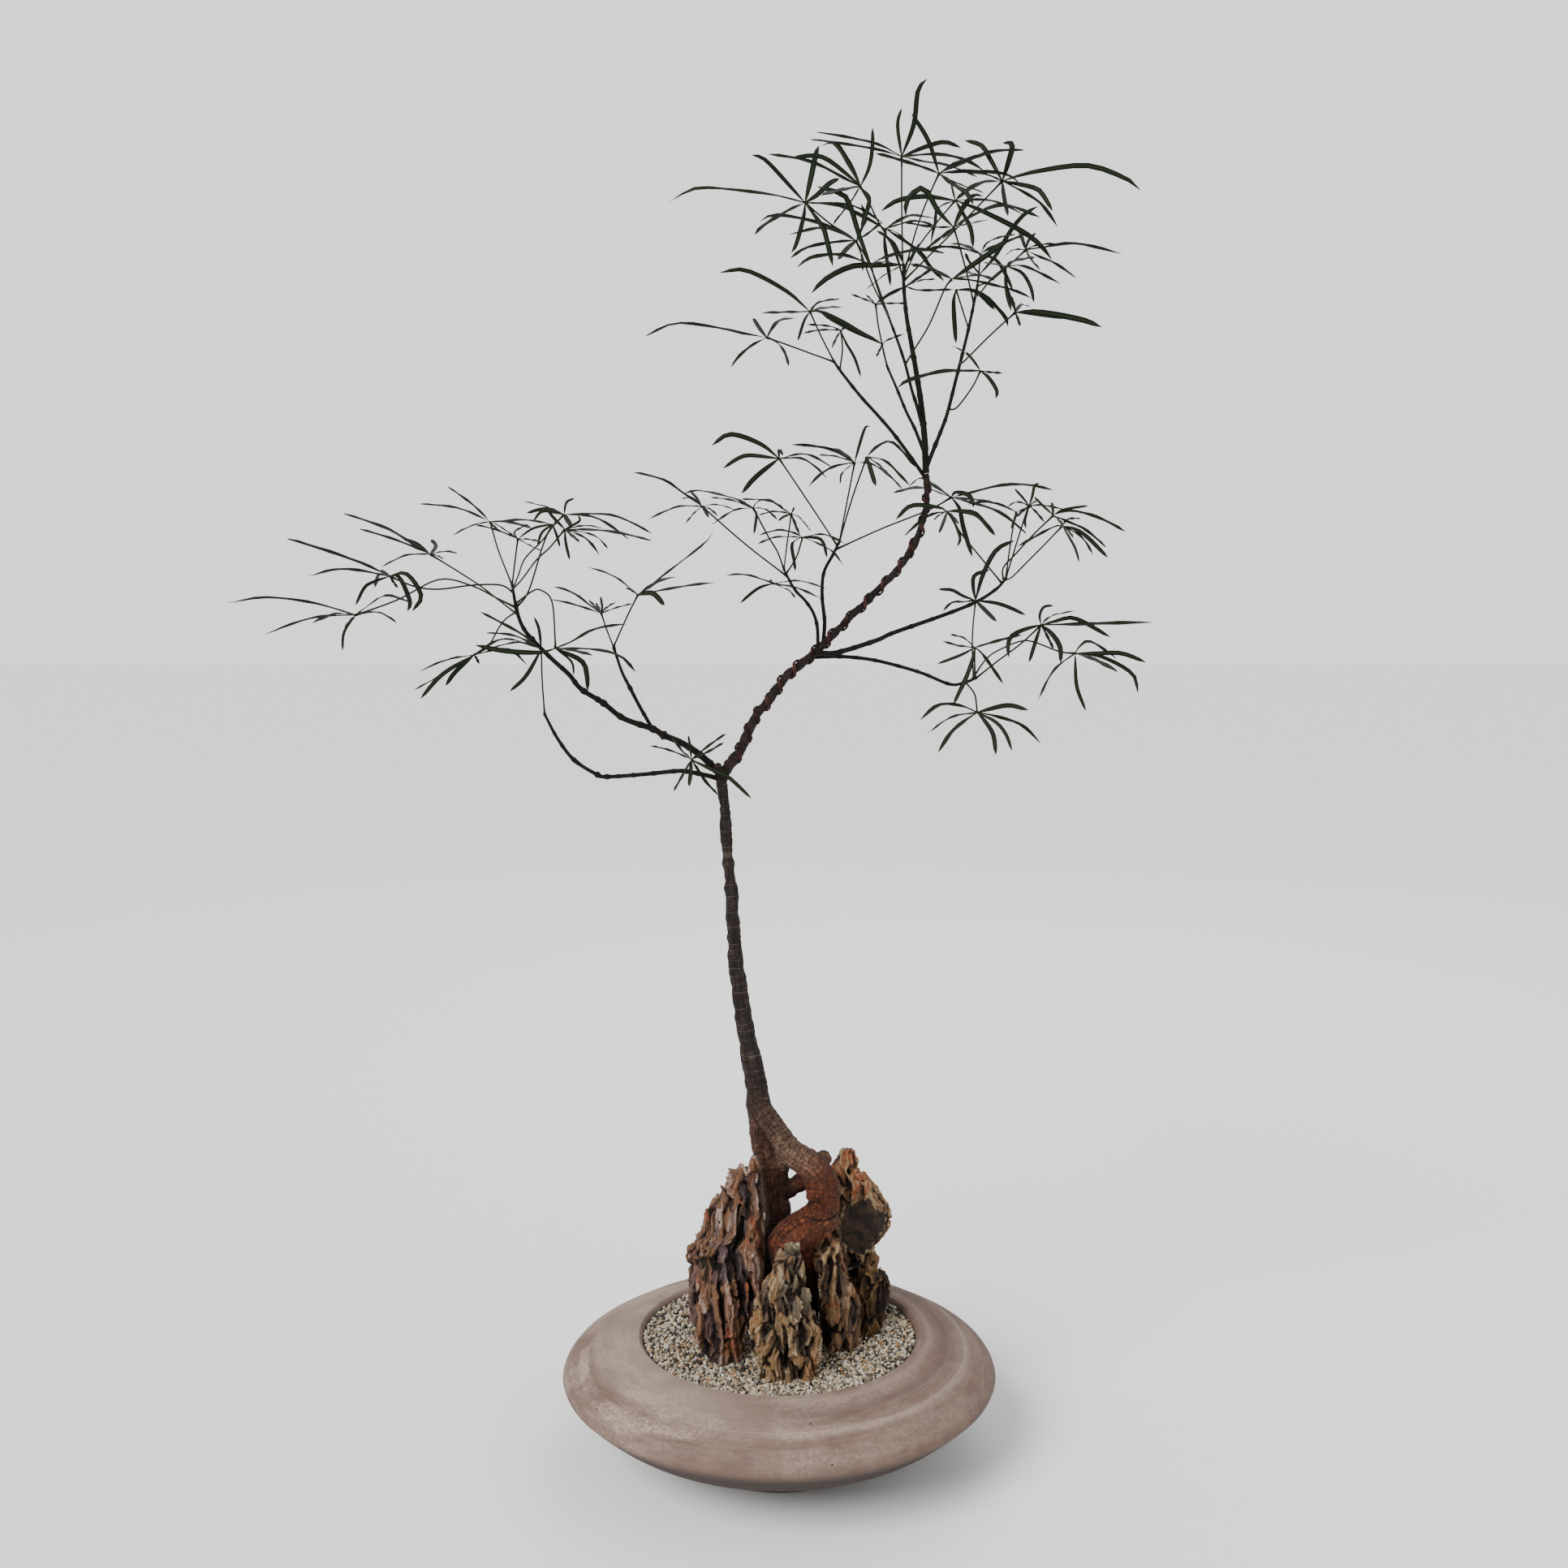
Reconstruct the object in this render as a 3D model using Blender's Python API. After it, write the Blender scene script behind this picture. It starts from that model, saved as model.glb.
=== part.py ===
"""A young bottle tree grown over standing stones in a shallow turned pot.

Metres, +Z up, X to the right and Y away from the viewer. The origin is the middle of the pot's flat foot.
Wood, stones and leaves were placed by eye on a picture of the tree, so their points are picture points (px, py)
in a 1932 by 1932 frame, each with a depth in millimetres. The function at() turns them into metres. Sizes, such
as thicknesses and lengths that drive the shape, are real ones.
"""

import math

import bmesh
import bpy
import numpy as np
from mathutils import Vector
from mathutils.bvhtree import BVHTree

MM = 0.001
GAP = 0.0003  # what touching pieces keep between them

# The view that the picture points belong to
FRAME_MIDDLE = 966.0
FOCAL = 2100.0
PITCH = math.radians(6.8)
EYE = Vector((0.0035, -1.21, 0.640))
AHEAD = Vector((0.0, math.cos(PITCH), -math.sin(PITCH)))
ABOVE = Vector((0.0, math.sin(PITCH), math.cos(PITCH)))

# Pot
POT_OUTSIDE = [
    (0.1035, 0.0882), (0.1120, 0.0872), (0.1220, 0.0840), (0.1350, 0.0782), (0.1470, 0.0722), (0.1560, 0.0666),
    (0.1600, 0.0595), (0.1575, 0.0556), (0.1490, 0.0474), (0.1350, 0.0360), (0.1150, 0.0245), (0.0950, 0.0135),
    (0.0800, 0.0055), (0.0740, 0.0),
]
POT_INSIDE = [
    (0.1012, 0.0862), (0.1015, 0.0790), (0.1100, 0.0725), (0.1450, 0.0600), (0.1380, 0.0480), (0.1120, 0.0350),
    (0.0860, 0.0200), (0.0700, 0.0110),
]
POT_STEPS = 36
FLOOR = 0.0110
DRAIN_RADIUS = 0.007
DRAIN_CIRCLE = 0.045
DRAIN_ANGLES = (90.0, 210.0, 330.0)

# Fill
SOIL_TOP = 0.0680
GRAVEL_TOP = 0.0815
GRAVEL_RADIUS = 0.101 - GAP
GRAVEL_WAVE = 0.0009
GRAVEL_RINGS = (1.0, 0.85, 0.65, 0.45, 0.2)
SCREEN_SIDE = 0.022
SCREEN_THICK = 0.0010
STONE_FOOT = SOIL_TOP + 2 * GAP
ROOT_FOOT = 0.045

# Wood and leaves
WIRE_RADIUS = 0.0010
WIRE_CLEARANCE = 0.0014
WIRE_POINTS = 120
BLADE_WIDTH = 0.0040
BLADE_DEPTH = 0.0011
LONG_STATIONS = ((0.42, 1.0), (0.76, 0.8))  # along a blade: share of its length, share of its width
SHORT_STATIONS = ((0.55, 1.0),)
MOST_TWIST = math.radians(40.0)
SPRAY_SOLVER = "MANIFOLD"
STALK_RADIUS = 0.00060
HUB_RADIUS = 0.0019
SHORT_BLADE = 0.034
USUAL_LENGTH = 1.1  # a leaf's blades are about this many times as long as they look on average
MOST_HIDDEN = 0.040
LEAST_HIDDEN = 0.006
SWINGS = (-1.0, 1.0, -0.5, 0.5, 0.0)
LEVEL_TILT = Vector((0.0, 0.35, 1.0))  # blades seen edge on lie roughly square to this

COLOURS = {
    "clay": ((0.30, 0.245, 0.22), 0.85),
    "grit": ((0.42, 0.40, 0.35), 0.9),
    "earth": ((0.06, 0.04, 0.03), 1.0),
    "mesh": ((0.02, 0.02, 0.02), 0.6),
    "stone": ((0.20, 0.13, 0.09), 0.8),
    "bark": ((0.13, 0.07, 0.045), 0.8),
    "copper": ((0.30, 0.09, 0.06), 0.4),
    "leaf": ((0.035, 0.075, 0.03), 0.5),
}


def at(px, py, depth=0.0):
    """The point that picture point (px, py) shows, at a depth in millimetres behind the pot's middle."""
    ray = AHEAD * FOCAL + Vector((px - FRAME_MIDDLE, 0.0, 0.0)) - ABOVE * (py - FRAME_MIDDLE)
    return EYE + ray * ((depth * MM - EYE.y) / ray.y)


def material(name):
    """A plain material in this piece's colour."""
    made = bpy.data.materials.get(name)
    if made is None:
        colour, roughness = COLOURS[name]
        made = bpy.data.materials.new(name)
        made.use_nodes = True
        shader = made.node_tree.nodes["Principled BSDF"]
        shader.inputs["Base Color"].default_value = (*colour, 1.0)
        shader.inputs["Roughness"].default_value = roughness
        shader.inputs["Metallic"].default_value = 0.8 if name == "copper" else 0.0
    return made


def make_object(name, bm, finish, smooth=True):
    """Turn a bmesh into a named object with its own material."""
    bmesh.ops.recalc_face_normals(bm, faces=bm.faces)
    mesh = bpy.data.meshes.new(name)
    bm.to_mesh(mesh)
    bm.free()
    mesh.materials.append(material(finish))
    if smooth:
        mesh.shade_smooth()
    made = bpy.data.objects.new(name, mesh)
    bpy.context.collection.objects.link(made)
    return made


def remove(things):
    """Take helper objects out of the file."""
    for thing in list(things):
        bpy.data.objects.remove(thing, do_unlink=True)


def apply_boolean(target, operation, tools, solver="EXACT"):
    """Join or cut target with a list of objects, in one Boolean on a collection, and remove them."""
    group = bpy.data.collections.new(target.name + "_tools")
    for tool in tools:
        group.objects.link(tool)
    cut = target.modifiers.new("boolean", "BOOLEAN")
    cut.operation = operation
    cut.operand_type = "COLLECTION"
    cut.collection = group
    cut.solver = solver
    bpy.context.view_layer.update()
    evaluated = target.evaluated_get(bpy.context.evaluated_depsgraph_get())
    result = bpy.data.meshes.new_from_object(evaluated)
    target.modifiers.clear()
    old = target.data
    target.data = result
    bpy.data.meshes.remove(old)
    remove(tools)
    bpy.data.collections.remove(group)
    return target


def smooth_path(points, count):
    """Points evenly spaced on a smooth curve through the given ones."""
    knots = [Vector(p) for p in points]
    if len(knots) == 2:
        fine = [knots[0].lerp(knots[1], i / 24) for i in range(25)]
    else:
        padded = [knots[0] * 2 - knots[1], *knots, knots[-1] * 2 - knots[-2]]
        fine = []
        for a, b, c, d in zip(padded, padded[1:], padded[2:], padded[3:]):
            for i in range(12):
                t = i / 12
                fine.append(0.5 * (2 * b + (c - a) * t + (2 * a - 5 * b + 4 * c - d) * t * t
                                   + (3 * b - a - 3 * c + d) * t * t * t))
        fine.append(knots[-1])
    return resample(fine, count)


def distances(path):
    """How far along a path each of its points lies."""
    far = [0.0]
    for a, b in zip(path, path[1:]):
        far.append(far[-1] + (b - a).length)
    return far


def resample(path, count, start=0.0):
    """The same path with count evenly spaced points, from a share of its length on."""
    far = distances(path)
    wanted = np.linspace(far[-1] * start, far[-1], count)
    columns = [np.interp(wanted, far, [p[axis] for p in path]) for axis in range(3)]
    return [Vector(row) for row in zip(*columns)]


def resample_radii(path, radii, count, start=0.0):
    """The radii that belong to the points of resample()."""
    far = distances(path)
    return [float(r) for r in np.interp(np.linspace(far[-1] * start, far[-1], count), far, radii)]


def frames(path, first_side=Vector((1.0, 0.0, 0.0))):
    """For each point of a path, its direction and two sides across it that don't twist along the way."""
    made = []
    side = first_side
    for i, point in enumerate(path):
        along = (path[min(i + 1, len(path) - 1)] - path[max(i - 1, 0)]).normalized()
        side = (side - along * side.dot(along)).normalized()
        made.append((point, along, side, along.cross(side)))
    return made


def turns(count):
    """Angles evenly spaced round a full turn."""
    return [2 * math.pi * k / count for k in range(count)]


def ring_points(middle, side, other, radius, count):
    """Points round a circle that two directions at right angles span."""
    reach = float(radius)
    return [middle + side * (reach * math.cos(t)) + other * (reach * math.sin(t)) for t in turns(count)]


def level_ring(radius, height, count, x=0.0, y=0.0):
    """Points round a level circle."""
    return ring_points(Vector((x, y, height)), Vector((1.0, 0.0, 0.0)), Vector((0.0, 1.0, 0.0)), radius, count)


def tube_mesh(path, radii, sides, first_side=Vector((1.0, 0.0, 0.0))):
    """A closed round bar along a path, with a radius for each of its points."""
    laid = frames(path, first_side)
    return solid_from([ring_points(point, side, other, radius, sides)
                       for (point, _, side, other), radius in zip(laid, radii)])


def close_rings(bm, rings):
    """Skin a stack of rings with faces and cap both ends."""
    for low, high in zip(rings, rings[1:]):
        count = len(low)
        for k in range(count):
            bm.faces.new((low[k], low[(k + 1) % count], high[(k + 1) % count], high[k]))
    bm.faces.new(list(reversed(rings[0])))
    bm.faces.new(rings[-1])


def solid_from(rings):
    """A closed solid from a stack of rings of points."""
    bm = bmesh.new()
    close_rings(bm, [[bm.verts.new(point) for point in ring] for ring in rings])
    return bm


# Pot, drain screens and soil

def drain_places():
    """The middles of the three drain holes."""
    return [(DRAIN_CIRCLE * math.cos(math.radians(a)), DRAIN_CIRCLE * math.sin(math.radians(a)))
            for a in DRAIN_ANGLES]


def cylinder(name, x, y, radius, low, high, sides=16):
    """An upright round bar, used as a cutter."""
    return make_object(name, solid_from([level_ring(radius, z, sides, x, y) for z in (low, high)]), "clay")


def box(name, x, y, side, low, high):
    """An upright square block."""
    half = side / 2
    corners = [(x - half, y - half), (x + half, y - half), (x + half, y + half), (x - half, y + half)]
    levels = [[Vector((cx, cy, z)) for cx, cy in corners] for z in (low, high)]
    return make_object(name, solid_from(levels), "mesh", smooth=False)


def make_pot():
    """The turned bowl: a flattened saucer form, flat foot, rolled-in top and three drain holes."""
    # From the foot up the outside, over the rim and down the inside; the foot and the floor are discs.
    profile = list(reversed(POT_OUTSIDE)) + POT_INSIDE
    pot = make_object("pot", solid_from([level_ring(r, z, POT_STEPS) for r, z in profile]), "clay")
    holes = [cylinder(f"drain_{i}", x, y, DRAIN_RADIUS, -0.01, FLOOR + 0.01)
             for i, (x, y) in enumerate(drain_places())]
    return apply_boolean(pot, "DIFFERENCE", holes)


def make_screens():
    """A small square of plastic mesh over each drain hole."""
    low = FLOOR + GAP
    return [box(f"drain_screen_{i + 1}", x, y, SCREEN_SIDE, low, low + SCREEN_THICK)
            for i, (x, y) in enumerate(drain_places())]


def make_soil(roots):
    """The growing mix, shaped by the pot, with pockets for the screens and plain holes for the roots."""
    inside = [(r - GAP * 1.6, z) for r, z in POT_INSIDE[3:]]
    (high_r, high_z), (low_r, low_z) = POT_INSIDE[2:4]
    top_edge = low_r + (high_r - low_r) * (SOIL_TOP - low_z) / (high_z - low_z) - 3 * GAP
    profile = [(top_edge, SOIL_TOP), *inside[:-1], (inside[-1][0] - GAP, FLOOR + GAP)]
    soil = make_object("soil", solid_from([level_ring(r, z, POT_STEPS) for r, z in reversed(profile)]), "earth")
    pockets = [box(f"pocket_{i}", x, y, SCREEN_SIDE + 2 * GAP, 0.0, FLOOR + SCREEN_THICK + 2 * GAP)
               for i, (x, y) in enumerate(drain_places())]
    return apply_boolean(soil, "DIFFERENCE", pockets + root_cutters(roots, "soil"))


def make_gravel(roots):
    """The grit on top: a disc with a rough top, open where stones and roots stand in it."""
    rings = [level_ring(GRAVEL_RADIUS, SOIL_TOP + GAP, POT_STEPS)]
    for share in GRAVEL_RINGS:
        ring = level_ring(GRAVEL_RADIUS * share, GRAVEL_TOP, POT_STEPS)
        for point, turn in zip(ring, turns(POT_STEPS)):
            point.z += GRAVEL_WAVE * (math.sin(7 * turn + 31 * share) + math.sin(13 * turn - 47 * share)) / 2
        rings.append(ring)
    gravel = make_object("gravel", solid_from(rings), "grit", smooth=False)
    return apply_boolean(gravel, "DIFFERENCE", stone_cutters() + root_cutters(roots, "gravel"))


# Stones: for each one its depth and half thickness in millimetres, its number of flutes, and rows of
# (py, left px, right px) down its outline. The last row is where it goes into the gravel.

STONES = {
    "stone_left": dict(depth=-22, thick=17, flutes=5, rows=[
        (1430, 908, 925), (1448, 897, 936), (1478, 878, 938), (1510, 867, 939), (1540, 847, 940),
        (1567, 848, 940), (1600, 850, 928), (1630, 854, 922), (1660, 860, 914), (1686, 866, 897)]),
    "stone_front": dict(depth=-58, thick=13, flutes=4, rows=[
        (1535, 966, 985), (1548, 957, 990), (1575, 942, 995), (1600, 930, 1001), (1628, 924, 1011),
        (1650, 926, 1014), (1672, 931, 1012), (1698, 936, 996)]),
    "stone_middle": dict(depth=-18, thick=11, flutes=3, rows=[
        (1540, 1003, 1012), (1558, 1002, 1030), (1581, 1004, 1050), (1615, 1013, 1060), (1640, 1019, 1057),
        (1661, 1026, 1054)]),
    "stone_back": dict(depth=46, thick=14, flutes=3, rows=[
        (1413, 1040, 1050), (1427, 1031, 1060), (1446, 1026, 1069), (1469, 1035, 1084), (1489, 1040, 1097),
        (1508, 1041, 1098), (1535, 1040, 1084), (1562, 1044, 1084), (1600, 1046, 1080), (1622, 1048, 1078)]),
    "stone_right": dict(depth=14, thick=10, flutes=3, rows=[
        (1556, 1062, 1082), (1579, 1056, 1098), (1604, 1052, 1095), (1627, 1055, 1087), (1642, 1058, 1074)]),
}
STONE_SIDES = 14
STONE_COLLAR = 0.003
FLUTE_DEPTH = 0.10
JAG = 0.006


def stone_rings(spec, grow=0.0):
    """Rings of a stone from its foot up, fluted all round and with a jagged top."""
    rows = [(at(left, py, spec["depth"]), at(right, py, spec["depth"])) for py, left, right in spec["rows"]]
    rows.reverse()
    shown = [row for row in rows if row[0].z > GRAVEL_TOP + STONE_COLLAR * 2]
    foot = rows[0]
    levels = [(STONE_FOOT, foot), (GRAVEL_TOP + STONE_COLLAR, foot), *[(row[0].z, row) for row in shown]]
    widest = max((right - left).length for left, right in rows) / 2
    rings = []
    for number, (height, (left, right)) in enumerate(levels):
        middle = Vector(((left.x + right.x) / 2, left.y, height))
        half = (right - left).length / 2
        top_share = number / (len(levels) - 1)
        depth_half = spec["thick"] * MM * (0.45 + 0.55 * half / widest)
        ring = []
        for turn in turns(STONE_SIDES):
            ridge = math.sin(spec["flutes"] * turn + 5.0 * top_share * top_share + spec["depth"])
            plain = number <= 1
            swell = 1.0 - (0.0 if plain else FLUTE_DEPTH * (1 - ridge) / 2)
            jag = -JAG * (1 - ridge) * max(0.0, top_share - 0.75) * 4
            ring.append(middle + Vector(((half * swell + grow) * math.cos(turn),
                                         (depth_half * swell + grow) * math.sin(turn), jag)))
        rings.append(ring)
    return rings


def make_stone(name):
    """One standing stone."""
    return make_object(name, solid_from(stone_rings(STONES[name])), "stone", smooth=False)


def stone_cutters():
    """Slightly larger plain copies of the stones' feet, for the holes in the gravel."""
    cutters = []
    for name, spec in STONES.items():
        foot = stone_rings(spec, grow=GAP * 1.5)[0]
        levels = [[Vector((p.x, p.y, z)) for p in foot] for z in (SOIL_TOP - 0.02, GRAVEL_TOP + 0.02)]
        cutters.append(make_object(name + "_hole", solid_from(levels), "stone"))
    return cutters


# Wood: picture points (px, py, depth) and thickness in millimetres along each run

TRUNK = [
    (1141, 583, 0, 4.4), (1142, 597, 0, 4.5), (1141, 621, 0, 4.7), (1135, 650, 1, 4.9), (1125, 672, 2, 5.0),
    (1111, 695, 3, 5.1), (1084, 725, 4, 5.3), (1042, 766, 6, 5.7), (1007, 801, 6, 6.6), (982, 822, 5, 6.6),
    (965, 838, 4, 6.5), (947, 864, 3, 6.6), (931, 883, 2, 6.8), (911, 926, 1, 7.2), (890, 957, 0, 8.4),
    (892, 985, 0, 7.4), (897, 1060, 0, 7.9), (901, 1099, 0, 9.2), (907, 1185, 0, 10.9), (916, 1250, 0, 12.6),
    (925, 1300, 0, 14.3), (932, 1340, 0, 16.0), (936, 1372, 1, 17.8), (937, 1393, 3, 16.8), (942, 1416, 5, 16.4),
    (953, 1443, 8, 17.2), (955, 1469, 10, 15.4), (960, 1489, 12, 17.5), (958, 1510, 13, 16.5),
    (952, 1535, 14, 15.0), (949, 1575, 15, 13.5),
]
RIGHT_ROOT = [
    (936, 1362, -1, 12.0), (947, 1379, -5, 14.5), (958, 1395, -9, 15.0), (976, 1420, -12, 16.8),
    (1004, 1439, -11, 19.5), (1017, 1459, -10, 22.0), (1018, 1482, -12, 23.0), (1008, 1503, -17, 24.5),
    (985, 1516, -22, 23.0), (968, 1532, -25, 22.0), (968, 1552, -26, 19.0), (974, 1590, -26, 15.0),
]
BACK_ROOT = [(958, 1478, 11, 8.0), (971, 1468, 9, 8.4), (990, 1452, 2, 8.4), (1002, 1445, -5, 8.0)]
CUT_STUB = [(1000, 1436, -8, 9.0), (1015, 1426, -2, 9.0), (1025, 1421, 3, 8.2)]
FORK_STUB = [(890, 957, 0, 6.0), (886, 948, -4, 5.5), (883, 942, -6, 4.0)]
# Where the training wire crosses the front of the branch, from the fork up, and its two ends
WIRE_CROSSINGS = ("907,927 916,900 930,879 944,863 961,844 978,825 1004,809 1022,788 1042,764 1065,742 "
                  "1086,721 1108,697 1121,675 1135,648 1140,618 1141,597")
WIRED_FROM = (900, 943)
WIRED_TO = (1142, 592)
TRUNK_SIDES = 8
TWIG_SIDES = 5


def read_points(text):
    """Picture points from text such as 1106,154 1111,133."""
    return [tuple(float(n) for n in pair.split(",")) for pair in text.split()]


def wood_run(points, count):
    """A smooth path through picture points, and the radius at each of its points."""
    knots = [at(px, py, depth) for px, py, depth, _ in points]
    return smooth_path(knots, count), resample_radii(knots, [p[3] * MM / 2 for p in points], count)


def to_foot(path, radii, foot):
    """Carry a root straight on down to its foot in the soil."""
    last = path[-1]
    ends = [Vector((last.x, last.y, z)) for z in (STONE_FOOT, foot)]
    return path + ends, radii + [radii[-1], radii[-1] * 0.8]


def root_legs():
    """The two root runs that reach the soil."""
    trunk = to_foot(*wood_run(TRUNK, 58), ROOT_FOOT)
    right = to_foot(*wood_run(RIGHT_ROOT, 20), ROOT_FOOT + 0.004)
    return trunk, right


def root_cutters(roots, name):
    """Plain holes, a little wider than the roots, from above the gravel down to the roots' ends."""
    cutters = []
    for number, (path, radii) in enumerate(roots):
        foot = path[-1]
        cutters.append(cylinder(f"{name}_root_hole_{number}", foot.x, foot.y, radii[-3] + 4 * GAP,
                                foot.z - 2 * GAP, GRAVEL_TOP + 0.03, sides=12))
    return cutters


def make_tree(roots):
    """Trunk, main branch, roots and stubs, grown as one piece of wood."""
    (trunk_path, trunk_radii), (right_path, right_radii) = roots
    tree = make_object("tree", tube_mesh(trunk_path, trunk_radii, TRUNK_SIDES), "bark")
    parts = [make_object("right_root", tube_mesh(right_path, right_radii, TRUNK_SIDES), "bark")]
    for name, run in (("back_root", BACK_ROOT), ("cut_stub", CUT_STUB), ("fork_stub", FORK_STUB)):
        parts.append(make_object(name, tube_mesh(*wood_run(run, 4), 6), "bark"))
    return apply_boolean(tree, "UNION", parts)


def wire_course(roots):
    """Where the wire runs: points of the branch it is wound on, the branch's radii, and the turn at each point."""
    trunk_path, trunk_radii = roots[0]
    path = resample(trunk_path, 600)
    radii = resample_radii(trunk_path, trunk_radii, 600)
    reached = distances(path)

    def along_at(px, py):
        target = at(px, py)
        return reached[min(range(len(path)), key=lambda i: (path[i] - target).length)]

    knots = [along_at(px, py) for px, py in read_points(WIRE_CROSSINGS)]
    spots = np.linspace(along_at(*WIRED_FROM), along_at(*WIRED_TO), WIRE_POINTS)
    turn = np.interp(spots, knots[::-1], np.arange(len(knots))[::-1])
    before = spots - knots[0]
    turn -= np.where(before > 0, before / abs(knots[1] - knots[0]), 0.0)
    branch = [path[int(np.searchsorted(reached, spot))] for spot in spots]
    return branch, np.interp(spots, reached, radii), turn


def make_wire(roots):
    """The training wire: a double strand wound up the main branch."""
    branch, radii, turns_made = wire_course(roots)
    points = []
    for i, point in enumerate(branch):
        along = (branch[min(i + 1, len(branch) - 1)] - branch[max(i - 1, 0)]).normalized()
        front = EYE - point
        front = (front - along * front.dot(along)).normalized()
        reach = float(radii[i]) + WIRE_RADIUS + WIRE_CLEARANCE
        angle = 2 * math.pi * float(turns_made[i])
        points.append(point + front * (reach * math.cos(angle)) - along.cross(front) * (reach * math.sin(angle)))
    bm = tube_mesh(points, [WIRE_RADIUS] * WIRE_POINTS, 4)
    return make_object("training_wire", bm, "copper")


# Leafy twigs: (px, py, depth, thickness in mm) from the base outwards

TWIGS = {
    "leader": ("tree", [(1141, 583, 0, 5.0), (1140, 560, 0, 4.8), (1139, 538, 0, 4.6), (1135, 498, 0, 4.2),
                        (1129, 459, 0, 3.8), (1122, 419, 0, 3.4), (1117, 390, 0, 3.0), (1114, 360, 0, 2.6),
                        (1113, 340, 0, 2.2)]),
    "twig_a": ("leader", [(1138, 556, 0, 2.6), (1127, 528, 8, 2.4), (1117, 508, 11, 2.2), (1105, 479, 15, 2.0),
                          (1092, 449, 18, 1.6)]),
    "twig_b": ("leader", [(1135, 520, 0, 2.6), (1129, 498, -7, 2.4), (1123, 479, -9, 2.2),
                          (1116, 451, -11, 2.1), (1107, 423, -12, 2.0), (1094, 388, -13, 1.6)]),
    "twig_c": ("tree crown_shoot", [(1141, 590, 0, 2.8), (1120, 560, -6, 2.6), (1099, 532, -10, 2.5), (1080, 510, -13, 2.4),
                        (1060, 488, -16, 2.3), (1037, 459, -19, 2.1), (1028, 446, -20, 1.8)]),
    "twig_d": ("leader", [(1142, 575, 0, 3.2), (1151, 552, -4, 3.0), (1159, 532, -7, 2.8), (1167, 510, -9, 2.7),
                        (1179, 463, -12, 2.5), (1192, 411, -15, 2.3), (1202, 364, -17, 2.0),
                        (1206, 340, -18, 1.6)]),
    "left_branch": ("tree", [(889, 956, 0, 5.4), (865, 932, -2, 4.6), (841, 916, -4, 4.4), (818, 906, -6, 4.2),
                             (804, 898, -7, 4.0), (768, 885, -10, 3.6), (743, 866, -12, 3.5),
                             (716, 849, -14, 3.3), (701, 831, -15, 3.2), (680, 812, -16, 3.0),
                             (659, 791, -17, 2.8), (645, 774, -18, 2.7), (637, 753, -19, 2.5),
                             (631, 721, -20, 1.8)]),
    "left_side_twig": ("left_branch", [(804, 898, -7, 2.6), (789, 872, 1, 2.5), (776, 847, 8, 2.3),
                                       (766, 827, 14, 2.1), (756, 797, 20, 1.7)]),
    "left_low_twig": ("tree", [(887, 960, 0, 3.2), (873, 956, -5, 3.0), (849, 951, -6, 2.9), (834, 950, -6, 2.8),
                               (794, 954, 2, 2.6), (749, 957, 8, 2.5), (735, 954, 10, 2.4),
                               (707, 936, 15, 2.3), (687, 910, 20, 2.1), (671, 880, 25, 1.7)]),
    "fork_leaf": ("tree", [(889, 962, 0, 2.0), (885, 957, -9, 1.6), (881, 951, -11, 1.2)]),
    "middle_left_twig": ("tree", [(1008, 799, 5, 2.6), (1007, 773, 2, 2.5), (1002, 755, -1, 2.4),
                                  (992, 740, -4, 2.2), (979, 726, -7, 2.1), (966, 702, -10, 1.6)]),
    "middle_right_twig": ("tree", [(1014, 795, 10, 3.0), (1016, 766, 12, 2.8), (1013, 735, 8, 2.6),
                                   (1015, 706, 9, 2.4), (1026, 684, 10, 2.2), (1034, 668, 10, 1.8)]),
    "right_upper_twig": ("tree", [(1006, 804, 2, 4.0), (1031, 804, -3, 3.8), (1080, 789, -3, 3.5),
                                  (1100, 780, -5, 3.3), (1165, 757, -10, 2.9), (1202, 742, -13, 2.6),
                                  (1226, 727, -15, 2.4), (1239, 714, -16, 1.8)]),
    "right_lower_twig": ("tree", [(998, 810, 6, 3.0), (1037, 809, 16, 2.9), (1080, 814, 12, 2.7),
                                  (1132, 828, 6, 2.5), (1170, 843, 0, 2.4), (1188, 841, -4, 2.2),
                                  (1202, 836, -8, 1.7)]),
}

# Leaves on each twig: the hub where the blades meet, its depth, the stalk's points down to the twig, and the
# blades. A blade is its points from the hub outwards, and a star marks one that is seen face on.

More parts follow.
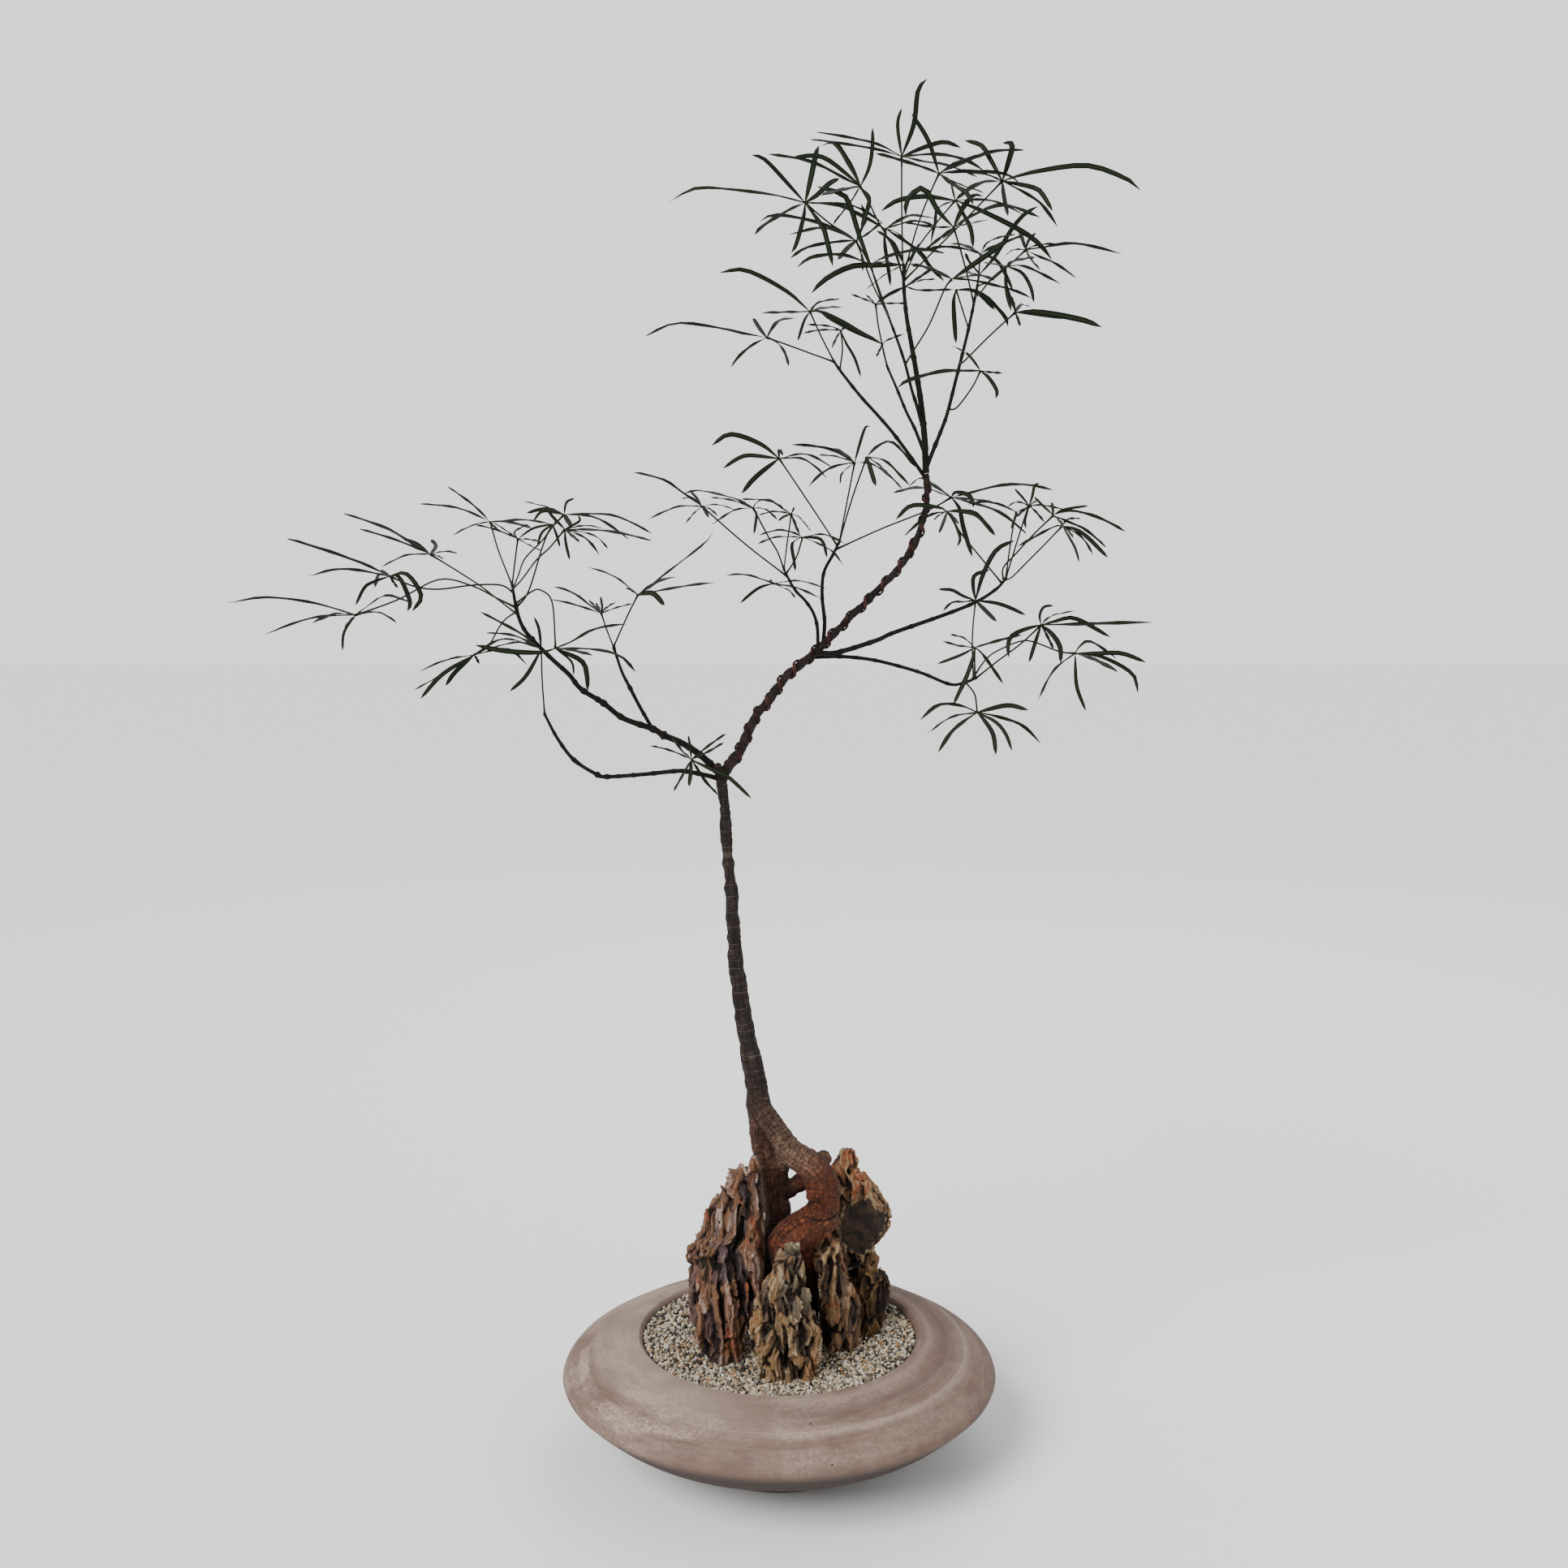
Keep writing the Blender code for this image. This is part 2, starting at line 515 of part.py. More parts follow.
LEAVES = {
    "leader": [
        ((1111, 193), 15, "1111,250 1112,310 1113,350",
         "1106,154 1111,133*; 1126,153 1131,112 1142,97*; 1140,181 1164,175 1184,182*; 1156,191 1189,198 1213,211;"
         "1140,200 1166,204 1204,218; 1076,177 1006,163; 1076,184 999,172"),
        ((1157, 214), -30, "1146,238 1130,280 1116,340",
         "1145,176 1130,150 1123,140*; 1181,201 1224,188; 1190,200 1222,188 1261,185; 1190,212 1236,215 1254,224;"
         "1172,226 1189,237 1199,251; 1181,227 1213,238; 1140,208 1111,199 1078,189"),
        ((1235, 223), -15, "1190,270 1150,310 1118,345",
         "1219,194 1209,179 1189,173*; 1243,198 1247,179 1235,176*; 1273,212 1340,204 1391,222 1405,234*;"
         "1276,232 1288,245 1297,260*; 1276,247 1291,263 1303,280; 1237,242 1242,266*; 1207,214 1160,213;"
         "1206,227 1178,246"),
        ((1060, 230), -45, "1071,250 1081,271 1100,305 1112,344",
         "1071,206 1075,180 1075,157*; 1049,208 1029,178 1012,180; 1045,216 1012,193 975,194*;"
         "1040,220 999,200 947,190; 1045,233 1012,241; 1050,247 1026,278; 1071,247 1061,282"),
        ((1091, 282), 45, "1093,293 1104,310 1113,345",
         "1106,273 1123,266 1151,269; 1126,273 1151,278; 1106,288 1131,310; 1090,296 1096,338 1097,353;"
         "1131,310 1146,330 1163,346"),
        ((1114, 326), -4, "1114,334 1114,342",
         "1085,327 1050,328 1017,344 1000,361*; 1100,300 1080,284; 1130,327 1163,337; 1122,318 1133,300;"
         "1090,339 1068,356"),
        ((1116, 353), 26, "1115,357 1114,362",
         "1098,361 1081,373*; 1133,358 1176,357; 1133,346 1153,344; 1139,338 1150,330"),
        ((1177, 247), 50, "1156,272 1131,305 1115,344",
         "1174,235 1172,226*; 1139,242 1106,247 1086,260*; 1156,257 1153,275 1147,301; 1188,238 1215,224;"
         "1222,248 1262,265; 1206,258 1256,283 1281,301 1296,320*; 1186,263 1196,283 1199,305"),
    ],
    "twig_a": [
        ((1079, 375), 40, "1082,400 1087,425 1091,449",
         "1065,369 1047,362; 1073,370 1067,363; 1095,374 1119,374; 1088,367 1111,356*"),
        ((1087, 424), 28, "1089,436 1092,449", "1074,417 1048,405 1012,386*; 1094,419 1115,411; 1085,430 1080,440"),
    ],
    "twig_b": [
        ((992, 250), -10, "1022,275 1054,297 1075,335 1092,385",
         "949,240 875,232 850,235 825,249; 974,230 943,197 926,191*; 999,220 1005,191 1009,180*;"
         "1007,240 1022,226 1034,220*; 1050,254 1088,275; 1031,254 1061,267 1091,283; 974,258 941,278 930,289;"
         "990,268 981,301 975,311*; 1013,280 1018,294 1026,328"),
        ((1055, 297), 25, "1062,315 1075,350 1092,388",
         "1037,298 997,305 974,318; 1017,281 973,289; 1013,277 957,266 935,274; 1044,306 1032,320*;"
         "1061,313 1063,334; 1070,288 1088,273; 1066,272 1061,251"),
        ((1073, 326), -60, "1079,348 1090,380 1096,393",
         "1059,291 1049,258 1039,240 1007,230*; 1090,318 1130,309 1163,312; 1037,315 1001,318 983,329;"
         "1090,323 1108,326"),
        ((1173, 344), -32, "1164,356 1145,400 1125,433 1116,450",
         "1189,333 1222,310 1244,295*; 1198,346 1247,358 1272,368; 1206,340 1226,346; 1140,330 1123,328"),
    ],
    "twig_c": [
        ((1036, 407), 8, "1038,430 1038,457",
         "1012,407 988,411; 1021,402 994,400; 1040,405 1046,402; 1042,422 1053,441 1061,465*; 1030,418 1025,429"),
        ((998, 384), -30, "1012,415 1027,445",
         "968,358 919,333 887,336*; 1010,373 1034,369; 1012,380 1039,378; 976,385 938,386; 991,395 983,420*;"
         "1012,384 1040,398 1062,411 1083,421*"),
        ((945, 416), 0, "976,427 1003,437 1028,447",
         "914,411 887,405 834,399 796,414; 937,406 928,392*; 951,406 960,396 980,392; 928,425 912,438 901,452;"
         "959,424 967,436 972,451"),
    ],
    "twig_d": [
        ((1175, 280), -58, "1184,310 1191,336 1199,378",
         "1156,260 1138,232 1118,246 1116,266*; 1186,258 1199,242 1212,242; 1148,280 1113,274; 1193,276 1217,271;"
         "1198,266 1236,253 1282,268; 1159,293 1138,310; 1170,288 1162,294"),
        ((1208, 313), -24, "1207,325 1207,340",
         "1186,307 1159,305 1138,310; 1189,303 1170,300; 1216,300 1231,293 1251,289; 1222,305 1261,290;"
         "1227,320 1239,338 1248,358*"),
        ((1207, 338), 6, "1206,340 1206,345", "1226,316 1244,286 1261,265 1279,254*; 1194,323 1189,311; 1197,338 1190,334"),
        ((1178, 357), 12, "1187,385 1193,409",
         "1175,371 1176,396 1178,423*; 1202,359 1226,382*; 1206,361 1236,389 1242,402"),
        ((1240, 328), -50, "1222,343 1207,362 1203,371",
         "1264,329 1307,350; 1259,336 1270,354 1274,373*; 1226,326 1212,324; 1239,343 1241,363 1246,383*;"
         "1247,323 1276,317"),
        ((1264, 308), 32, "1244,326 1222,345 1205,360",
         "1260,297 1255,281; 1267,297 1276,287*; 1276,303 1301,300; 1288,305 1325,301 1382,313;"
         "1279,316 1300,325 1325,342; 1249,308 1240,314; 1269,319 1281,333"),
        ((1251, 385), -36, "1232,402 1214,419 1188,445 1183,452",
         "1249,375 1246,365; 1245,370 1240,350; 1278,384 1333,394 1357,403*; 1270,386 1315,392*; 1258,376 1269,378;"
         "1254,393 1257,402"),
        ((1208, 457), -20, "1198,477 1179,502 1171,507",
         "1200,445 1190,433*; 1190,436 1173,426; 1188,457 1159,458 1119,469 1105,479; 1220,459 1236,460;"
         "1218,465 1228,481 1227,491*"),
    ],
    "left_branch": [
        ((438, 758), -20, "490,739 541,714 582,722 612,737 634,751",
         "387,744 330,737 282,743; 385,762 326,782; 412,757 385,768; 432,766 425,775; 424,779 422,802*;"
         "466,755 489,768; 459,743 476,734 502,741"),
        ((480, 710), -60, "512,723 541,726 582,721 617,721 631,732",
         "435,691 354,664; 423,702 381,710; 460,717 449,724 438,746*; 467,709 462,724; 474,706 469,703*;"
         "492,711 505,741 502,753*; 501,707 519,734 508,753*; 484,717 490,725"),
        ((530, 683), 15, "561,702 592,722 614,739 635,759",
         "498,664 475,651 424,633; 490,667 443,652; 514,670 497,664*; 500,685 470,699; 537,673 531,665*;"
         "548,680 563,682; 538,685 546,689"),
        ((604, 643), 30, "614,678 631,722",
         "582,622 552,600; 565,627 518,621; 582,648 558,660; 645,641 680,646; 625,644 655,651; 610,650 617,656"),
        ((638, 664), -40, "634,696 632,722",
         "620,652 608,644; 610,653 586,647; 657,651 680,646*; 652,665 667,668; 652,672 667,679; 634,656 651,646"),
        ((695, 634), -15, "678,653 669,672 651,729 641,749",
         "698,619 708,614*; 678,626 646,618; 672,627 649,632*; 669,630 657,642*; 735,639 774,664;"
         "755,636 804,658; 700,642 705,649*"),
        ((696, 652), -70, "678,674 661,690 643,714 636,725",
         "714,642 712,635*; 722,648 741,651; 750,655 802,666; 732,660 750,677; 704,660 714,668; 722,664 739,684;"
         "697,668 702,690*; 684,640 674,628*"),
        ((681, 646), 35, "669,665 647,688 639,708 634,725", "668,656 662,672*; 686,660 690,674*; 692,638 700,636"),
        ((684, 799), -45, "684,788 680,741 666,727 655,729 637,745",
         "664,804 622,802 586,795*; 704,815 707,832*; 716,814 723,831 724,851*; 733,801 764,809 783,828;"
         "705,802 730,808; 705,791 733,776 772,769"),
        ((584, 807), 10, "601,797 615,773 624,762 634,757",
         "550,814 518,827; 561,828 549,845*; 545,831 518,861*; 540,834 511,850; 587,812 590,818;"
         "615,789 643,790; 625,800 649,819"),
    ],
    "left_side_twig": [
        ((786, 733), -5, "773,759 757,797",
         "840,692 870,668 879,655*; 812,717 832,711; 842,723 880,718; 804,731 819,746*; 757,711 725,699;"
         "778,728 770,724"),
        ((741, 756), 45, "748,777 755,797",
         "742,748 740,735*; 726,746 705,731 682,723; 733,748 725,739; 705,745 680,739; 757,750 779,744;"
         "748,749 759,742; 738,750 734,743"),
    ],
    "left_low_twig": [
        ((667, 800), 32, "668,837 670,877",
         "664,775 658,760*; 642,781 592,754; 634,784 600,780; 648,833 628,852*; 640,792 607,798"),
    ],
    "fork_leaf": [
        ((852, 936), -30, "868,945 881,951",
         "828,926 802,919; 850,918 848,906; 838,924 828,908; 873,920 895,904; 872,927 892,915; 841,956 830,975;"
         "851,953 849,969; 879,949 898,958 926,984*; 868,962 884,979"),
    ],
    "middle_left_twig": [
        ((865, 624), 10, "919,671 969,712",
         "841,608 817,592 780,582; 858,613 851,606*; 852,614 840,615; 835,625 799,640; 856,632 845,645;"
         "884,622 908,629; 869,631 873,638; 875,628 884,636"),
        ((928, 626), -30, "946,660 958,680 965,702",
         "906,615 863,605 843,608; 903,617 876,613; 905,629 878,646; 933,619 945,616 965,626; 932,634 929,658*;"
         "943,628 958,641; 920,622 916,618*"),
        ((975, 633), 38, "969,676 967,700",
         "953,631 935,635; 965,637 959,642*; 977,630 979,625; 961,625 946,617 912,615; 985,638 999,655;"
         "980,647 985,659"),
        ((989, 662), -10, "981,687 971,706",
         "974,656 957,654 935,660; 957,662 934,670; 980,666 976,675 980,704; 1015,659 1041,670;"
         "1008,663 1015,670 1019,687*; 1006,669 1026,680 1039,697"),
        ((953, 719), 26, "965,721 975,723",
         "920,709 895,709; 938,723 927,730 912,743*; 985,716 1020,726; 982,725 1010,737; 972,728 980,737;"
         "951,719 949,714"),
    ],
    "middle_right_twig": [
        ((960, 565), -22, "993,614 1031,671",
         "937,547 900,535 877,549*; 924,561 909,565 891,577*; 939,581 926,593 914,608*; 936,583 922,593;"
         "960,554 965,561*; 993,560 1024,575; 991,567 1019,589"),
        ((1053, 570), 22, "1035,663 1034,668",
         "1059,548 1066,527 1072,525*; 1020,554 974,548; 1034,556 1016,552; 1030,563 1009,561;"
         "1030,575 1013,584 996,600; 1038,583 1035,596; 1074,572 1095,586 1111,602"),
        ((1068, 563), -28, "1050,614 1036,663",
         "1090,568 1109,586 1122,600; 1072,576 1079,599*; 1082,573 1095,586; 1082,550 1100,546 1127,575"),
        ((1172, 613), 34, "1145,628 1085,652 1031,677",
         "1147,596 1134,589 1121,599; 1195,608 1232,599 1264,598 1298,604; 1178,606 1195,611 1200,625*;"
         "1182,626 1187,650 1198,686*; 1218,619 1251,630; 1228,630 1264,657; 1135,601 1101,607"),
    ],
    "right_upper_twig": [
        ((1167, 630), -34, "1184,657 1201,678 1230,717",
         "1156,625 1123,623 1104,640*; 1143,637 1115,660; 1163,642 1157,657*; 1188,631 1206,637 1224,659*;"
         "1175,642 1183,663 1179,674; 1200,632 1227,661; 1174,638 1181,646; 1158,635 1151,641"),
        ((1268, 623), 22, "1262,639 1253,668 1245,694 1240,713",
         "1272,611 1275,598 1281,596*; 1260,613 1250,602*; 1253,619 1241,625; 1260,630 1251,638;"
         "1263,640 1264,651*; 1286,623 1320,630; 1277,632 1287,644; 1274,619 1280,615"),
        ((1252, 631), -10, "1247,657 1242,691 1238,712", "1232,622 1210,619 1192,622; 1262,628 1275,622; 1250,641 1246,652"),
        ((1298, 635), -44, "1275,657 1251,683 1236,700 1231,716",
         "1284,622 1274,612*; 1297,626 1296,619*; 1310,628 1341,623*; 1318,630 1351,638 1386,655;"
         "1314,643 1336,653 1362,674; 1305,642 1310,650"),
        ((1309, 648), 24, "1286,672 1267,691 1247,711 1241,715",
         "1316,640 1331,639; 1325,652 1340,662 1365,687*; 1332,662 1347,684; 1318,663 1325,676 1330,693*;"
         "1297,650 1253,674; 1316,655 1322,663"),
    ],
    "right_lower_twig": [
        ((1202, 740), 26, "1199,770 1198,800 1199,836",
         "1210,711 1221,687 1232,674 1250,666*; 1199,722 1201,709 1219,702*; 1186,734 1173,727 1156,726*;"
         "1188,742 1173,743 1162,753; 1190,748 1167,757; 1227,743 1245,749 1264,758*; 1214,752 1228,766*"),
        ((1201, 798), -16, "1201,820 1201,836",
         "1188,787 1170,782; 1180,796 1161,790; 1184,807 1155,818*; 1216,794 1260,782; 1211,807 1236,843;"
         "1198,814 1190,837 1175,868"),
        ((1204, 878), -12, "1201,856 1191,844",
         "1184,870 1157,869 1134,887; 1172,884 1144,903; 1188,889 1172,903 1156,927; 1218,874 1243,869 1267,875*;"
         "1226,883 1258,894 1282,916; 1226,889 1239,904 1247,925*; 1214,889 1224,906 1227,930*"),
        ((1283, 770), -42, "1258,793 1230,814 1203,838",
         "1281,759 1286,748 1298,746*; 1296,759 1323,753; 1264,775 1247,783 1242,795 1243,810*;"
         "1302,765 1325,762 1368,785*; 1310,770 1352,769 1419,767; 1296,781 1306,797 1307,817*;"
         "1278,784 1268,816*; 1290,784 1298,800"),
        ((1325, 805), 14, "1306,803 1274,791 1258,790 1237,798 1216,811 1196,838",
         "1331,796 1344,791 1375,811; 1353,805 1382,805 1412,816*; 1357,809 1395,830 1402,854*;"
         "1350,814 1377,828; 1325,820 1327,847 1338,876*; 1310,816 1296,830 1279,863"),
    ],
}

SPRAYS = {
    "crown_shoot": ["leader", "twig_a", "twig_b", "twig_d"],
    "crown_left_twig": ["twig_c"],
    "left_branch": ["left_branch"],
    "left_side_twig": ["left_side_twig"],
    "left_low_twig": ["left_low_twig"],
    "fork_leaf": ["fork_leaf"],
    "middle_left_twig": ["middle_left_twig"],
    "middle_right_twig": ["middle_right_twig"],
    "right_upper_twig": ["right_upper_twig"],
    "right_lower_twig": ["right_lower_twig"],
}


def twig_path(name):
    """The middle line and radii of one twig."""
    points = TWIGS[name][1]
    return wood_run(points, max(4, len(points)))


def apart(one, other):
    """How well two blades of a leaf keep apart: the least angle between them as seen from the hub."""
    reach = min(distances(one)[-1], distances(other)[-1])
    worst = math.pi
    for share in (0.3, 0.6, 1.0):
        a = resample(one, 40)[max(1, int(39 * share * reach / distances(one)[-1]))] - one[0]
        b = resample(other, 40)[max(1, int(39 * share * reach / distances(other)[-1]))] - other[0]
        worst = min(worst, a.angle(b))
    return worst


def place_blades(hub, depth, texts, stalk):
    """Each blade's curve in space. The depth that the picture hides is taken so that blades keep apart."""
    marks = [read_points(text.replace("*", "")) for text in texts]
    lengths = [distances([hub] + [at(px, py, depth) for px, py in run])[-1] for run in marks]
    usual = USUAL_LENGTH * sum(lengths) / len(lengths)
    placed = []
    for text, run, length in zip(texts, marks, lengths):
        hidden = min(MOST_HIDDEN, math.sqrt(max(0.0, usual * usual - length * length)) + LEAST_HIDDEN)
        far = distances([hub] + [at(px, py, depth) for px, py in run])
        options = []
        for swing in SWINGS:
            shift = swing * hidden / MM
            options.append([hub] + [at(px, py, depth + shift * far[i + 1] / length) for i, (px, py) in enumerate(run)])
        others = [stalk] + [other for other, _ in placed]
        best = max(options, key=lambda option: min(apart(option, other) for other in others))
        placed.append((best, "*" in text))
    return placed


def turned_towards(side, wanted, along):
    """A direction across a blade, turned from side towards wanted by no more than the greatest twist."""
    flat = (side - along * side.dot(along)).normalized()
    aim = (wanted - along * wanted.dot(along)).normalized()
    if aim.dot(flat) < 0:
        aim = -aim
    angle = flat.angle(aim)
    if angle <= MOST_TWIST:
        return aim
    return flat.slerp(aim, MOST_TWIST / angle)


def blade_rings(points, broad, radial, tangent):
    """Where a blade runs after its root, which faces radial: rings of low edge, keel and high edge, and its tip."""
    fine = smooth_path([points[0] + radial * HUB_RADIUS * 0.9] + points[1:], 41)
    stations = LONG_STATIONS if distances(points)[-1] > SHORT_BLADE else SHORT_STATIONS
    path = [fine[0]] + [fine[int(40 * where)] for where, _ in stations] + [fine[-1]]
    side = tangent
    before = radial
    rings = []
    for i, (_, share) in enumerate(stations):
        point = path[i + 1]
        along = (path[i + 2] - path[i]).normalized()
        across = along.cross((EYE - point).normalized() if broad else LEVEL_TILT)
        side = turned_towards(before.rotation_difference(along) @ side, across, along)
        before = along
        other = along.cross(side)
        half = BLADE_WIDTH / 2 * share
        edge = point + other * BLADE_DEPTH * 0.2
        rings.append((edge - side * half, point - other * BLADE_DEPTH * 0.8, edge + side * half))
    return rings, path[-1]


def spread(angles):
    """The same angles, in order, pushed half way to an even spacing so that neighbours don't crowd."""
    count = len(angles)
    even = [2 * math.pi * k / count for k in range(count)]
    shift = sum(a - e for a, e in zip(angles, even)) / count
    return [0.5 * a + 0.5 * (e + shift) for a, e in zip(angles, even)]


def bridge(bm, lower, upper):
    """Skin two rings of different counts, each a list of (angle, vertex) in turning order."""
    low = list(lower) + [(lower[0][0] + 2 * math.pi, lower[0][1])]
    high = list(upper) + [(upper[0][0] + 2 * math.pi, upper[0][1])]
    i = 0
    j = 0
    while i < len(low) - 1 or j < len(high) - 1:
        step_low = j == len(high) - 1 or (i < len(low) - 1 and low[i + 1][0] <= high[j + 1][0])
        if step_low:
            bm.faces.new((low[i][1], low[i + 1][1], high[j][1]))
            i += 1
        else:
            bm.faces.new((low[i][1], high[j + 1][1], high[j][1]))
            j += 1


def leaf_mesh(hub, stalk, blades):
    """One leaf as one solid: a stalk, a small star-shaped hub and a blade from each of its sides."""
    axis = (stalk[0] - stalk[1]).normalized()
    first = Vector((1.0, 0.0, 0.0))
    first = (first - axis * first.dot(axis)).normalized()
    second = axis.cross(first)
    turned = []
    for number, (points, _) in enumerate(blades):
        heading = points[1] - points[0]
        turned.append((math.atan2(heading.dot(second), heading.dot(first)) % (2 * math.pi), number))
    turned.sort()
    angles = spread([item[0] for item in turned])
    count = len(turned)

    def place(angle, radius, height):
        return hub + first * (radius * math.cos(angle)) + second * (radius * math.sin(angle)) + axis * height

    bm = bmesh.new()
    between = [(angles[k - 1] - (0.0 if k else 2 * math.pi) + angles[k]) / 2 for k in range(count)]
    rim = [bm.verts.new(place(angle, HUB_RADIUS, HUB_RADIUS * 0.3)) for angle in between]
    keels = []
    for angle, (_, number) in zip(angles, turned):
        climb = (blades[number][0][1] - hub).normalized().dot(axis)
        keels.append(bm.verts.new(place(angle, HUB_RADIUS * (0.9 + 0.4 * climb), -HUB_RADIUS * 0.35)))
    bm.faces.new(rim)
    for k in range(count):
        bm.faces.new((rim[k], keels[k - 1], keels[k]))
    for k, (_, number) in enumerate(turned):
        radial = place(angles[k], 1.0, 0.0) - hub
        rings, tip = blade_rings(*blades[number], radial, axis.cross(radial))
        root = (rim[k], keels[k], rim[(k + 1) % count])
        sections = [root] + [tuple(bm.verts.new(p) for p in ring) for ring in rings]
        for low, high in zip(sections, sections[1:]):
            # Every face is split from its low edge to the next ring's high edge, so twisted faces don't cross.
            for corners in ((low[0], low[1], high[1]), (low[0], high[1], high[0]),
                            (low[1], low[2], high[2]), (low[1], high[2], high[1]),
                            (low[2], low[0], high[2]), (low[0], high[0], high[2])):
                bm.faces.new(corners)
        end = bm.verts.new(tip)
        for m in range(3):
            bm.faces.new((sections[-1][m], sections[-1][(m + 1) % 3], end))
    path = smooth_path(stalk, 5)[1:]
    laid = frames(path, first)
    tube = []
    for point, along, side, other in laid:
        tube.append([bm.verts.new(point + side * (STALK_RADIUS * math.cos(t)) - other * (STALK_RADIUS * math.sin(t)))
                     for t in turns(3)])
    start_turn = math.atan2(laid[0][2].dot(second), laid[0][2].dot(first))
    ring_angles = [(start_turn + t) % (2 * math.pi) for t in turns(3)]
    top = sorted(zip(ring_angles, tube[0]), key=lambda item: item[0])
    base = angles[0] % (2 * math.pi)
    keel_ring = [(angle - angles[0] + base, vertex) for angle, vertex in zip(angles, keels)]
    top = sorted([((angle - base) % (2 * math.pi) + base, vertex) for angle, vertex in top], key=lambda i: i[0])
    bridge(bm, keel_ring, top)
    for low, high in zip(tube, tube[1:]):
        for m in range(3):
            bm.faces.new((low[m], low[(m + 1) % 3], high[(m + 1) % 3], high[m]))
    bm.faces.new(tube[-1])
    bmesh.ops.triangulate(bm, faces=bm.faces)
    return bm


def leaf_object(twig, number, leaf):
    """One leaf of a twig: its hub, its stalk down into the twig, and its blades."""
    (px, py), depth, stalk_text, blades_text = leaf
    hub = at(px, py, depth)
    fine = resample(twig_path(twig)[0], 80)
    stalk_marks = read_points(stalk_text)
    last = at(*stalk_marks[-1], 0.0)
    foot = min(fine, key=lambda p: (p.x - last.x) ** 2 + (p.z - last.z) ** 2)
    shares = np.linspace(0.0, 1.0, len(stalk_marks) + 1)[1:]
    stalk = [hub] + [at(mx, my, depth + (foot.y / MM - depth) * s * s)
                     for (mx, my), s in zip(stalk_marks[:-1], shares)] + [foot]
    blades = place_blades(hub, depth, blades_text.split(";"), stalk)
    return make_object(f"{twig}_leaf_{number}", leaf_mesh(hub, stalk, blades), "leaf")


def clear_start(path, radii, carriers):
    """How far along its path a twig's first ring stands just clear of the wood round its base."""
    count = 400
    fine = resample(path, count)
    thick = resample_radii(path, radii, count)
    laid = frames(fine)
    for i, (point, _, side, other) in enumerate(laid):
        ring = [point, *ring_points(point, side, other, thick[i] * 1.05, 12)]
        if all(stands_clear(spot, carrier) for spot in ring for carrier in carriers):
            return i / (count - 1)
    return 0.0


def stands_clear(spot, carrier):
    """Whether a point is outside a surface by a little more than the gap."""
    near, normal, _, distance = carrier.find_nearest(spot)
    return distance > GAP * 1.4 and (spot - near).dot(normal) > 0


def surface_of(made):
    """A search tree on an object's surface."""
    return BVHTree.FromPolygons([v.co.copy() for v in made.data.vertices],
                                [tuple(p.vertices) for p in made.data.polygons])


def make_spray(name, carriers):
    """One leafy stem: its wood, seated just clear of what carries it, and its leaves, as one body."""
    pieces = []
    for twig in SPRAYS[name]:
        path, radii = twig_path(twig)
        count = len(path)
        below = [surface_of(carriers[wood]) for wood in TWIGS[twig][0].split() if wood in carriers]
        if below:
            share = clear_start(path, radii, below)
            radii = resample_radii(path, radii, count, share)
            path = resample(path, count, share)
        pieces.append(make_object(twig + "_wood", tube_mesh(path, radii, TWIG_SIDES), "leaf"))
        for number, leaf in enumerate(LEAVES[twig]):
            pieces.append(leaf_object(twig, number, leaf))
    spray = pieces.pop(0)
    spray.name = name
    spray.data.name = name
    return apply_boolean(spray, "UNION", pieces, SPRAY_SOLVER)


def main():
    """Build every piece of the potted tree."""
    remove(bpy.data.objects)
    roots = root_legs()
    make_pot()
    make_screens()
    make_soil(roots)
    make_gravel(roots)
    for name in STONES:
        make_stone(name)
    tree = make_tree(roots)
    make_wire(roots)
    carriers = {"tree": tree}
    for name in SPRAYS:
        carriers[name] = make_spray(name, carriers)


main()
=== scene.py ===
# %% [markdown]
# # A potted queensland bottle tree
#
# The real thing is a young tree with a thin wired branch, narrow leaves in open fans, and roots that grip
# a group of standing stones in a shallow clay pot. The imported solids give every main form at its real
# size. This lesson dresses them: each leaf, stone, root and grain of grit is modelled finer, in the place
# that the solid already has, and gets a finish made of nodes.

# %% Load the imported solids
import math

import bpy
import numpy as np
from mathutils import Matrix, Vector
from mathutils.kdtree import KDTree


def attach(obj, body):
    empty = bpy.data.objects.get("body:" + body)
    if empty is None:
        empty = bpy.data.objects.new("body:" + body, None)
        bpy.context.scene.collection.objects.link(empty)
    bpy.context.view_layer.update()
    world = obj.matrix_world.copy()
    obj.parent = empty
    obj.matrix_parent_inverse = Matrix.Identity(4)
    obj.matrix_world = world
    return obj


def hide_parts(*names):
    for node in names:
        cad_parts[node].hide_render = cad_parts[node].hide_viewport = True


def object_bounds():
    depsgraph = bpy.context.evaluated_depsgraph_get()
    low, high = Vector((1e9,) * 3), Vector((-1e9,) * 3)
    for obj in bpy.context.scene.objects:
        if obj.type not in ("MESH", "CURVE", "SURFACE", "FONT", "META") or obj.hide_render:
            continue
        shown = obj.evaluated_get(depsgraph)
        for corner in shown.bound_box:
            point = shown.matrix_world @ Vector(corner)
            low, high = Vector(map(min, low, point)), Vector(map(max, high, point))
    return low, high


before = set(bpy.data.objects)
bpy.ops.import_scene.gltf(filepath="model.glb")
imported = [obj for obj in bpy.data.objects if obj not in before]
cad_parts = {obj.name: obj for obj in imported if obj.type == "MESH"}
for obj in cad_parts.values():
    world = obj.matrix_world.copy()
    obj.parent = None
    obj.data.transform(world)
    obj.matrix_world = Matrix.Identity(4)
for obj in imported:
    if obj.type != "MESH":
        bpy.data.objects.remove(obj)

CAD_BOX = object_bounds()
MM = 0.001
print("solids:", ", ".join(sorted(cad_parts)))

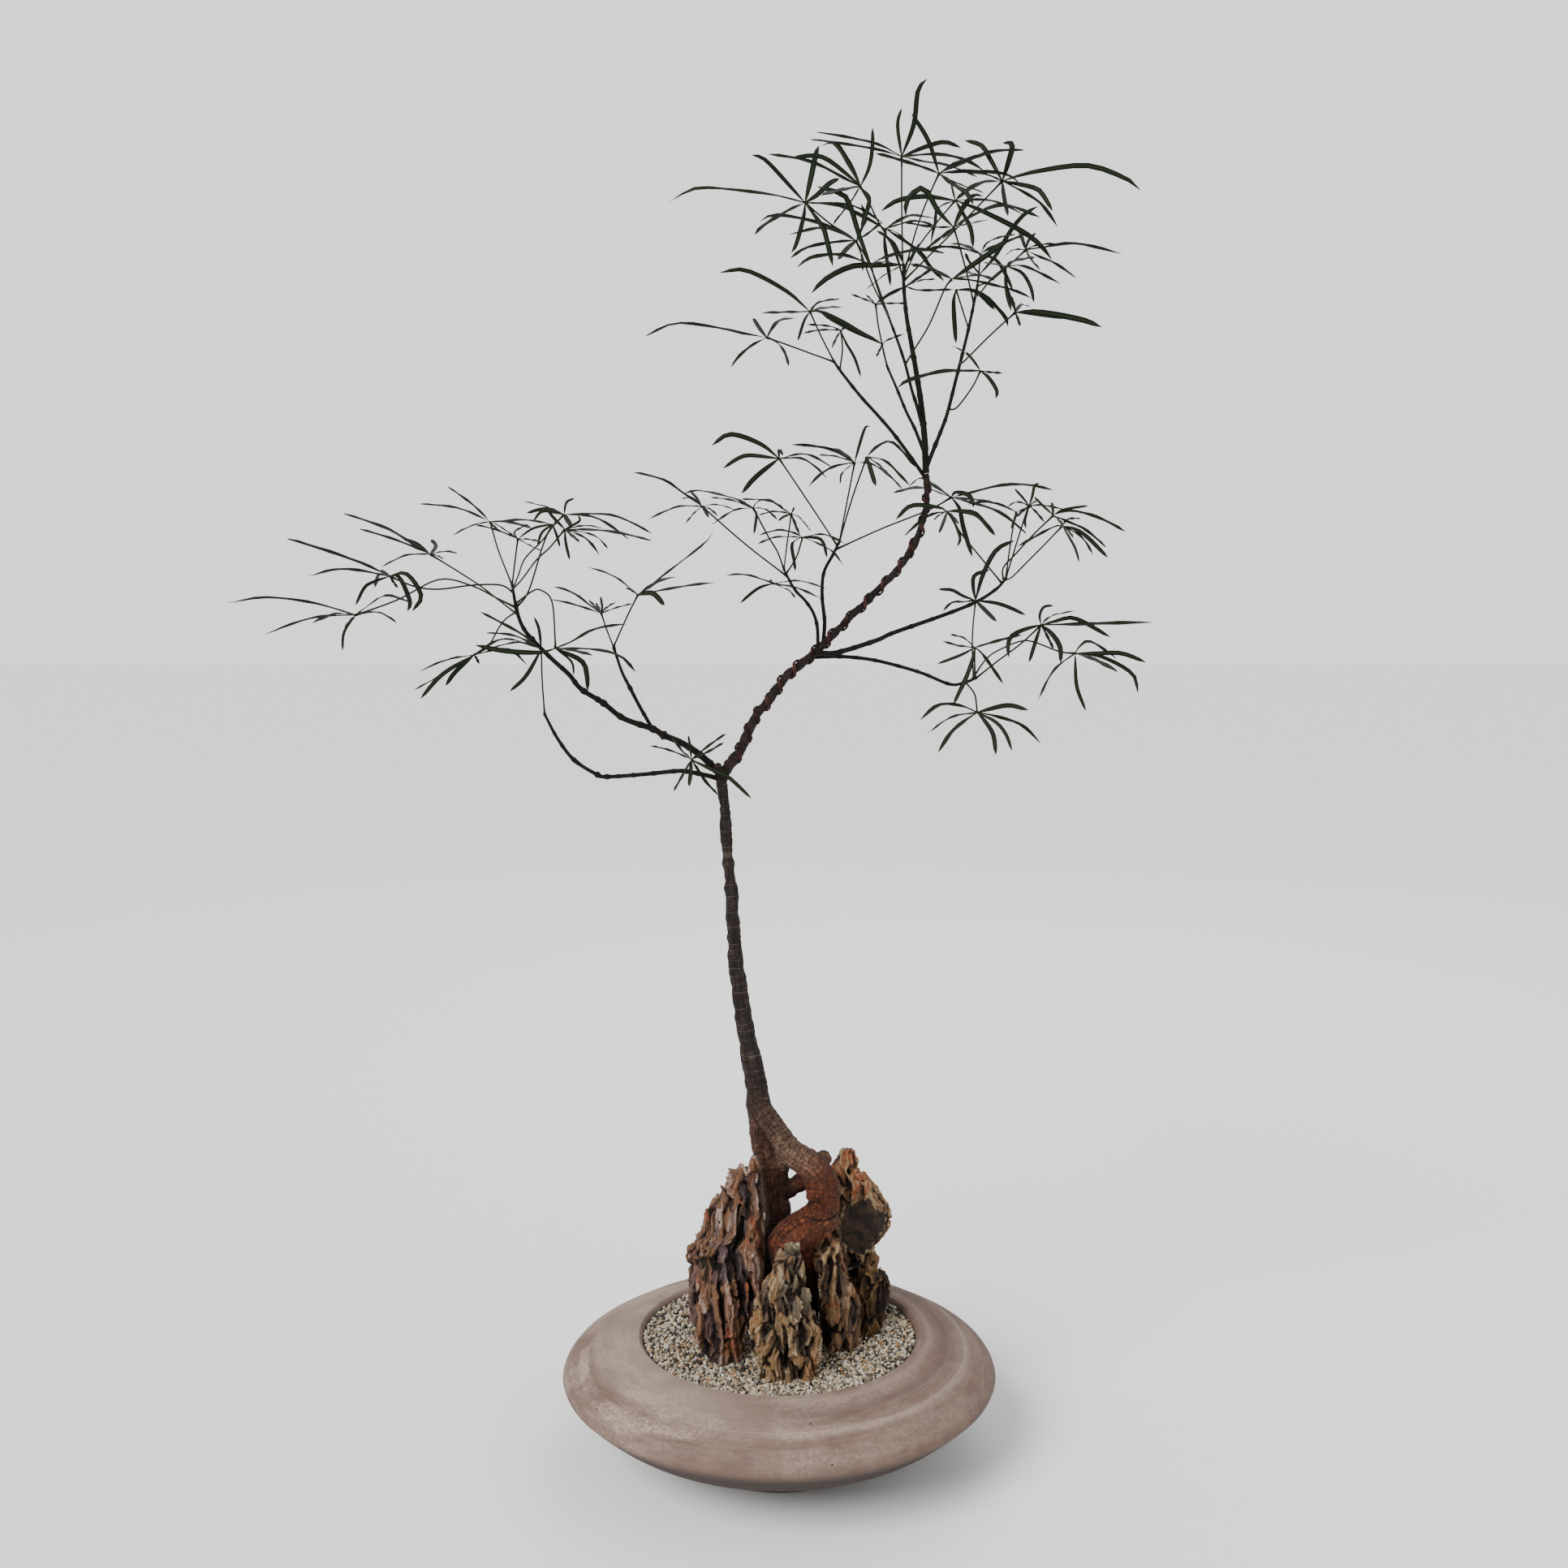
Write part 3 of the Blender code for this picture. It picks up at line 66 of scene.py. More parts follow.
# %% [markdown]
# Wood and leaves were read off a picture of the tree, as points px,py of a 1932 by 1932 frame, often with
# a depth in millimetres. A picture point is a ray from the eye. Following the ray until it reaches the
# depth gives the place in metres, so what is read lands where the solids have it.

# %% From a picture point to a place
FRAME_SIZE = 1932.0
FRAME_MIDDLE = FRAME_SIZE / 2
FOCAL = 2100.0
PITCH = math.radians(6.8)
EYE = Vector((0.0035, -1.21, 0.640))
AHEAD = Vector((0.0, math.cos(PITCH), -math.sin(PITCH)))
ABOVE = Vector((0.0, math.sin(PITCH), math.cos(PITCH)))


def at(px, py, depth=0.0):
    """The place that picture point (px, py) shows, at a depth in millimetres behind the pot's middle."""
    ray = AHEAD * FOCAL + Vector((px - FRAME_MIDDLE, 0.0, 0.0)) - ABOVE * (py - FRAME_MIDDLE)
    return EYE + ray * ((depth * MM - EYE.y) / ray.y)


def level(py, depth=0.0):
    """The height that picture row py shows."""
    return at(FRAME_MIDDLE, py, depth).z


def read_points(text):
    """Picture points from text such as 1106,154 1111,133."""
    return [tuple(float(n) for n in pair.split(",")) for pair in text.split()]


print("middle of the picture:", [round(v, 4) for v in at(FRAME_MIDDLE, FRAME_MIDDLE)])

# %% [markdown]
# A stem is drawn through a few points, and a smooth curve joins them. A Catmull-Rom curve is used,
# because it passes through every point that was read, which a Bezier curve does only with its handles set
# by hand.

# %% Smooth paths
CURVE_STEPS = 12


def distances(path):
    """How far along a path each of its points lies."""
    far = [0.0]
    for a, b in zip(path, path[1:]):
        far.append(far[-1] + (b - a).length)
    return far


def resample(path, count):
    """The same path with count evenly spaced points."""
    far = distances(path)
    wanted = np.linspace(0.0, far[-1], count)
    columns = [np.interp(wanted, far, [p[axis] for p in path]) for axis in range(3)]
    return [Vector(row) for row in zip(*columns)]


def smooth_path(points, count):
    """Points evenly spaced on a smooth curve through the given ones."""
    knots = [Vector(p) for p in points]
    if len(knots) == 2:
        return resample(knots, count)
    padded = [knots[0] * 2 - knots[1], *knots, knots[-1] * 2 - knots[-2]]
    fine = []
    for a, b, c, d in zip(padded, padded[1:], padded[2:], padded[3:]):
        for t in (i / CURVE_STEPS for i in range(CURVE_STEPS)):
            fine.append(0.5 * (2 * b + (c - a) * t + (2 * a - 5 * b + 4 * c - d) * t * t
                               + (3 * b - a - 3 * c + d) * t * t * t))
    return resample(fine + [knots[-1]], count)


def wood_run(text, step):
    """A smooth path with a point about every step metres, and the radius at each, from a text of points."""
    points = read_points(text)
    knots = [at(px, py, depth) for px, py, depth, _ in points]
    far = distances(knots)
    count = max(4, int(far[-1] / step))
    radii = np.interp(np.linspace(0.0, far[-1], count), far, [thickness * MM / 2 for *_, thickness in points])
    return smooth_path(knots, count), [float(r) for r in radii]


def direction(path, i):
    """Which way a path runs at one of its points."""
    return (path[min(i + 1, len(path) - 1)] - path[max(i - 1, 0)]).normalized()


def across_from(wanted, along):
    """The part of a direction that lies across another."""
    return (wanted - along * wanted.dot(along)).normalized()


def frames(path):
    """For each point of a path: the point, its direction and two sides across it that don't twist."""
    made = []
    side = Vector((1.0, 0.0, 0.0))
    for i, point in enumerate(path):
        along = direction(path, i)
        side = across_from(side, along)
        made.append((point, along, side, along.cross(side)))
    return made


trial = smooth_path([(0, 0, 0), (1, 0, 0), (1, 1, 0)], 9)
print("a quarter turn through three points:", len(trial), "points")

# %% [markdown]
# Blender's operators act on whatever is selected, so every step starts with nothing selected.

# %% Small helpers for every piece
def start_clean():
    """Leave edit mode and select nothing."""
    if bpy.context.mode != "OBJECT":
        bpy.ops.object.mode_set(mode="OBJECT")
    bpy.ops.object.select_all(action="DESELECT")


def only(*pieces):
    """Select just these pieces and make the first one active."""
    start_clean()
    for piece in pieces:
        piece.select_set(True)
    bpy.context.view_layer.objects.active = pieces[0]


def apply_all(piece):
    """Apply a piece's modifiers in their order."""
    only(piece)
    for step in [modifier.name for modifier in piece.modifiers]:
        bpy.ops.object.modifier_apply(modifier=step)


def in_edit(piece, *steps):
    """Run edit-mode steps on all of a piece's mesh."""
    only(piece)
    bpy.ops.object.mode_set(mode="EDIT")
    for step in steps:
        bpy.ops.mesh.select_all(action="SELECT")
        step()
    bpy.ops.object.mode_set(mode="OBJECT")


def faces_out():
    """Point every selected face outwards."""
    bpy.ops.mesh.normals_make_consistent(inside=False)


def merged(gap):
    """A step that merges selected corners which lie closer together than a gap in metres."""
    return lambda: bpy.ops.mesh.remove_doubles(threshold=gap)


def drop(piece):
    """Remove a helper object."""
    bpy.data.objects.remove(piece, do_unlink=True)


def join(name, pieces):
    """Join pieces into one and name it."""
    only(*pieces)
    bpy.ops.object.join()
    pieces[0].name = name
    pieces[0].data.name = name
    return pieces[0]


start_clean()

# %% [markdown]
# Thousands of corners are moved at once, as rows of an array, which is far quicker than one by one.
# Values that a material needs later are stored with the corners as attributes.

# %% Corners as arrays
def from_corners(name, corners, faces):
    """A piece made of an array of corners and a list of faces."""
    mesh = bpy.data.meshes.new(name)
    mesh.from_pydata(corners.tolist(), [], faces)
    piece = bpy.data.objects.new(name, mesh)
    bpy.context.collection.objects.link(piece)
    return piece


def rows_of(things, key):
    """One vector of each vertex as rows of an array."""
    held = np.empty(len(things) * 3)
    things.foreach_get(key, held)
    return held.reshape(-1, 3)


def places(piece):
    """All vertex places of a piece."""
    return rows_of(piece.data.vertices, "co")


def normals_of(piece):
    """All vertex normals of a piece."""
    return rows_of(piece.data.vertex_normals, "vector")


def put_places(piece, held):
    """Write vertex places back."""
    piece.data.vertices.foreach_set("co", np.ascontiguousarray(held, dtype=np.float64).ravel())
    piece.data.update()


def put_attributes(piece, **stored):
    """Store a value or a vector for each vertex under names that a material can read."""
    for name, values in stored.items():
        values = np.asarray(values, dtype=np.float32)
        kind, key = ("FLOAT_VECTOR", "vector") if values.ndim == 2 else ("FLOAT", "value")
        layer = piece.data.attributes.new(name, kind, "POINT")
        layer.data.foreach_set(key, values.ravel())


def nearest_of(spots, wanted):
    """For each wanted place, the number of the nearest spot."""
    tree = KDTree(len(spots))
    for i, spot in enumerate(spots):
        tree.insert(spot, i)
    tree.balance()
    return [tree.find(place)[1] for place in wanted]


print("the nearest of two spots:", nearest_of([(0, 0, 0), (1, 0, 0)], [(0.9, 0, 0)]))

# %% [markdown]
# A finished piece gets two things: the solid that it stands for is hidden, and it goes on the body that it
# moves with. Nothing moves here, so every piece is on the root.

# %% Finish a piece
def finish_piece(piece, slot, *nodes):
    """Say which solids a piece stands for and what it moves with. The slot, what it is made of, is not used.
    """
    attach(piece, "root")
    if nodes:
        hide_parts(*nodes)
    triangles = sum(len(face.vertices) - 2 for face in piece.data.polygons)
    print(f"{piece.name}: {triangles} triangles")


print("finishing helper ready")

# %% [markdown]
# A stem is a tube. The quick way in Blender is a curve with a round bevel: it takes a radius at every
# point and turns corners without a twist. The curve is then converted to a mesh, and the loose end caps
# are merged.

# %% Tubes from curves
def new_curve(name):
    """A curve object with no lines in it yet."""
    start_clean()
    bpy.ops.curve.primitive_nurbs_path_add(location=(0.0, 0.0, 0.0))
    curve = bpy.context.object
    curve.name = name
    curve.data.splines.clear()
    return curve


def add_line(curve, path, radii):
    """Draw a line of straight steps on a curve, with a radius at each point."""
    spline = curve.data.splines.new("POLY")
    spline.points.add(len(path) - 1)
    for point, place, radius in zip(spline.points, path, radii):
        point.co = (*place, 1.0)
        point.radius = radius


def meshed(*steps):
    """Turn the active curve into a mesh, run edit-mode steps on it and shade it smooth."""
    bpy.ops.object.convert(target="MESH")
    piece = bpy.context.object
    in_edit(piece, *steps, faces_out)
    piece.data.shade_smooth()
    return piece


def tubes(name, runs, roundness=2):
    """Round stems as one mesh. Each run is a path with a radius for each of its points."""
    stem = new_curve(name)
    stem.data.bevel_depth = 1.0
    stem.data.bevel_resolution = roundness
    stem.data.use_fill_caps = True
    for path, radii in runs:
        add_line(stem, path, radii)
    return meshed(merged(0.00001))


trial = tubes("trial_stem", [([Vector((0, 0, 0)), Vector((0, 0, 0.1))], [0.002, 0.001])])
print("a trial stem has", len(trial.data.vertices), "vertices")
drop(trial)

# %% [markdown]
# Wood grain runs along a stem, also where the stem bends. A pattern on plain Object coordinates would run
# straight through it. Each vertex therefore keeps its place on a straightened stem as an attribute: two
# distances across and one along. The path of the nearest stem gives them.

# %% Straightened coordinates
def keep_grain(piece, runs):
    """Store each vertex's place on the straightened stem as the attribute grain."""
    spots = [(*laid, reach) for path, _ in runs for laid, reach in zip(frames(path), distances(path))]
    held = places(piece)
    near = nearest_of([spot[0] for spot in spots], held)
    middle, along, side, other, reach = (np.array([spots[i][k] for i in near]) for k in range(5))
    gap = held - middle
    grain = np.stack([(gap * side).sum(1), (gap * other).sum(1), reach + (gap * along).sum(1)], axis=1)
    put_attributes(piece, grain=grain)
    return grain


print("grain helper ready")

# %% [markdown]
# Every finish is a small network of nodes. A helper adds a node and fills its sockets by name, so the
# code reads like the wiring: a socket that is handed in is linked, and a number or colour is set as it
# is.

# %% Helpers for node materials
def plug(tree, socket, value):
    """Link a socket into another one, or set a number or colour on it."""
    if isinstance(value, bpy.types.NodeSocket):
        tree.links.new(value, socket)
    else:
        socket.default_value = value


def add(tree, kind, out=0, sockets=(), **values):
    """Add a shader node, fill its inputs by name or number, and give back one of its outputs."""
    made = tree.nodes.new("ShaderNode" + kind)
    filled = list(sockets)
    for name, value in values.items():
        if hasattr(made, name):
            setattr(made, name, value)
        else:
            filled.append((name.replace("_", " "), value))
    for name, value in filled:
        plug(tree, made.inputs[name], value)
    return made.outputs[out]


def calc(tree, operation, *values):
    """A Math node."""
    return add(tree, "Math", operation=operation, sockets=list(enumerate(values)))


def times(tree, product, *others):
    """All values multiplied."""
    for other in others:
        product = calc(tree, "MULTIPLY", product, other)
    return product


def off(tree, value, middle):
    """How far a value is from a middle one."""
    return calc(tree, "ABSOLUTE", calc(tree, "SUBTRACT", value, middle))


def blend(tree, share, a, b):
    """Mix two colours by a share."""
    return add(tree, "Mix", out=2, data_type="RGBA", sockets=[(0, share), (6, a), (7, b)])


def layered(tree, colour, *layers):
    """Lay (share, colour) layers over a colour, one after the other."""
    for share, shade in layers:
        colour = blend(tree, share, colour, shade)
    return colour


def span(tree, value, low, high, to_low=0.0, to_high=1.0):
    """Spread values between low and high over a new range, with soft ends."""
    return add(tree, "MapRange", interpolation_type="SMOOTHSTEP",
               sockets=[(0, value), (1, low), (2, high), (3, to_low), (4, to_high)])


print("wiring helpers ready")

# %% [markdown]
# Patterns come from noise, which can be drawn out along one direction, and from what each vertex keeps. A
# ramp turns a value into a colour.

# %% Helpers for patterns
def ramp(tree, value, stops, way="LINEAR"):
    """A colour ramp from (place, colour) pairs."""
    made = tree.nodes.new("ShaderNodeValToRGB")
    made.color_ramp.interpolation = way
    while len(made.color_ramp.elements) < len(stops):
        made.color_ramp.elements.new(0.5)
    for element, (place, colour) in zip(made.color_ramp.elements, stops):
        element.position = place
        element.color = colour
    tree.links.new(value, made.inputs[0])
    return made.outputs[0]


def noise(tree, vector, scale, detail=4.0, rough=0.55, warp=0.0):
    """A Noise texture's value."""
    return add(tree, "TexNoise", Vector=vector, Scale=scale, Detail=detail, Roughness=rough, Distortion=warp)


def stretched(tree, vector, stretch, *settings):
    """A Noise texture on a vector whose three parts are scaled first, which draws the pattern out."""
    return noise(tree, add(tree, "Mapping", Vector=vector, Scale=stretch), *settings)


def object_place(tree):
    """Object coordinates."""
    return add(tree, "TexCoord", out="Object")


def parts(tree, vector):
    """The three parts of a vector."""
    return add(tree, "SeparateXYZ", Vector=vector).node.outputs


def stored(tree, name, out="Fac"):
    """What each vertex keeps under a name."""
    return add(tree, "Attribute", out=out, attribute_name=name)


print("pattern helpers ready")

# %% [markdown]
# A material holds one shader. Colours are named as they are seen, from 0 to 255, because that is how they
# are read. Soft light greys a surface, so a tone is deepened before it becomes a base colour.

# %% Helpers for a finish
TONE_GAIN = 0.44
TONE_DEPTH = 1.3
SHEEN = 0.22
DULL_SHEEN = 0.10


def tone(red, green, blue):
    """A base colour for a tone as it is seen."""
    seen = [(((part / 255.0) + 0.055) / 1.055) ** 2.4 for part in (red, green, blue)]
    grey = 0.2126 * seen[0] + 0.7152 * seen[1] + 0.0722 * seen[2]
    return (*(TONE_GAIN * grey * (part / grey) ** TONE_DEPTH for part in seen), 1.0)


def new_finish(name, sheen=SHEEN):
    """An empty material, the tree to wire it in, and its shader."""
    made = bpy.data.materials.new(name)
    made.use_nodes = True
    shader = made.node_tree.nodes["Principled BSDF"]
    shader.inputs["Specular IOR Level"].default_value = sheen
    return made, made.node_tree, shader


def coat(tree, shader, colour, rough, strength, depth, height):
    """Give a shader its colour, its roughness, and a bump of some strength and depth."""
    bump = add(tree, "Bump", Strength=strength, Distance=depth, Height=height)
    for name, value in (("Base Color", colour), ("Roughness", rough), ("Normal", bump)):
        plug(tree, shader.inputs[name], value)


def wear(finish, *pieces):
    """Give pieces their finish."""
    for piece in pieces:
        piece.data.materials.clear()
        piece.data.materials.append(finish)


print("a mid grey as a base colour:", [round(part, 3) for part in tone(128, 128, 128)])

# %% [markdown]
# An effect that several finishes share is a shader node group, which is built once. A group hands back
# only colours or values, and each material decides what they do.

# %% Helpers for node groups
SOCKET_KINDS = {float: "NodeSocketFloat", tuple: "NodeSocketColor", type(None): "NodeSocketVector"}


def new_group(name, inputs, outputs):
    """An empty node group: its tree, the sockets that it is asked with, and those that it gives back.

    An input's value says its kind: None for a vector, a number for a value, a tuple for a colour.
    """
    made = bpy.data.node_groups.new(name, "ShaderNodeTree")
    for title, value in inputs.items():
        socket = made.interface.new_socket(name=title, in_out="INPUT", socket_type=SOCKET_KINDS[type(value)])
        if value is not None:
            socket.default_value = value
    for title in outputs:
        kind = SOCKET_KINDS[tuple if title == "Colour" else float]
        made.interface.new_socket(name=title, in_out="OUTPUT", socket_type=kind)
    return made, made.nodes.new("NodeGroupInput").outputs, made.nodes.new("NodeGroupOutput").inputs


def plug_all(tree, sockets, **values):
    """Fill sockets by name."""
    for name, value in values.items():
        plug(tree, sockets[name], value)


def place_group(tree, group, **values):
    """Place a group in a material and fill its inputs by name. Gives back its outputs."""
    made = tree.nodes.new("ShaderNodeGroup")
    made.node_tree = group
    plug_all(tree, made.inputs, **values)
    return made.outputs


print("group helpers ready")

# %% [markdown]
# Nothing in nature has one even colour. Two effects return in nearly every finish here: soft blotches at
# two sizes, and fine relief made of noise and small pits.

# %% Shared groups: blotches and fine relief
BLOTCHES, asked, given = new_group("Blotches", dict(Place=None, Size=20.0, Sharpness=0.5), ("Large", "Small"))
half_width = calc(BLOTCHES, "MULTIPLY_ADD", asked["Sharpness"], -0.22, 0.24)
edges = [calc(BLOTCHES, way, 0.5, half_width) for way in ("SUBTRACT", "ADD")]
large = noise(BLOTCHES, asked["Place"], asked["Size"], 5.0, 0.6, 0.6)
small = noise(BLOTCHES, asked["Place"], times(BLOTCHES, asked["Size"], 4.3), 5.0, 0.65, 0.2)
plug_all(BLOTCHES, given, Large=span(BLOTCHES, large, *edges), Small=span(BLOTCHES, small, *edges))

RELIEF, asked, given = new_group("Fine relief", dict(Place=None, Size=400.0), ("Height", "Pits"))
coarse = noise(RELIEF, asked["Place"], asked["Size"], 6.0, 0.7)
pits = add(RELIEF, "TexVoronoi", feature="F1", Vector=asked["Place"], Scale=times(RELIEF, asked["Size"], 1.4))
even = span(RELIEF, pits, 0.05, 0.32)
plug_all(RELIEF, given, Height=calc(RELIEF, "MULTIPLY_ADD", even, 0.35, coarse),
         Pits=calc(RELIEF, "SUBTRACT", 1.0, even))
print("groups:", [group.name for group in bpy.data.node_groups])

# %% [markdown]
# The pot is thrown on a wheel, so its whole form is one outline turned round an axis. The outline is
# drawn as a curve, made into a mesh and spun. A cylinder pushed into shape would need a loop for each of
# these radii.

# %% Turn the pot
POT_OUTSIDE = [
    (0.1040, 0.0874), (0.1120, 0.0864), (0.1220, 0.0830), (0.1300, 0.0801), (0.1352, 0.0785),
    (0.1374, 0.0777), (0.1402, 0.0761), (0.1470, 0.0722), (0.1560, 0.0666), (0.1600, 0.0595),
    (0.1575, 0.0556), (0.1490, 0.0474), (0.1350, 0.0360), (0.1150, 0.0245), (0.0950, 0.0135),
    (0.0800, 0.0055), (0.0740, 0.0008),
]
POT_INSIDE = [
    (0.1018, 0.0858), (0.1010, 0.0842), (0.1015, 0.0790), (0.1100, 0.0725), (0.1450, 0.0600),
    (0.1380, 0.0480), (0.1120, 0.0350), (0.0860, 0.0200), (0.0700, 0.0110),
]
FOOT_EDGE = (0.0732, 0.0)
FLOOR_LEVEL = 0.011
POT_TURNS = 160
DRAIN_RADIUS = 0.007
DRAIN_CIRCLE = 0.045
DRAIN_ANGLES = (90.0, 210.0, 330.0)


def spin_round():
    """Spin what is selected once round the pot's axis."""
    bpy.ops.mesh.spin(steps=POT_TURNS, angle=2 * math.pi, center=(0, 0, 0), axis=(0, 0, 1))


def soft_outline(points, count):
    """An outline of (radius, height) pairs, rounded into count points."""
    return [(p.x, p.z) for p in smooth_path([(r, 0.0, z) for r, z in points], count)]


outline = [(0.0, 0.0), (DRAIN_CIRCLE, 0.0), FOOT_EDGE] + soft_outline(POT_OUTSIDE, 64)[::-1]
outline += soft_outline(POT_INSIDE, 34) + [(DRAIN_CIRCLE, FLOOR_LEVEL), (0.0, FLOOR_LEVEL)]
add_line(new_curve("pot_fired"), [(radius, 0.0, height) for radius, height in outline], [1.0] * len(outline))
pot = meshed(spin_round, merged(0.00002))
print("pot:", len(pot.data.vertices), "vertices")

# %% [markdown]
# Water leaves a pot through holes in its foot. Three cylinders are cut away with a Boolean modifier, as a
# potter cuts them from the leather-hard clay.

# %% Cut the drain holes
start_clean()
for turn in map(math.radians, DRAIN_ANGLES):
    bpy.ops.mesh.primitive_cylinder_add(
        vertices=40, radius=DRAIN_RADIUS, depth=0.04,
        location=(DRAIN_CIRCLE * math.cos(turn), DRAIN_CIRCLE * math.sin(turn), FLOOR_LEVEL - 0.006))
    cutter = bpy.context.object
    cut = pot.modifiers.new("drain", "BOOLEAN")
    cut.object = cutter
    cut.operation = "DIFFERENCE"
    cut.solver = "EXACT"
    apply_all(pot)
    drop(cutter)
only(pot)
bpy.ops.object.shade_smooth_by_angle(angle=math.radians(40.0))
finish_piece(pot, "clay", "pot")

# %% [markdown]
# The clay is a dull mauve grey. Where the wheel's sponge passed, a pale bloom lies in streaks that follow
# the turning. The bloom is painted stronger at the left and high up and weaker at the right and low down,
# so it is partly painted light and shade. Soft bands of painted shade and painted highlight and fine pale
# lines run round it. Coordinates are made for that: a point's direction from the axis, kept short, and its
# distance along the wall, kept long, so that patterns are drawn out round the pot.

# %% Fired clay
ROUND_THE_POT = 0.035
clay, tree, shader = new_finish("fired_clay")
place = object_place(tree)
x, y, z = parts(tree, place)
flat = add(tree, "CombineXYZ", X=x, Y=y)
radius = add(tree, "VectorMath", operation="LENGTH", out="Value", sockets=[(0, flat)])
heading = parts(tree, add(tree, "VectorMath", operation="NORMALIZE", sockets=[(0, flat)]))
turning = add(tree, "CombineXYZ", X=times(tree, heading["X"], ROUND_THE_POT),
              Y=times(tree, heading["Y"], ROUND_THE_POT), Z=calc(tree, "SUBTRACT", radius, z))
streaks = span(tree, noise(tree, turning, 70.0, 8.0, 0.62, 0.3), 0.33, 0.60)
fine_streaks = noise(tree, turning, 420.0, 4.0, 0.6)
spots = place_group(tree, BLOTCHES, Place=place, Size=11.0, Sharpness=0.35)
mottle = noise(tree, place, 360.0, 5.0, 0.72)
# The bloom is weighted towards the left and the top: painted light over the real bloom.
bloom_and_light = times(tree, span(tree, spots["Large"], 0.0, 0.7, 0.15, 1.0), streaks,
              span(tree, mottle, 0.34, 0.66, 0.25, 1.0), span(tree, x, -0.11, 0.11, 1.2, 0.4),
              span(tree, z, 0.052, 0.072, 0.35, 1.0))
print("clay coordinates and bloom:", len(tree.nodes), "nodes")

# %% [markdown]
# The colours are laid over one another: the body's own mottle and the bloom, three soft bands at the
# right that are painted shade and painted highlight, painted light on the shoulder, and painted shade near
# the foot. The fine lines waver a little. A band or a line has its distance from the axis, its half width
# and its strength.

# %% Fired clay: colours
# Bands of painted shade and painted highlight along the shoulder's curve, at the right: one dark, two pale.
SHADE_AND_HIGHLIGHT_BANDS = ((0.1235, 0.0075, 0.50, tone(112, 94, 88)), (0.1110, 0.0050, 0.35, tone(214, 196, 180)),
         (0.1385, 0.0045, 0.45, tone(226, 208, 194)))
LINES = ((0.1368, 0.00045, 0.5), (0.1335, 0.0012, 0.12), (0.1262, 0.0009, 0.10))
colour = layered(tree, tone(146, 125, 114), (spots["Small"], tone(166, 144, 131)),
                 (span(tree, fine_streaks, 0.3, 0.7, 0.0, 0.55), tone(132, 112, 105)),
                 (times(tree, bloom_and_light, 0.95), tone(224, 205, 190)))
on_right = span(tree, x, -0.030, 0.015)
uneven = span(tree, mottle, 0.30, 0.60, 0.6, 1.0)
for band_radius, band_half, share, shade in SHADE_AND_HIGHLIGHT_BANDS:
    band = span(tree, off(tree, radius, band_radius), 0.0, band_half, share, 0.0)
    colour = blend(tree, times(tree, band, on_right, uneven), colour, shade)
# Painted light on the upper left of the shoulder, and painted shade low on the wall.
painted_light_shoulder = times(tree, span(tree, z, 0.074, 0.082, 0.0, 0.45), span(tree, x, -0.06, 0.02, 1.0, 0.0))
colour = layered(tree, colour, (painted_light_shoulder, tone(214, 196, 182)),
                 (span(tree, z, 0.052, 0.070, 0.42, 0.0), tone(96, 80, 74)))
wavering = calc(tree, "SUBTRACT", radius, times(tree, noise(tree, turning, 40.0, 2.0, 0.5), 0.0008))
on_top = times(tree, span(tree, z, 0.062, 0.068), span(tree, streaks, 0.2, 0.8, 0.15, 1.0))
for line_radius, width, strength in LINES:
    line = span(tree, off(tree, wavering, line_radius), width * 0.4, width * 1.5, strength, 0.0)
    colour = blend(tree, times(tree, line, on_top), colour, tone(214, 198, 186))
speck = add(tree, "TexVoronoi", feature="F1", Vector=place, Scale=38.0)
# Dark specks are the clay's own. Lower down the clay is darker, partly its own colour and partly painted
# shade, and a ring at the inner lip is painted shade.
colour = layered(tree, colour, (span(tree, speck, 0.022, 0.034, 0.9, 0.0), tone(48, 38, 36)),
                 (span(tree, z, 0.048, 0.060, 0.92, 0.0), tone(70, 58, 54)),
                 (span(tree, radius, 0.1012, 0.1060, 0.25, 0.0), tone(120, 101, 94)))
fine = place_group(tree, RELIEF, Place=place, Size=900.0)
coat(tree, shader, colour, calc(tree, "MULTIPLY_ADD", bloom_and_light, 0.12, 0.72), 0.22, 0.0006,
     calc(tree, "MULTIPLY_ADD", fine_streaks, 0.9, fine["Height"]))
wear(clay, pot)
print("clay nodes:", len(tree.nodes))

# %% [markdown]
# Under the grit lies the growing mix, and over each drain hole a square of plastic mesh keeps it in. Both
# stay as the solids have them, with a finish of their own, since no one sees more of them than the mesh
# from below. The grit's own bed stays too. Mix and bed are dark crumbs, so one function makes both: the mix
# is dark soil, and the bed's dark is painted shade for the gaps between the grains.

# %% Growing mix, grit bed and drain mesh
def crumbs(name, node, size, light, dark, rough, strength):
    """Give a solid a finish of dark crumbs of some size."""
    finish, tree, shader = new_finish(name)
    fine = place_group(tree, RELIEF, Place=object_place(tree), Size=size)
    coat(tree, shader, blend(tree, fine["Pits"], light, dark), rough, strength, 0.002, fine["Height"])
    wear(finish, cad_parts[node])


crumbs("growing_mix", "soil", 260.0, (0.055, 0.036, 0.024, 1.0), (0.012, 0.009, 0.007, 1.0), 0.95, 0.8)
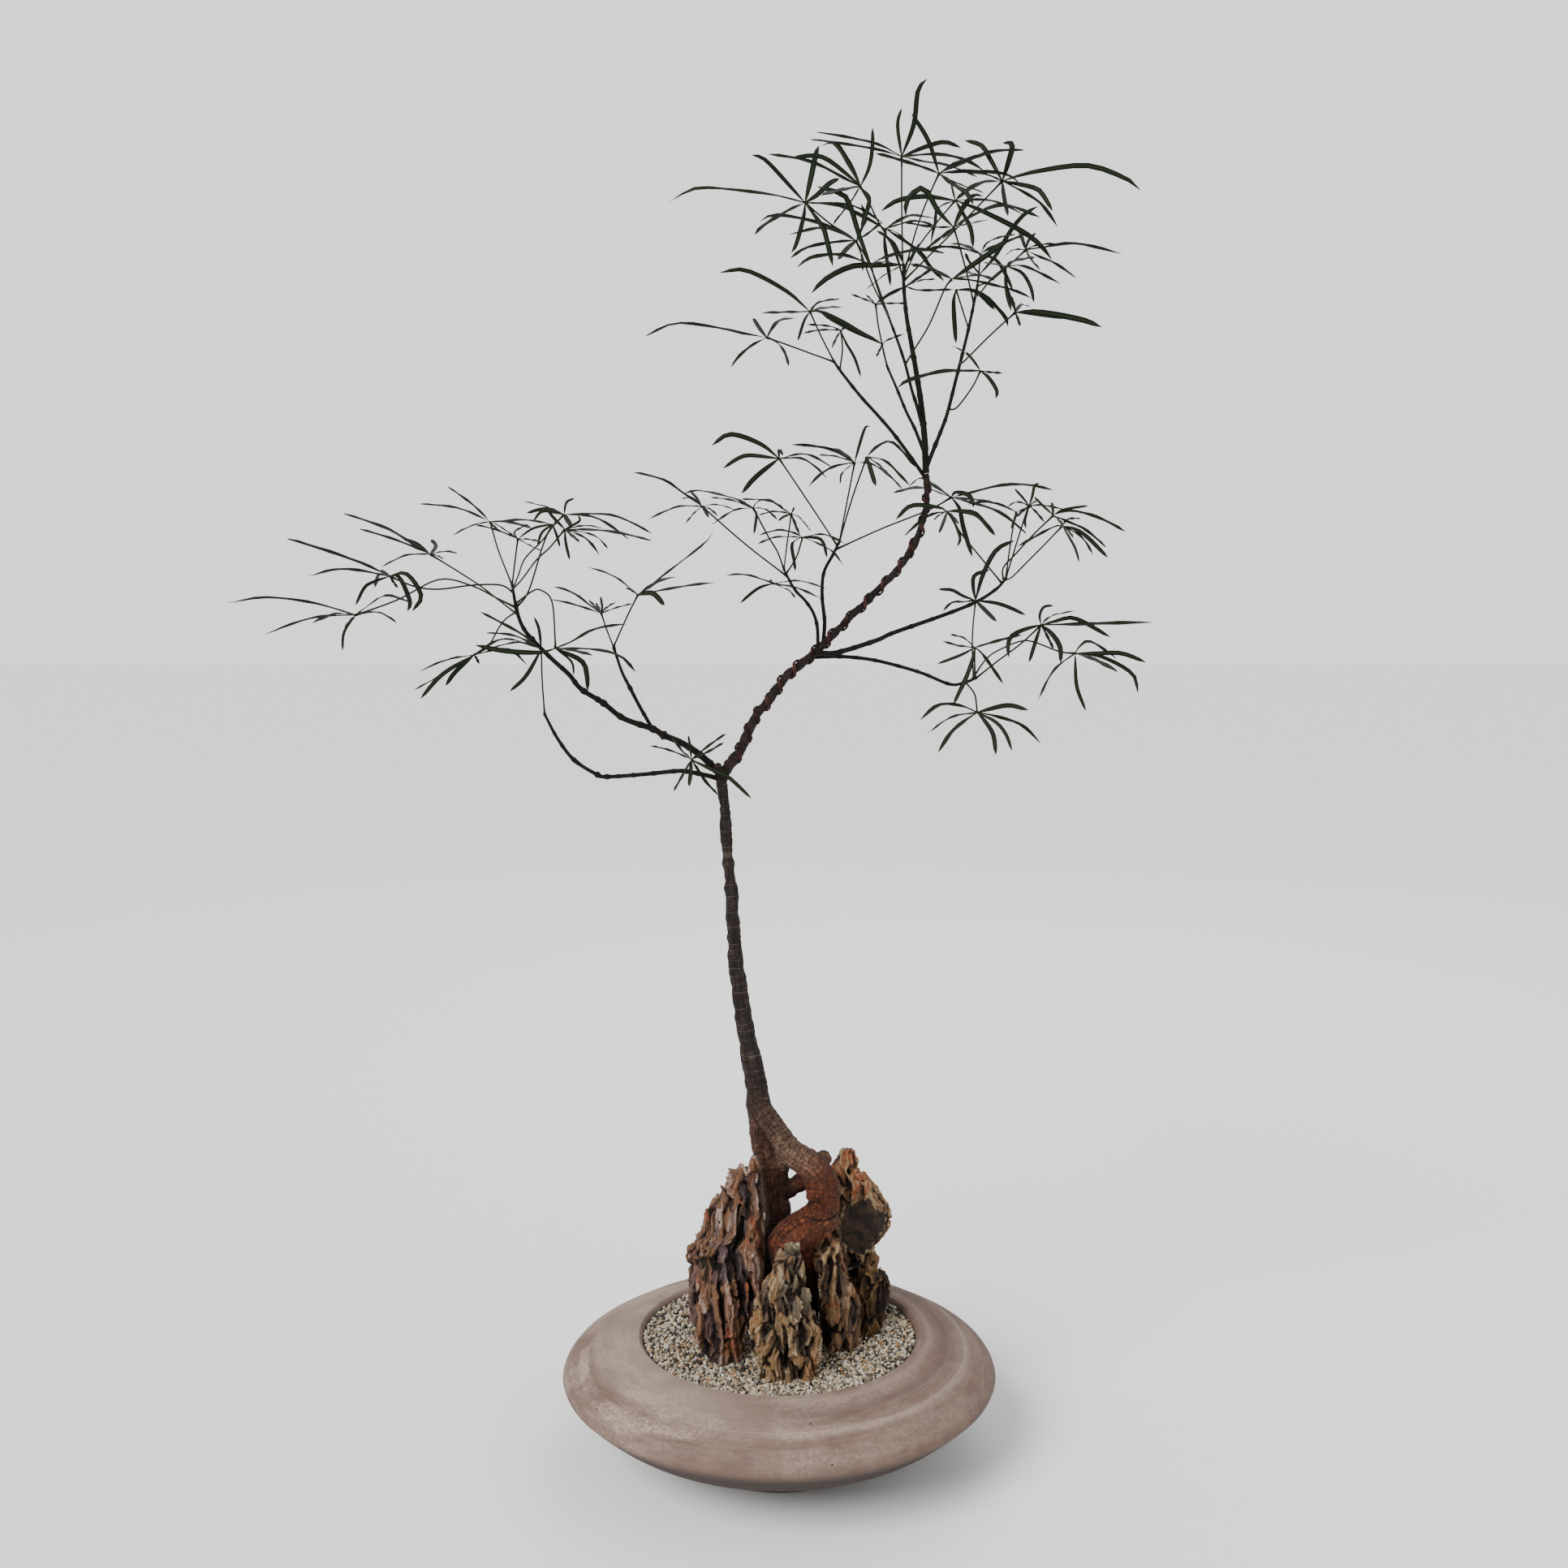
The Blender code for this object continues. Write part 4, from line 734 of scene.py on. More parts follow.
# The grit bed's dark is painted shade for the gaps between the grains.
crumbs("grit_bed", "gravel", 320.0, (0.080, 0.070, 0.058, 1.0), (0.014, 0.012, 0.010, 1.0), 0.9, 1.0)
mesh_plastic, tree, shader = new_finish("drain_mesh")
weave = add(tree, "TexBrick", out="Fac", Vector=object_place(tree), Scale=600.0, Mortar_Size=0.14,
            Brick_Width=0.5, Row_Height=0.5)
threads = blend(tree, weave, (0.006, 0.006, 0.006, 1.0), (0.05, 0.05, 0.052, 1.0))
coat(tree, shader, threads, 0.5, 0.7, 0.0005, weave)
wear(mesh_plastic, *(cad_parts[f"drain_screen_{number}"] for number in (1, 2, 3)))
print("hidden pieces finished")

# %% [markdown]
# Grit is thousands of small broken stones. Six are modelled, each from an icosphere that is flattened and
# has its corners pushed about, which keeps them at 20 faces. Each grain of the bed is a copy of one of
# them, turned its own way. They are laid out on a jittered triangular grid, which covers the bed with no
# bare spots.

# %% Model six grains
GRAVEL_TOP = 0.0815
BED_RADIUS = 0.1008
GRAINS_RISE = 0.0020
GRAIN_SPACING = 0.00245
ROW_SPACING = GRAIN_SPACING * 0.866
chance = np.random.default_rng(11)
grain_kinds = []
for number in range(6):
    start_clean()
    bpy.ops.mesh.primitive_ico_sphere_add(subdivisions=1, radius=1.0, location=(0.0, 0.0, 0.0))
    grain = bpy.context.object
    squash = chance.uniform((0.75, 0.6, 0.5), (1.15, 0.95, 0.8))
    bpy.ops.transform.resize(value=tuple(float(v) for v in squash))
    bpy.ops.object.transform_apply(location=True, rotation=True, scale=True)
    shape = places(grain) * (1.0 + chance.uniform(-0.22, 0.22, (len(grain.data.vertices), 1)))
    grain_kinds.append((shape, [tuple(face.vertices) for face in grain.data.polygons]))
    drop(grain)
print("grain kinds:", len(grain_kinds), "of", len(grain_kinds[0][1]), "faces")

# %% [markdown]
# As thousands of objects the grains would be slow to handle. So the turned and scaled corners of all of
# them go into one mesh at once, and each grain gets a random number for its colour.

# %% Scatter the grains
def random_turns(count):
    """Evenly spread random rotations, as matrices."""
    quarter = chance.normal(size=(count, 4))
    w, x, y, z = (quarter / np.linalg.norm(quarter, axis=1, keepdims=True)).T
    return np.array([[1 - 2 * (y * y + z * z), 2 * (x * y - z * w), 2 * (x * z + y * w)],
                     [2 * (x * y + z * w), 1 - 2 * (x * x + z * z), 2 * (y * z - x * w)],
                     [2 * (x * z - y * w), 2 * (y * z + x * w), 1 - 2 * (x * x + y * y)]]).transpose(2, 0, 1)


columns = int(2 * BED_RADIUS / GRAIN_SPACING) + 2
rows = int(2 * BED_RADIUS / ROW_SPACING) + 2
grid = [(GRAIN_SPACING * (i - columns / 2 + 0.5 * (j % 2)), ROW_SPACING * (j - rows / 2))
        for i in range(columns) for j in range(rows)]
spots = np.array(grid) + chance.uniform(-0.0008, 0.0008, (len(grid), 2))
spots = spots[np.hypot(spots[:, 0], spots[:, 1]) < BED_RADIUS - 0.0009]
rise = GRAVEL_TOP + GRAINS_RISE + chance.uniform(-0.0006, 0.0010, len(spots))
sizes = chance.uniform(0.00120, 0.00212, len(spots)) * np.where(chance.random(len(spots)) < 0.1, 1.25, 1.0)
corners = []
faces = []
tints = []
count = 0
for spot, up, size, turn in zip(spots, rise, sizes, random_turns(len(spots))):
    shape, sides = grain_kinds[chance.integers(len(grain_kinds))]
    corners.append(shape @ turn.T * size + (*spot, up))
    faces += [tuple(count + k for k in side) for side in sides]
    count += len(shape)
    tints.append(np.full(len(shape), chance.random()))
grains = from_corners("gravel_grains", np.concatenate(corners), faces)
put_attributes(grains, tint=np.concatenate(tints))
in_edit(grains, faces_out)
finish_piece(grains, "grit")
print("grains:", len(spots))

# %% [markdown]
# Each grain has one colour, from a number that all of its corners share. A ramp turns the number into
# cream, tan, greys and a little orange. The bed below is painted dark as shade, so the gaps between grains
# read as deep. Grains that lie near the front rim are painted a little paler, as painted light.

# %% Grit finish
GRIT_COLOURS = [
    (0.00, tone(286, 270, 236)), (0.20, tone(250, 243, 230)), (0.33, tone(132, 129, 124)),
    (0.44, tone(52, 53, 56)), (0.59, tone(206, 178, 142)), (0.70, tone(264, 249, 220)),
    (0.88, tone(212, 166, 122)), (0.91, tone(310, 304, 288))]
grit, tree, shader = new_finish("mixed_grit")
place = object_place(tree)
fine = place_group(tree, RELIEF, Place=place, Size=1500.0)
# Near the front rim the grains are painted paler: painted light.
painted_light_front = span(tree, parts(tree, place)["Y"], -0.078, -0.060, 0.20, 0.0)
colour = layered(tree, ramp(tree, stored(tree, "tint"), GRIT_COLOURS, "CONSTANT"),
                 (span(tree, fine["Height"], 0.5, 1.0, 0.0, 0.4), tone(110, 98, 84)),
                 (painted_light_front, tone(270, 252, 226)))
coat(tree, shader, colour, 0.62, 0.35, 0.0004, fine["Height"])
wear(grit, grains)
print("grit finished")

# %% [markdown]
# Five stones stand in the pot. Their outlines were read row by row, as py,left,right, and the skyline as
# px,py. Depth is in millimetres, thick is half the thickness, and forward says how far the foot comes to
# the front. The flakes are made later: stands says how far heights are pressed together for them, width
# how wide they are, rough how deep, and most how many triangles the stone may have. The face is the
# middle and half the size of a smooth part.

# %% Stones as they were read
STONES = {
    "stone_left": dict(
        depth=-22, thick=17, flutes=5, forward=0.020, stands=0.20, width=0.0076, rough=1.0,
        most=165000, seed=31,
        rows="1446,897,939 1456,892,940 1471,882,941 1482,875,942 1491,868,942 1504,866,942 1519,862,943 "
             "1528,854,943 1538,845,943 1545,844,943 1560,848,942 1590,848,940 1605,849,937 1620,851,931 "
             "1634,856,926 1647,862,921 1660,860,917 1672,859,908 1686,861,892",
        top="897,1446 904,1440 909,1438 911,1431 917,1431 919,1436 921,1443 923,1432 928,1427 932,1430 "
            "936,1437 939,1445"),
    "stone_front": dict(
        depth=-58, thick=13, flutes=4, forward=0.010, stands=0.34, width=0.0066, rough=1.0,
        most=145000, seed=45,
        rows="1538,964,986 1545,957,988 1553,953,990 1562,951,992 1570,948,993 1576,942,994 1590,936,998 "
             "1598,928,1000 1610,929,1000 1620,926,1003 1629,922,1012 1640,922,1013 1655,928,1013 "
             "1672,931,1013 1684,935,1008 1698,936,1000",
        top="962,1541 966,1536 971,1533 975,1532 979,1537 983,1535 987,1540"),
    "stone_middle": dict(
        depth=-18, thick=11, flutes=3, forward=0.006, stands=0.20, width=0.0074, rough=0.85,
        most=90000, seed=51,
        rows="1530,1021,1034 1538,1009,1036 1546,1001,1038 1557,1002,1040 1566,1004,1044 1577,1007,1048 "
             "1589,1011,1055 1598,1008,1059 1607,1007,1061 1621,1008,1061 1643,1010,1061 1656,1013,1058 "
             "1663,1018,1055",
        top="1002,1545 1006,1542 1010,1538 1014,1541 1019,1537 1024,1530 1029,1527 1034,1532"),
    "stone_back": dict(
        depth=46, thick=14, flutes=3, forward=0.0, stands=0.32, width=0.0068, rough=0.62,
        most=120000, seed=61,
        rows="1419,1035,1054 1428,1030,1058 1437,1021,1059 1446,1024,1068 1460,1028,1078 1472,1028,1088 "
             "1483,1028,1096 1497,1022,1099 1513,1008,1097 1524,1000,1089 1534,996,1079 1541,998,1080 "
             "1548,1004,1084 1560,1014,1082 1568,1028,1081 1600,1046,1080 1622,1048,1078",
        top="1021,1437 1027,1430 1033,1420 1038,1415 1045,1411 1052,1416 1058,1428 1060,1441 1067,1445 "
            "1078,1459 1088,1472 1095,1483",
        face=((1060, 1504), (0.0190, 0.0235)),
        veins=("1046,1440 1058,1449 1066,1462 1072,1478 1080,1486 1090,1490 1099,1496",
               "1040,1566 1053,1565 1062,1560 1066,1550", "1036,1424 1040,1440 1038,1456")),
    "stone_right": dict(
        depth=14, thick=10, flutes=3, forward=0.016, stands=0.25, width=0.0070, rough=0.8,
        most=65000, seed=71,
        rows="1560,1068,1082 1566,1062,1089 1574,1058,1096 1581,1056,1098 1590,1055,1098 1600,1053,1096 "
             "1611,1053,1092 1622,1054,1089 1634,1056,1087 1642,1058,1080",
        top="1068,1561 1076,1559 1082,1561 1087,1566 1093,1571 1098,1579"),
}
print("stones read:", ", ".join(STONES))

# %% [markdown]
# A stone starts as a sheet of squares that is rolled up: each row of the sheet becomes one level ring, as
# wide as the stone is there, with shallow flutes. Both open ends are filled, so the stone is closed.

# %% Roll up the stones
STONE_FOOT = 0.0690
FLUTE_DEPTH = 0.10
STONE_TURNS = 56
STONE_LEVELS = 70


def stone_rows(spec):
    """The left and right end of each row of a stone, from its lowest row up."""
    return [(at(left, py, spec["depth"]), at(right, py, spec["depth"]))
            for py, left, right in sorted(read_points(spec["rows"]), reverse=True)]


def stone_blank(name, spec):
    """A stone's plain form: a sheet rolled into level rings, closed at both ends."""
    rows = stone_rows(spec)
    shown = [row for row in rows if row[0].z > GRAVEL_TOP + 0.006]
    ends = []
    for end in (0, 1):
        foot = Vector((rows[0][end].x, rows[0][end].y, STONE_FOOT))
        ends.append(smooth_path([foot] + [row[end] for row in shown], STONE_LEVELS))
    start_clean()
    bpy.ops.mesh.primitive_grid_add(x_subdivisions=STONE_TURNS, y_subdivisions=STONE_LEVELS - 1, size=1.0)
    blank = bpy.context.object
    blank.name = name + "_rock"
    sheet = places(blank)
    turn = (sheet[:, 0] + 0.5) * 2 * math.pi
    row = np.rint((sheet[:, 1] + 0.5) * (STONE_LEVELS - 1)).astype(int)
    middle = np.array([(a + b) / 2 for a, b in zip(*ends)])[row]
    half = np.array([(b - a).length / 2 for a, b in zip(*ends)])[row]
    share = row / (STONE_LEVELS - 1)
    depth_half = spec["thick"] * MM * (0.45 + 0.55 * half / half.max())
    ridge = np.sin(spec["flutes"] * turn + 5.0 * share * share + spec["depth"])
    swell = 1.0 - FLUTE_DEPTH * (1.0 - ridge) / 2
    forward = spec["forward"] * np.clip(1.0 - share / 0.7, 0, 1) / 2
    put_places(blank, middle + np.stack([
        half * swell * np.cos(turn), (depth_half + forward) * swell * np.sin(turn) - forward,
        np.zeros(len(turn))], axis=1))
    in_edit(blank, merged(0.00005), lambda: bpy.ops.mesh.fill_holes(sides=0), faces_out)
    return blank


blanks = {name: stone_blank(name, spec) for name, spec in STONES.items()}
print("blanks:", {name: len(blank.data.vertices) for name, blank in blanks.items()})

# %% [markdown]
# The stones are split into tall overlapping flakes with dark cracks between them. Sculpting would do it
# by hand. Here the flakes are cells round scattered seeds, in a space where heights are pressed together,
# so that each cell stands tall. A cell has its own height and leans its own way, so one edge stands proud
# and the other is sunk. Some are hollow, and smaller cells chip them again. A voxel remesh before and
# after keeps the skin even.

# %% Seeds and smooth noise
def wander(spots, size, seed):
    """Smooth noise of a given size: three numbers from -1 to 1 at each spot."""
    grid = spots / size
    base = np.floor(grid).astype(int)
    low = base.min(0)
    values = np.random.default_rng(seed).uniform(-1, 1, (*(base.max(0) - low + 2), 3))
    share = grid - base
    share = share * share * (3 - 2 * share)
    total = np.zeros((len(spots), 3))
    for step in np.ndindex(2, 2, 2):
        weight = np.prod(np.where(np.array(step) == 1, share, 1 - share), axis=1)
        total += weight[:, None] * values[tuple((base + step - low).T)]
    return total


def cells(spots, size, seed):
    """Each spot's distance from its cell's border, the cell's random number, and how far it leans out."""
    luck = np.random.default_rng(seed)
    grid = spots / size
    base = np.floor(grid).astype(int)
    low = base.min(0) - 1
    extent = base.max(0) - low + 2
    jitter = luck.random((*extent, 3))
    number = luck.random(tuple(extent))
    nearest = np.full(len(spots), 9.0)
    second = nearest.copy()
    own = nearest.copy()
    away = np.zeros((len(spots), 3))
    for step in np.ndindex(3, 3, 3):
        cell = base + np.array(step) - 1
        index = tuple((cell - low).T)
        offset = grid - cell - jitter[index]
        gap = np.linalg.norm(offset, axis=1)
        nearer = gap < nearest
        away = np.where(nearer[:, None], offset, away)
        second = np.where(nearer, nearest, np.minimum(second, gap))
        own = np.where(nearer, number[index], own)
        nearest = np.where(nearer, gap, nearest)
    turn = 2 * np.pi * np.modf(own * 7.3)[0]
    return second - nearest, own, np.cos(turn) * away[:, 0] + np.sin(turn) * away[:, 2]


def even_skin(piece, size, most=None):
    """Give a piece an even skin of small squares, thinned out where it has more than the most triangles."""
    skin = piece.modifiers.new("skin", "REMESH")
    skin.mode = "VOXEL"
    skin.voxel_size = size
    skin.use_smooth_shade = True
    apply_all(piece)
    if most and 2 * len(piece.data.polygons) > most:
        fewer = piece.modifiers.new("fewer", "DECIMATE")
        fewer.ratio = most / (2 * len(piece.data.polygons))
        apply_all(piece)


print("noise at one spot:", wander(np.array([[0.1, 0.2, 0.3]]), 0.01, 1).round(2))

# %% [markdown]
# Pushing flakes in and out changes a stone's outline. So the corners are sorted into bins a millimetre
# high, and each bin is stretched sideways to the width that was read there. The top is then fitted to the
# skyline.

# %% Fit a stone to its outline
BIN = 0.001
OUTSIDE_LEFT = 0.2
SKYLINE_REACH = 0.022


def reach_in_bins(keys, values):
    """The least and the greatest value in each millimetre of the keys, and each key's bin."""
    spot = ((keys - keys.min()) / BIN).astype(int)
    least = np.full(spot.max() + 1, np.inf)
    most = -least
    np.minimum.at(least, spot, values)
    np.maximum.at(most, spot, values)
    return least, most, spot


def evened(values, reach):
    """Values averaged with a few neighbours on either side."""
    padded = np.pad(values, reach, mode="edge")
    return np.convolve(padded, np.ones(2 * reach + 1) / (2 * reach + 1), mode="valid")


def fitted(spots, spec):
    """A stone's corners, stretched sideways and upwards until its outline is the one that was read."""
    rows = stone_rows(spec)
    least, most, spot = reach_in_bins(spots[:, 2], spots[:, 0])
    least = evened(least, 3)
    most = evened(most, 3)
    heights = spots[:, 2].min() + BIN * (np.arange(len(least)) + 0.5)
    levels = [row[0].z for row in rows]
    left, right = (np.interp(heights, levels, [row[end].x for row in rows]) for end in (0, 1))
    scale = np.clip((right - left) / (most - least), 0.6, 1.5)
    shift = (left + right) / 2 - scale * (least + most) / 2
    across = scale[spot] * spots[:, 0] + shift[spot]
    across -= (1 - OUTSIDE_LEFT) * (across - np.clip(across, left[spot], right[spot]))
    skyline = [at(px, py, spec["depth"]) for px, py in read_points(spec["top"])]
    _, top, spot = reach_in_bins(across, spots[:, 2])
    top = evened(top, 1)
    wanted = np.interp(across, [p.x for p in skyline], [p.z for p in skyline])
    inside = np.clip(np.minimum(across - skyline[0].x, skyline[-1].x - across) / 0.003 + 0.4, 0, 1)
    share = np.clip(1 - (top[spot] - spots[:, 2]) / SKYLINE_REACH, 0, 1) * inside
    up = spots[:, 2] + np.clip(wanted - top[spot], -0.009, 0.006) * share
    return np.stack([across, spots[:, 1], up], axis=1)


print("outline helper ready")

# %% [markdown]
# How far a spot is pushed out depends on the flake and the chip that it lies on. The same numbers make
# its groove value, which the colours need: cracks, hollows and sunk sides are low and are darkened, partly
# as painted shade, and edges that lean out are high and are paled, partly as painted highlight.

# %% Relief of flakes
CHIP_WIDTH = 0.0031
FIRST_SKIN = 0.0007
SKIN = 0.00058
OUTWARD = 0.0012
FLAKE_STEP = 0.0044
FLAKE_LEAN = 0.0044
CRACK_DEPTH = 0.0036
HOLLOW_DEPTH = 0.0034
HOLLOW_SHARE = 0.34
CHIP_STEP = 0.0016
CHIP_LEAN = 0.0026
CHIP_CRACK_DEPTH = 0.0010
MOST_LEAN_CRACKED = 0.15


def flake_relief(before, spec):
    """How far each spot of a stone stands out, its groove value, and the number of its flake."""
    seed = spec["seed"]
    upright = before * (1.0, 1.0, spec["stands"])
    upright += 0.0030 * wander(before * (1.0, 1.0, 0.4), 0.011, seed)
    upright += 0.0010 * wander(before * (1.0, 1.0, 0.6), 0.0038, seed + 1)
    gap, flake, lean = cells(upright, spec["width"], seed + 4)
    chip_gap, chip, chip_lean = cells(upright * (1.0, 1.0, 0.8), CHIP_WIDTH, seed + 8)
    crack = (1 - np.clip(gap / 0.20, 0, 1)) * (lean < MOST_LEAN_CRACKED)
    chip_crack = (1 - np.clip(chip_gap / 0.24, 0, 1)) * (chip_lean < MOST_LEAN_CRACKED)
    hollow = (flake < HOLLOW_SHARE) * np.clip(gap / 0.5, 0, 1) ** 0.7
    out = OUTWARD + FLAKE_STEP * (flake - 0.5) + FLAKE_LEAN * lean - CRACK_DEPTH * crack
    out -= HOLLOW_DEPTH * hollow
    out += CHIP_STEP * (chip - 0.5) + CHIP_LEAN * chip_lean - CHIP_CRACK_DEPTH * chip_crack
    out *= spec["rough"]
    out += 0.0004 * wander(before * (1.0, 1.0, 0.3), 0.0013, seed + 5)[:, 0]
    groove = 0.56 + 0.60 * lean + 0.34 * chip_lean - 0.62 * crack - 0.26 * hollow
    groove += 0.16 * (flake - 0.5) - 0.30 * chip_crack
    return out, np.clip(groove, 0, 1), 0.6 * flake + 0.4 * chip


print("flake helper ready")

# %% [markdown]
# The stone at the back has a face that is broken smooth, and thin veins that stand a little proud of it.
# Both are laid into the relief. Then every corner of a stone is pushed along its normal.

# %% Split the stones into flakes
FACE_SUNK = 0.0016
VEIN_HALF = 0.0014
VEIN_LIFT = 0.0008
VEIN_IN_FRONT = 12
VEIN_FACE = 0.28


def with_face(before, normals, out, spec):
    """A relief with the stone's smooth face and its veins in it, and how smooth each spot is."""
    seed = spec["seed"]
    smooth = np.zeros(len(before))
    if "face" in spec:
        (px, py), (wide, tall) = spec["face"]
        away = (before - np.array(at(px, py, spec["depth"]))) / (wide, 1.0, tall)
        wavy = 0.30 * wander(before, 0.008, seed + 6) + 0.14 * wander(before, 0.0025, seed + 7)
        away += wavy * (1.0, 0.0, 1.0)
        smooth = np.clip((1.15 - np.hypot(away[:, 0], away[:, 2])) / 0.5, 0, 1) * (normals[:, 1] < 0.25)
        out = out * (1 - smooth) - FACE_SUNK * smooth
    for line in spec.get("veins", ()):
        course = [at(px, py, spec["depth"] - VEIN_IN_FRONT) for px, py in read_points(line)]
        for point in resample(course, 50):
            vein = np.exp(-(np.hypot(before[:, 0] - point.x, before[:, 2] - point.z) / VEIN_HALF) ** 2)
            vein *= normals[:, 1] < 0.3
            smooth = smooth + np.maximum(vein - np.abs(smooth - VEIN_FACE) / 0.72, 0.0) * (VEIN_FACE - smooth)
            out = np.maximum(out, VEIN_LIFT * vein - 0.0040 * (1 - vein))
    return out, smooth


def split_flakes(piece, spec):
    """Flake a stone, fit its outline, and keep how high, which flake and how smooth each corner is."""
    before = places(piece)
    normals = normals_of(piece)
    out, groove, flake = flake_relief(before, spec)
    out, smooth = with_face(before, normals, out, spec)
    moved = fitted(before + normals * out[:, None], spec)
    put_places(piece, moved)
    even_skin(piece, SKIN, spec["most"])
    near = nearest_of(moved, places(piece))
    put_attributes(piece, groove=groove[near], flake=flake[near], face=smooth[near])


for name, blank in blanks.items():
    even_skin(blank, FIRST_SKIN)
    split_flakes(blank, STONES[name])
    finish_piece(blank, "stone", name)

# %% [markdown]
# The five stones are the same kind of rock in different colours, so their pattern is one more group: each
# flake leans to one of two body colours, rust runs down where water went, ridges are pale, partly from wear
# and partly as painted highlight, and grooves are nearly black, partly dark cracks and partly painted
# shade. Where the face is broken smooth it is charcoal with a cream rim. Each stone fills in its own
# colours.

# %% Shared group: layered rock
ROCK, asked, given = new_group("Layered rock", dict(
    Place=None, Groove=0.5, Flake=0.5, Face=0.0, Body=tone(90, 80, 75), Second=tone(130, 100, 70),
    Rust=tone(160, 80, 40), Pale=tone(190, 160, 120), Rustiness=0.5, Lichen=0.0),
    ("Colour", "Height", "Dryness"))
place, grooves, flakes = asked["Place"], asked["Groove"], asked["Flake"]
bands = stretched(ROCK, place, (1.0, 1.0, 0.24), 150.0, 7.0, 0.68, 0.8)
fibres = stretched(ROCK, place, (1.0, 1.0, 0.12), 460.0, 6.0, 0.7, 0.4)
trails = stretched(ROCK, place, (1.0, 1.0, 0.34), 70.0, 7.0, 0.66, 1.1)
clouds = noise(ROCK, place, 110.0, 5.0, 0.6, 0.5)
pick = calc(ROCK, "MULTIPLY_ADD", flakes, 0.75, times(ROCK, bands, 0.5))
rust = calc(ROCK, "MULTIPLY_ADD", flakes, 0.30, calc(ROCK, "SUBTRACT", trails, 0.15))
rust_from = calc(ROCK, "MULTIPLY_ADD", asked["Rustiness"], -0.24, 0.66)
rust_share = span(ROCK, rust, rust_from, calc(ROCK, "ADD", rust_from, 0.12), 0.0, 0.8)
green = times(ROCK, asked["Lichen"], span(ROCK, clouds, 0.42, 0.56))
# Pale ridges are partly wear and partly painted highlight, on edges that lean out.
worn_and_highlit = times(ROCK, span(ROCK, grooves, 0.68, 0.96), span(ROCK, fibres, 0.40, 0.60), 0.85)
rim = times(ROCK, span(ROCK, asked["Face"], 0.12, 0.30), span(ROCK, bands, 0.44, 0.56))
charcoal = blend(ROCK, span(ROCK, clouds, 0.38, 0.70), tone(60, 53, 51), tone(116, 96, 80))
# Low groove values are painted nearly black: partly dark cracks, partly painted shade in hollows and on sunk
# sides.
colour = layered(
    ROCK, asked["Body"], (span(ROCK, pick, 0.44, 0.70), asked["Second"]), (rust_share, asked["Rust"]),
    (green, tone(124, 124, 108)), (worn_and_highlit, asked["Pale"]),
    (span(ROCK, fibres, 0.54, 0.70, 0.0, 0.25), asked["Pale"]),
    (span(ROCK, fibres, 0.30, 0.50, 0.65, 0.0), tone(42, 33, 30)),
    (span(ROCK, grooves, 0.10, 0.52, 0.92, 0.0), tone(24, 19, 18)),
    (rim, tone(216, 192, 158)), (span(ROCK, asked["Face"], 0.34, 0.56), charcoal))
fine = place_group(ROCK, RELIEF, Place=place, Size=700.0)
plug_all(ROCK, given, Colour=colour, Height=calc(ROCK, "MULTIPLY_ADD", fibres, 1.6, fine["Height"]),
         Dryness=span(ROCK, fibres, 0.3, 0.7, 0.55, 0.85))
print("rock nodes:", len(ROCK.nodes))

# %% [markdown]
# Each stone has its body, second, rust and pale tone, how rusty it is, how much more at its top, and its
# lichen. More rust lies at the top of the stone at the back, and lichen only at the upper right of the
# one in front.

# %% Colour the stones
STONE_COLOURS = {
    "stone_left": ((112, 94, 96), (148, 115, 90), (168, 108, 80), (222, 202, 188), 0.34, 0.0, 0.0),
    "stone_front": ((126, 110, 96), (170, 141, 106), (164, 118, 80), (230, 214, 188), 0.28, 0.0, 0.8),
    "stone_middle": ((118, 100, 92), (164, 134, 102), (172, 114, 86), (224, 198, 162), 0.30, 0.0, 0.0),
    "stone_back": ((124, 100, 84), (170, 136, 100), (190, 120, 82), (240, 216, 180), 0.28, 0.55, 0.0),
    "stone_right": ((72, 56, 42), (122, 96, 66), (124, 88, 60), (200, 168, 124), 0.22, 0.0, 0.0),
}
RUST_FROM = level(1478, STONES["stone_back"]["depth"])
RUST_FULL = level(1450, STONES["stone_back"]["depth"])
GREEN_FROM = at(958, 1600, STONES["stone_front"]["depth"])
GREEN_FULL = at(974, 1580, STONES["stone_front"]["depth"])
for name, (*seen, rustiness, top_rust, lichen) in STONE_COLOURS.items():
    body, second, rust, pale = (tone(*shade) for shade in seen)
    finish, tree, shader = new_finish(name + "_rock")
    place = object_place(tree)
    x, _, z = parts(tree, place)
    rock = place_group(
        tree, ROCK, Place=place, Groove=stored(tree, "groove"), Flake=stored(tree, "flake"),
        Face=stored(tree, "face"), Body=body, Second=second, Rust=rust, Pale=pale,
        Rustiness=span(tree, z, RUST_FROM, RUST_FULL, rustiness, rustiness + top_rust),
        Lichen=times(tree, span(tree, z, GREEN_FROM.z - 0.02, GREEN_FULL.z, 0.0, lichen),
                     span(tree, x, GREEN_FROM.x, GREEN_FULL.x)))
    coat(tree, shader, rock["Colour"], rock["Dryness"], 0.7, 0.0012, rock["Height"])
    wear(finish, blanks[name])
print("stones coloured:", len(STONE_COLOURS))

# %% [markdown]
# Trunk, roots and main branch are one piece of wood, read as px,py,depth,thickness. Each run is a tube
# with small swellings where old leaves stood. The tubes are joined and given one voxel skin, which melts
# the crotches together as growth does, and fine lumps and creases are pushed in and out of it.

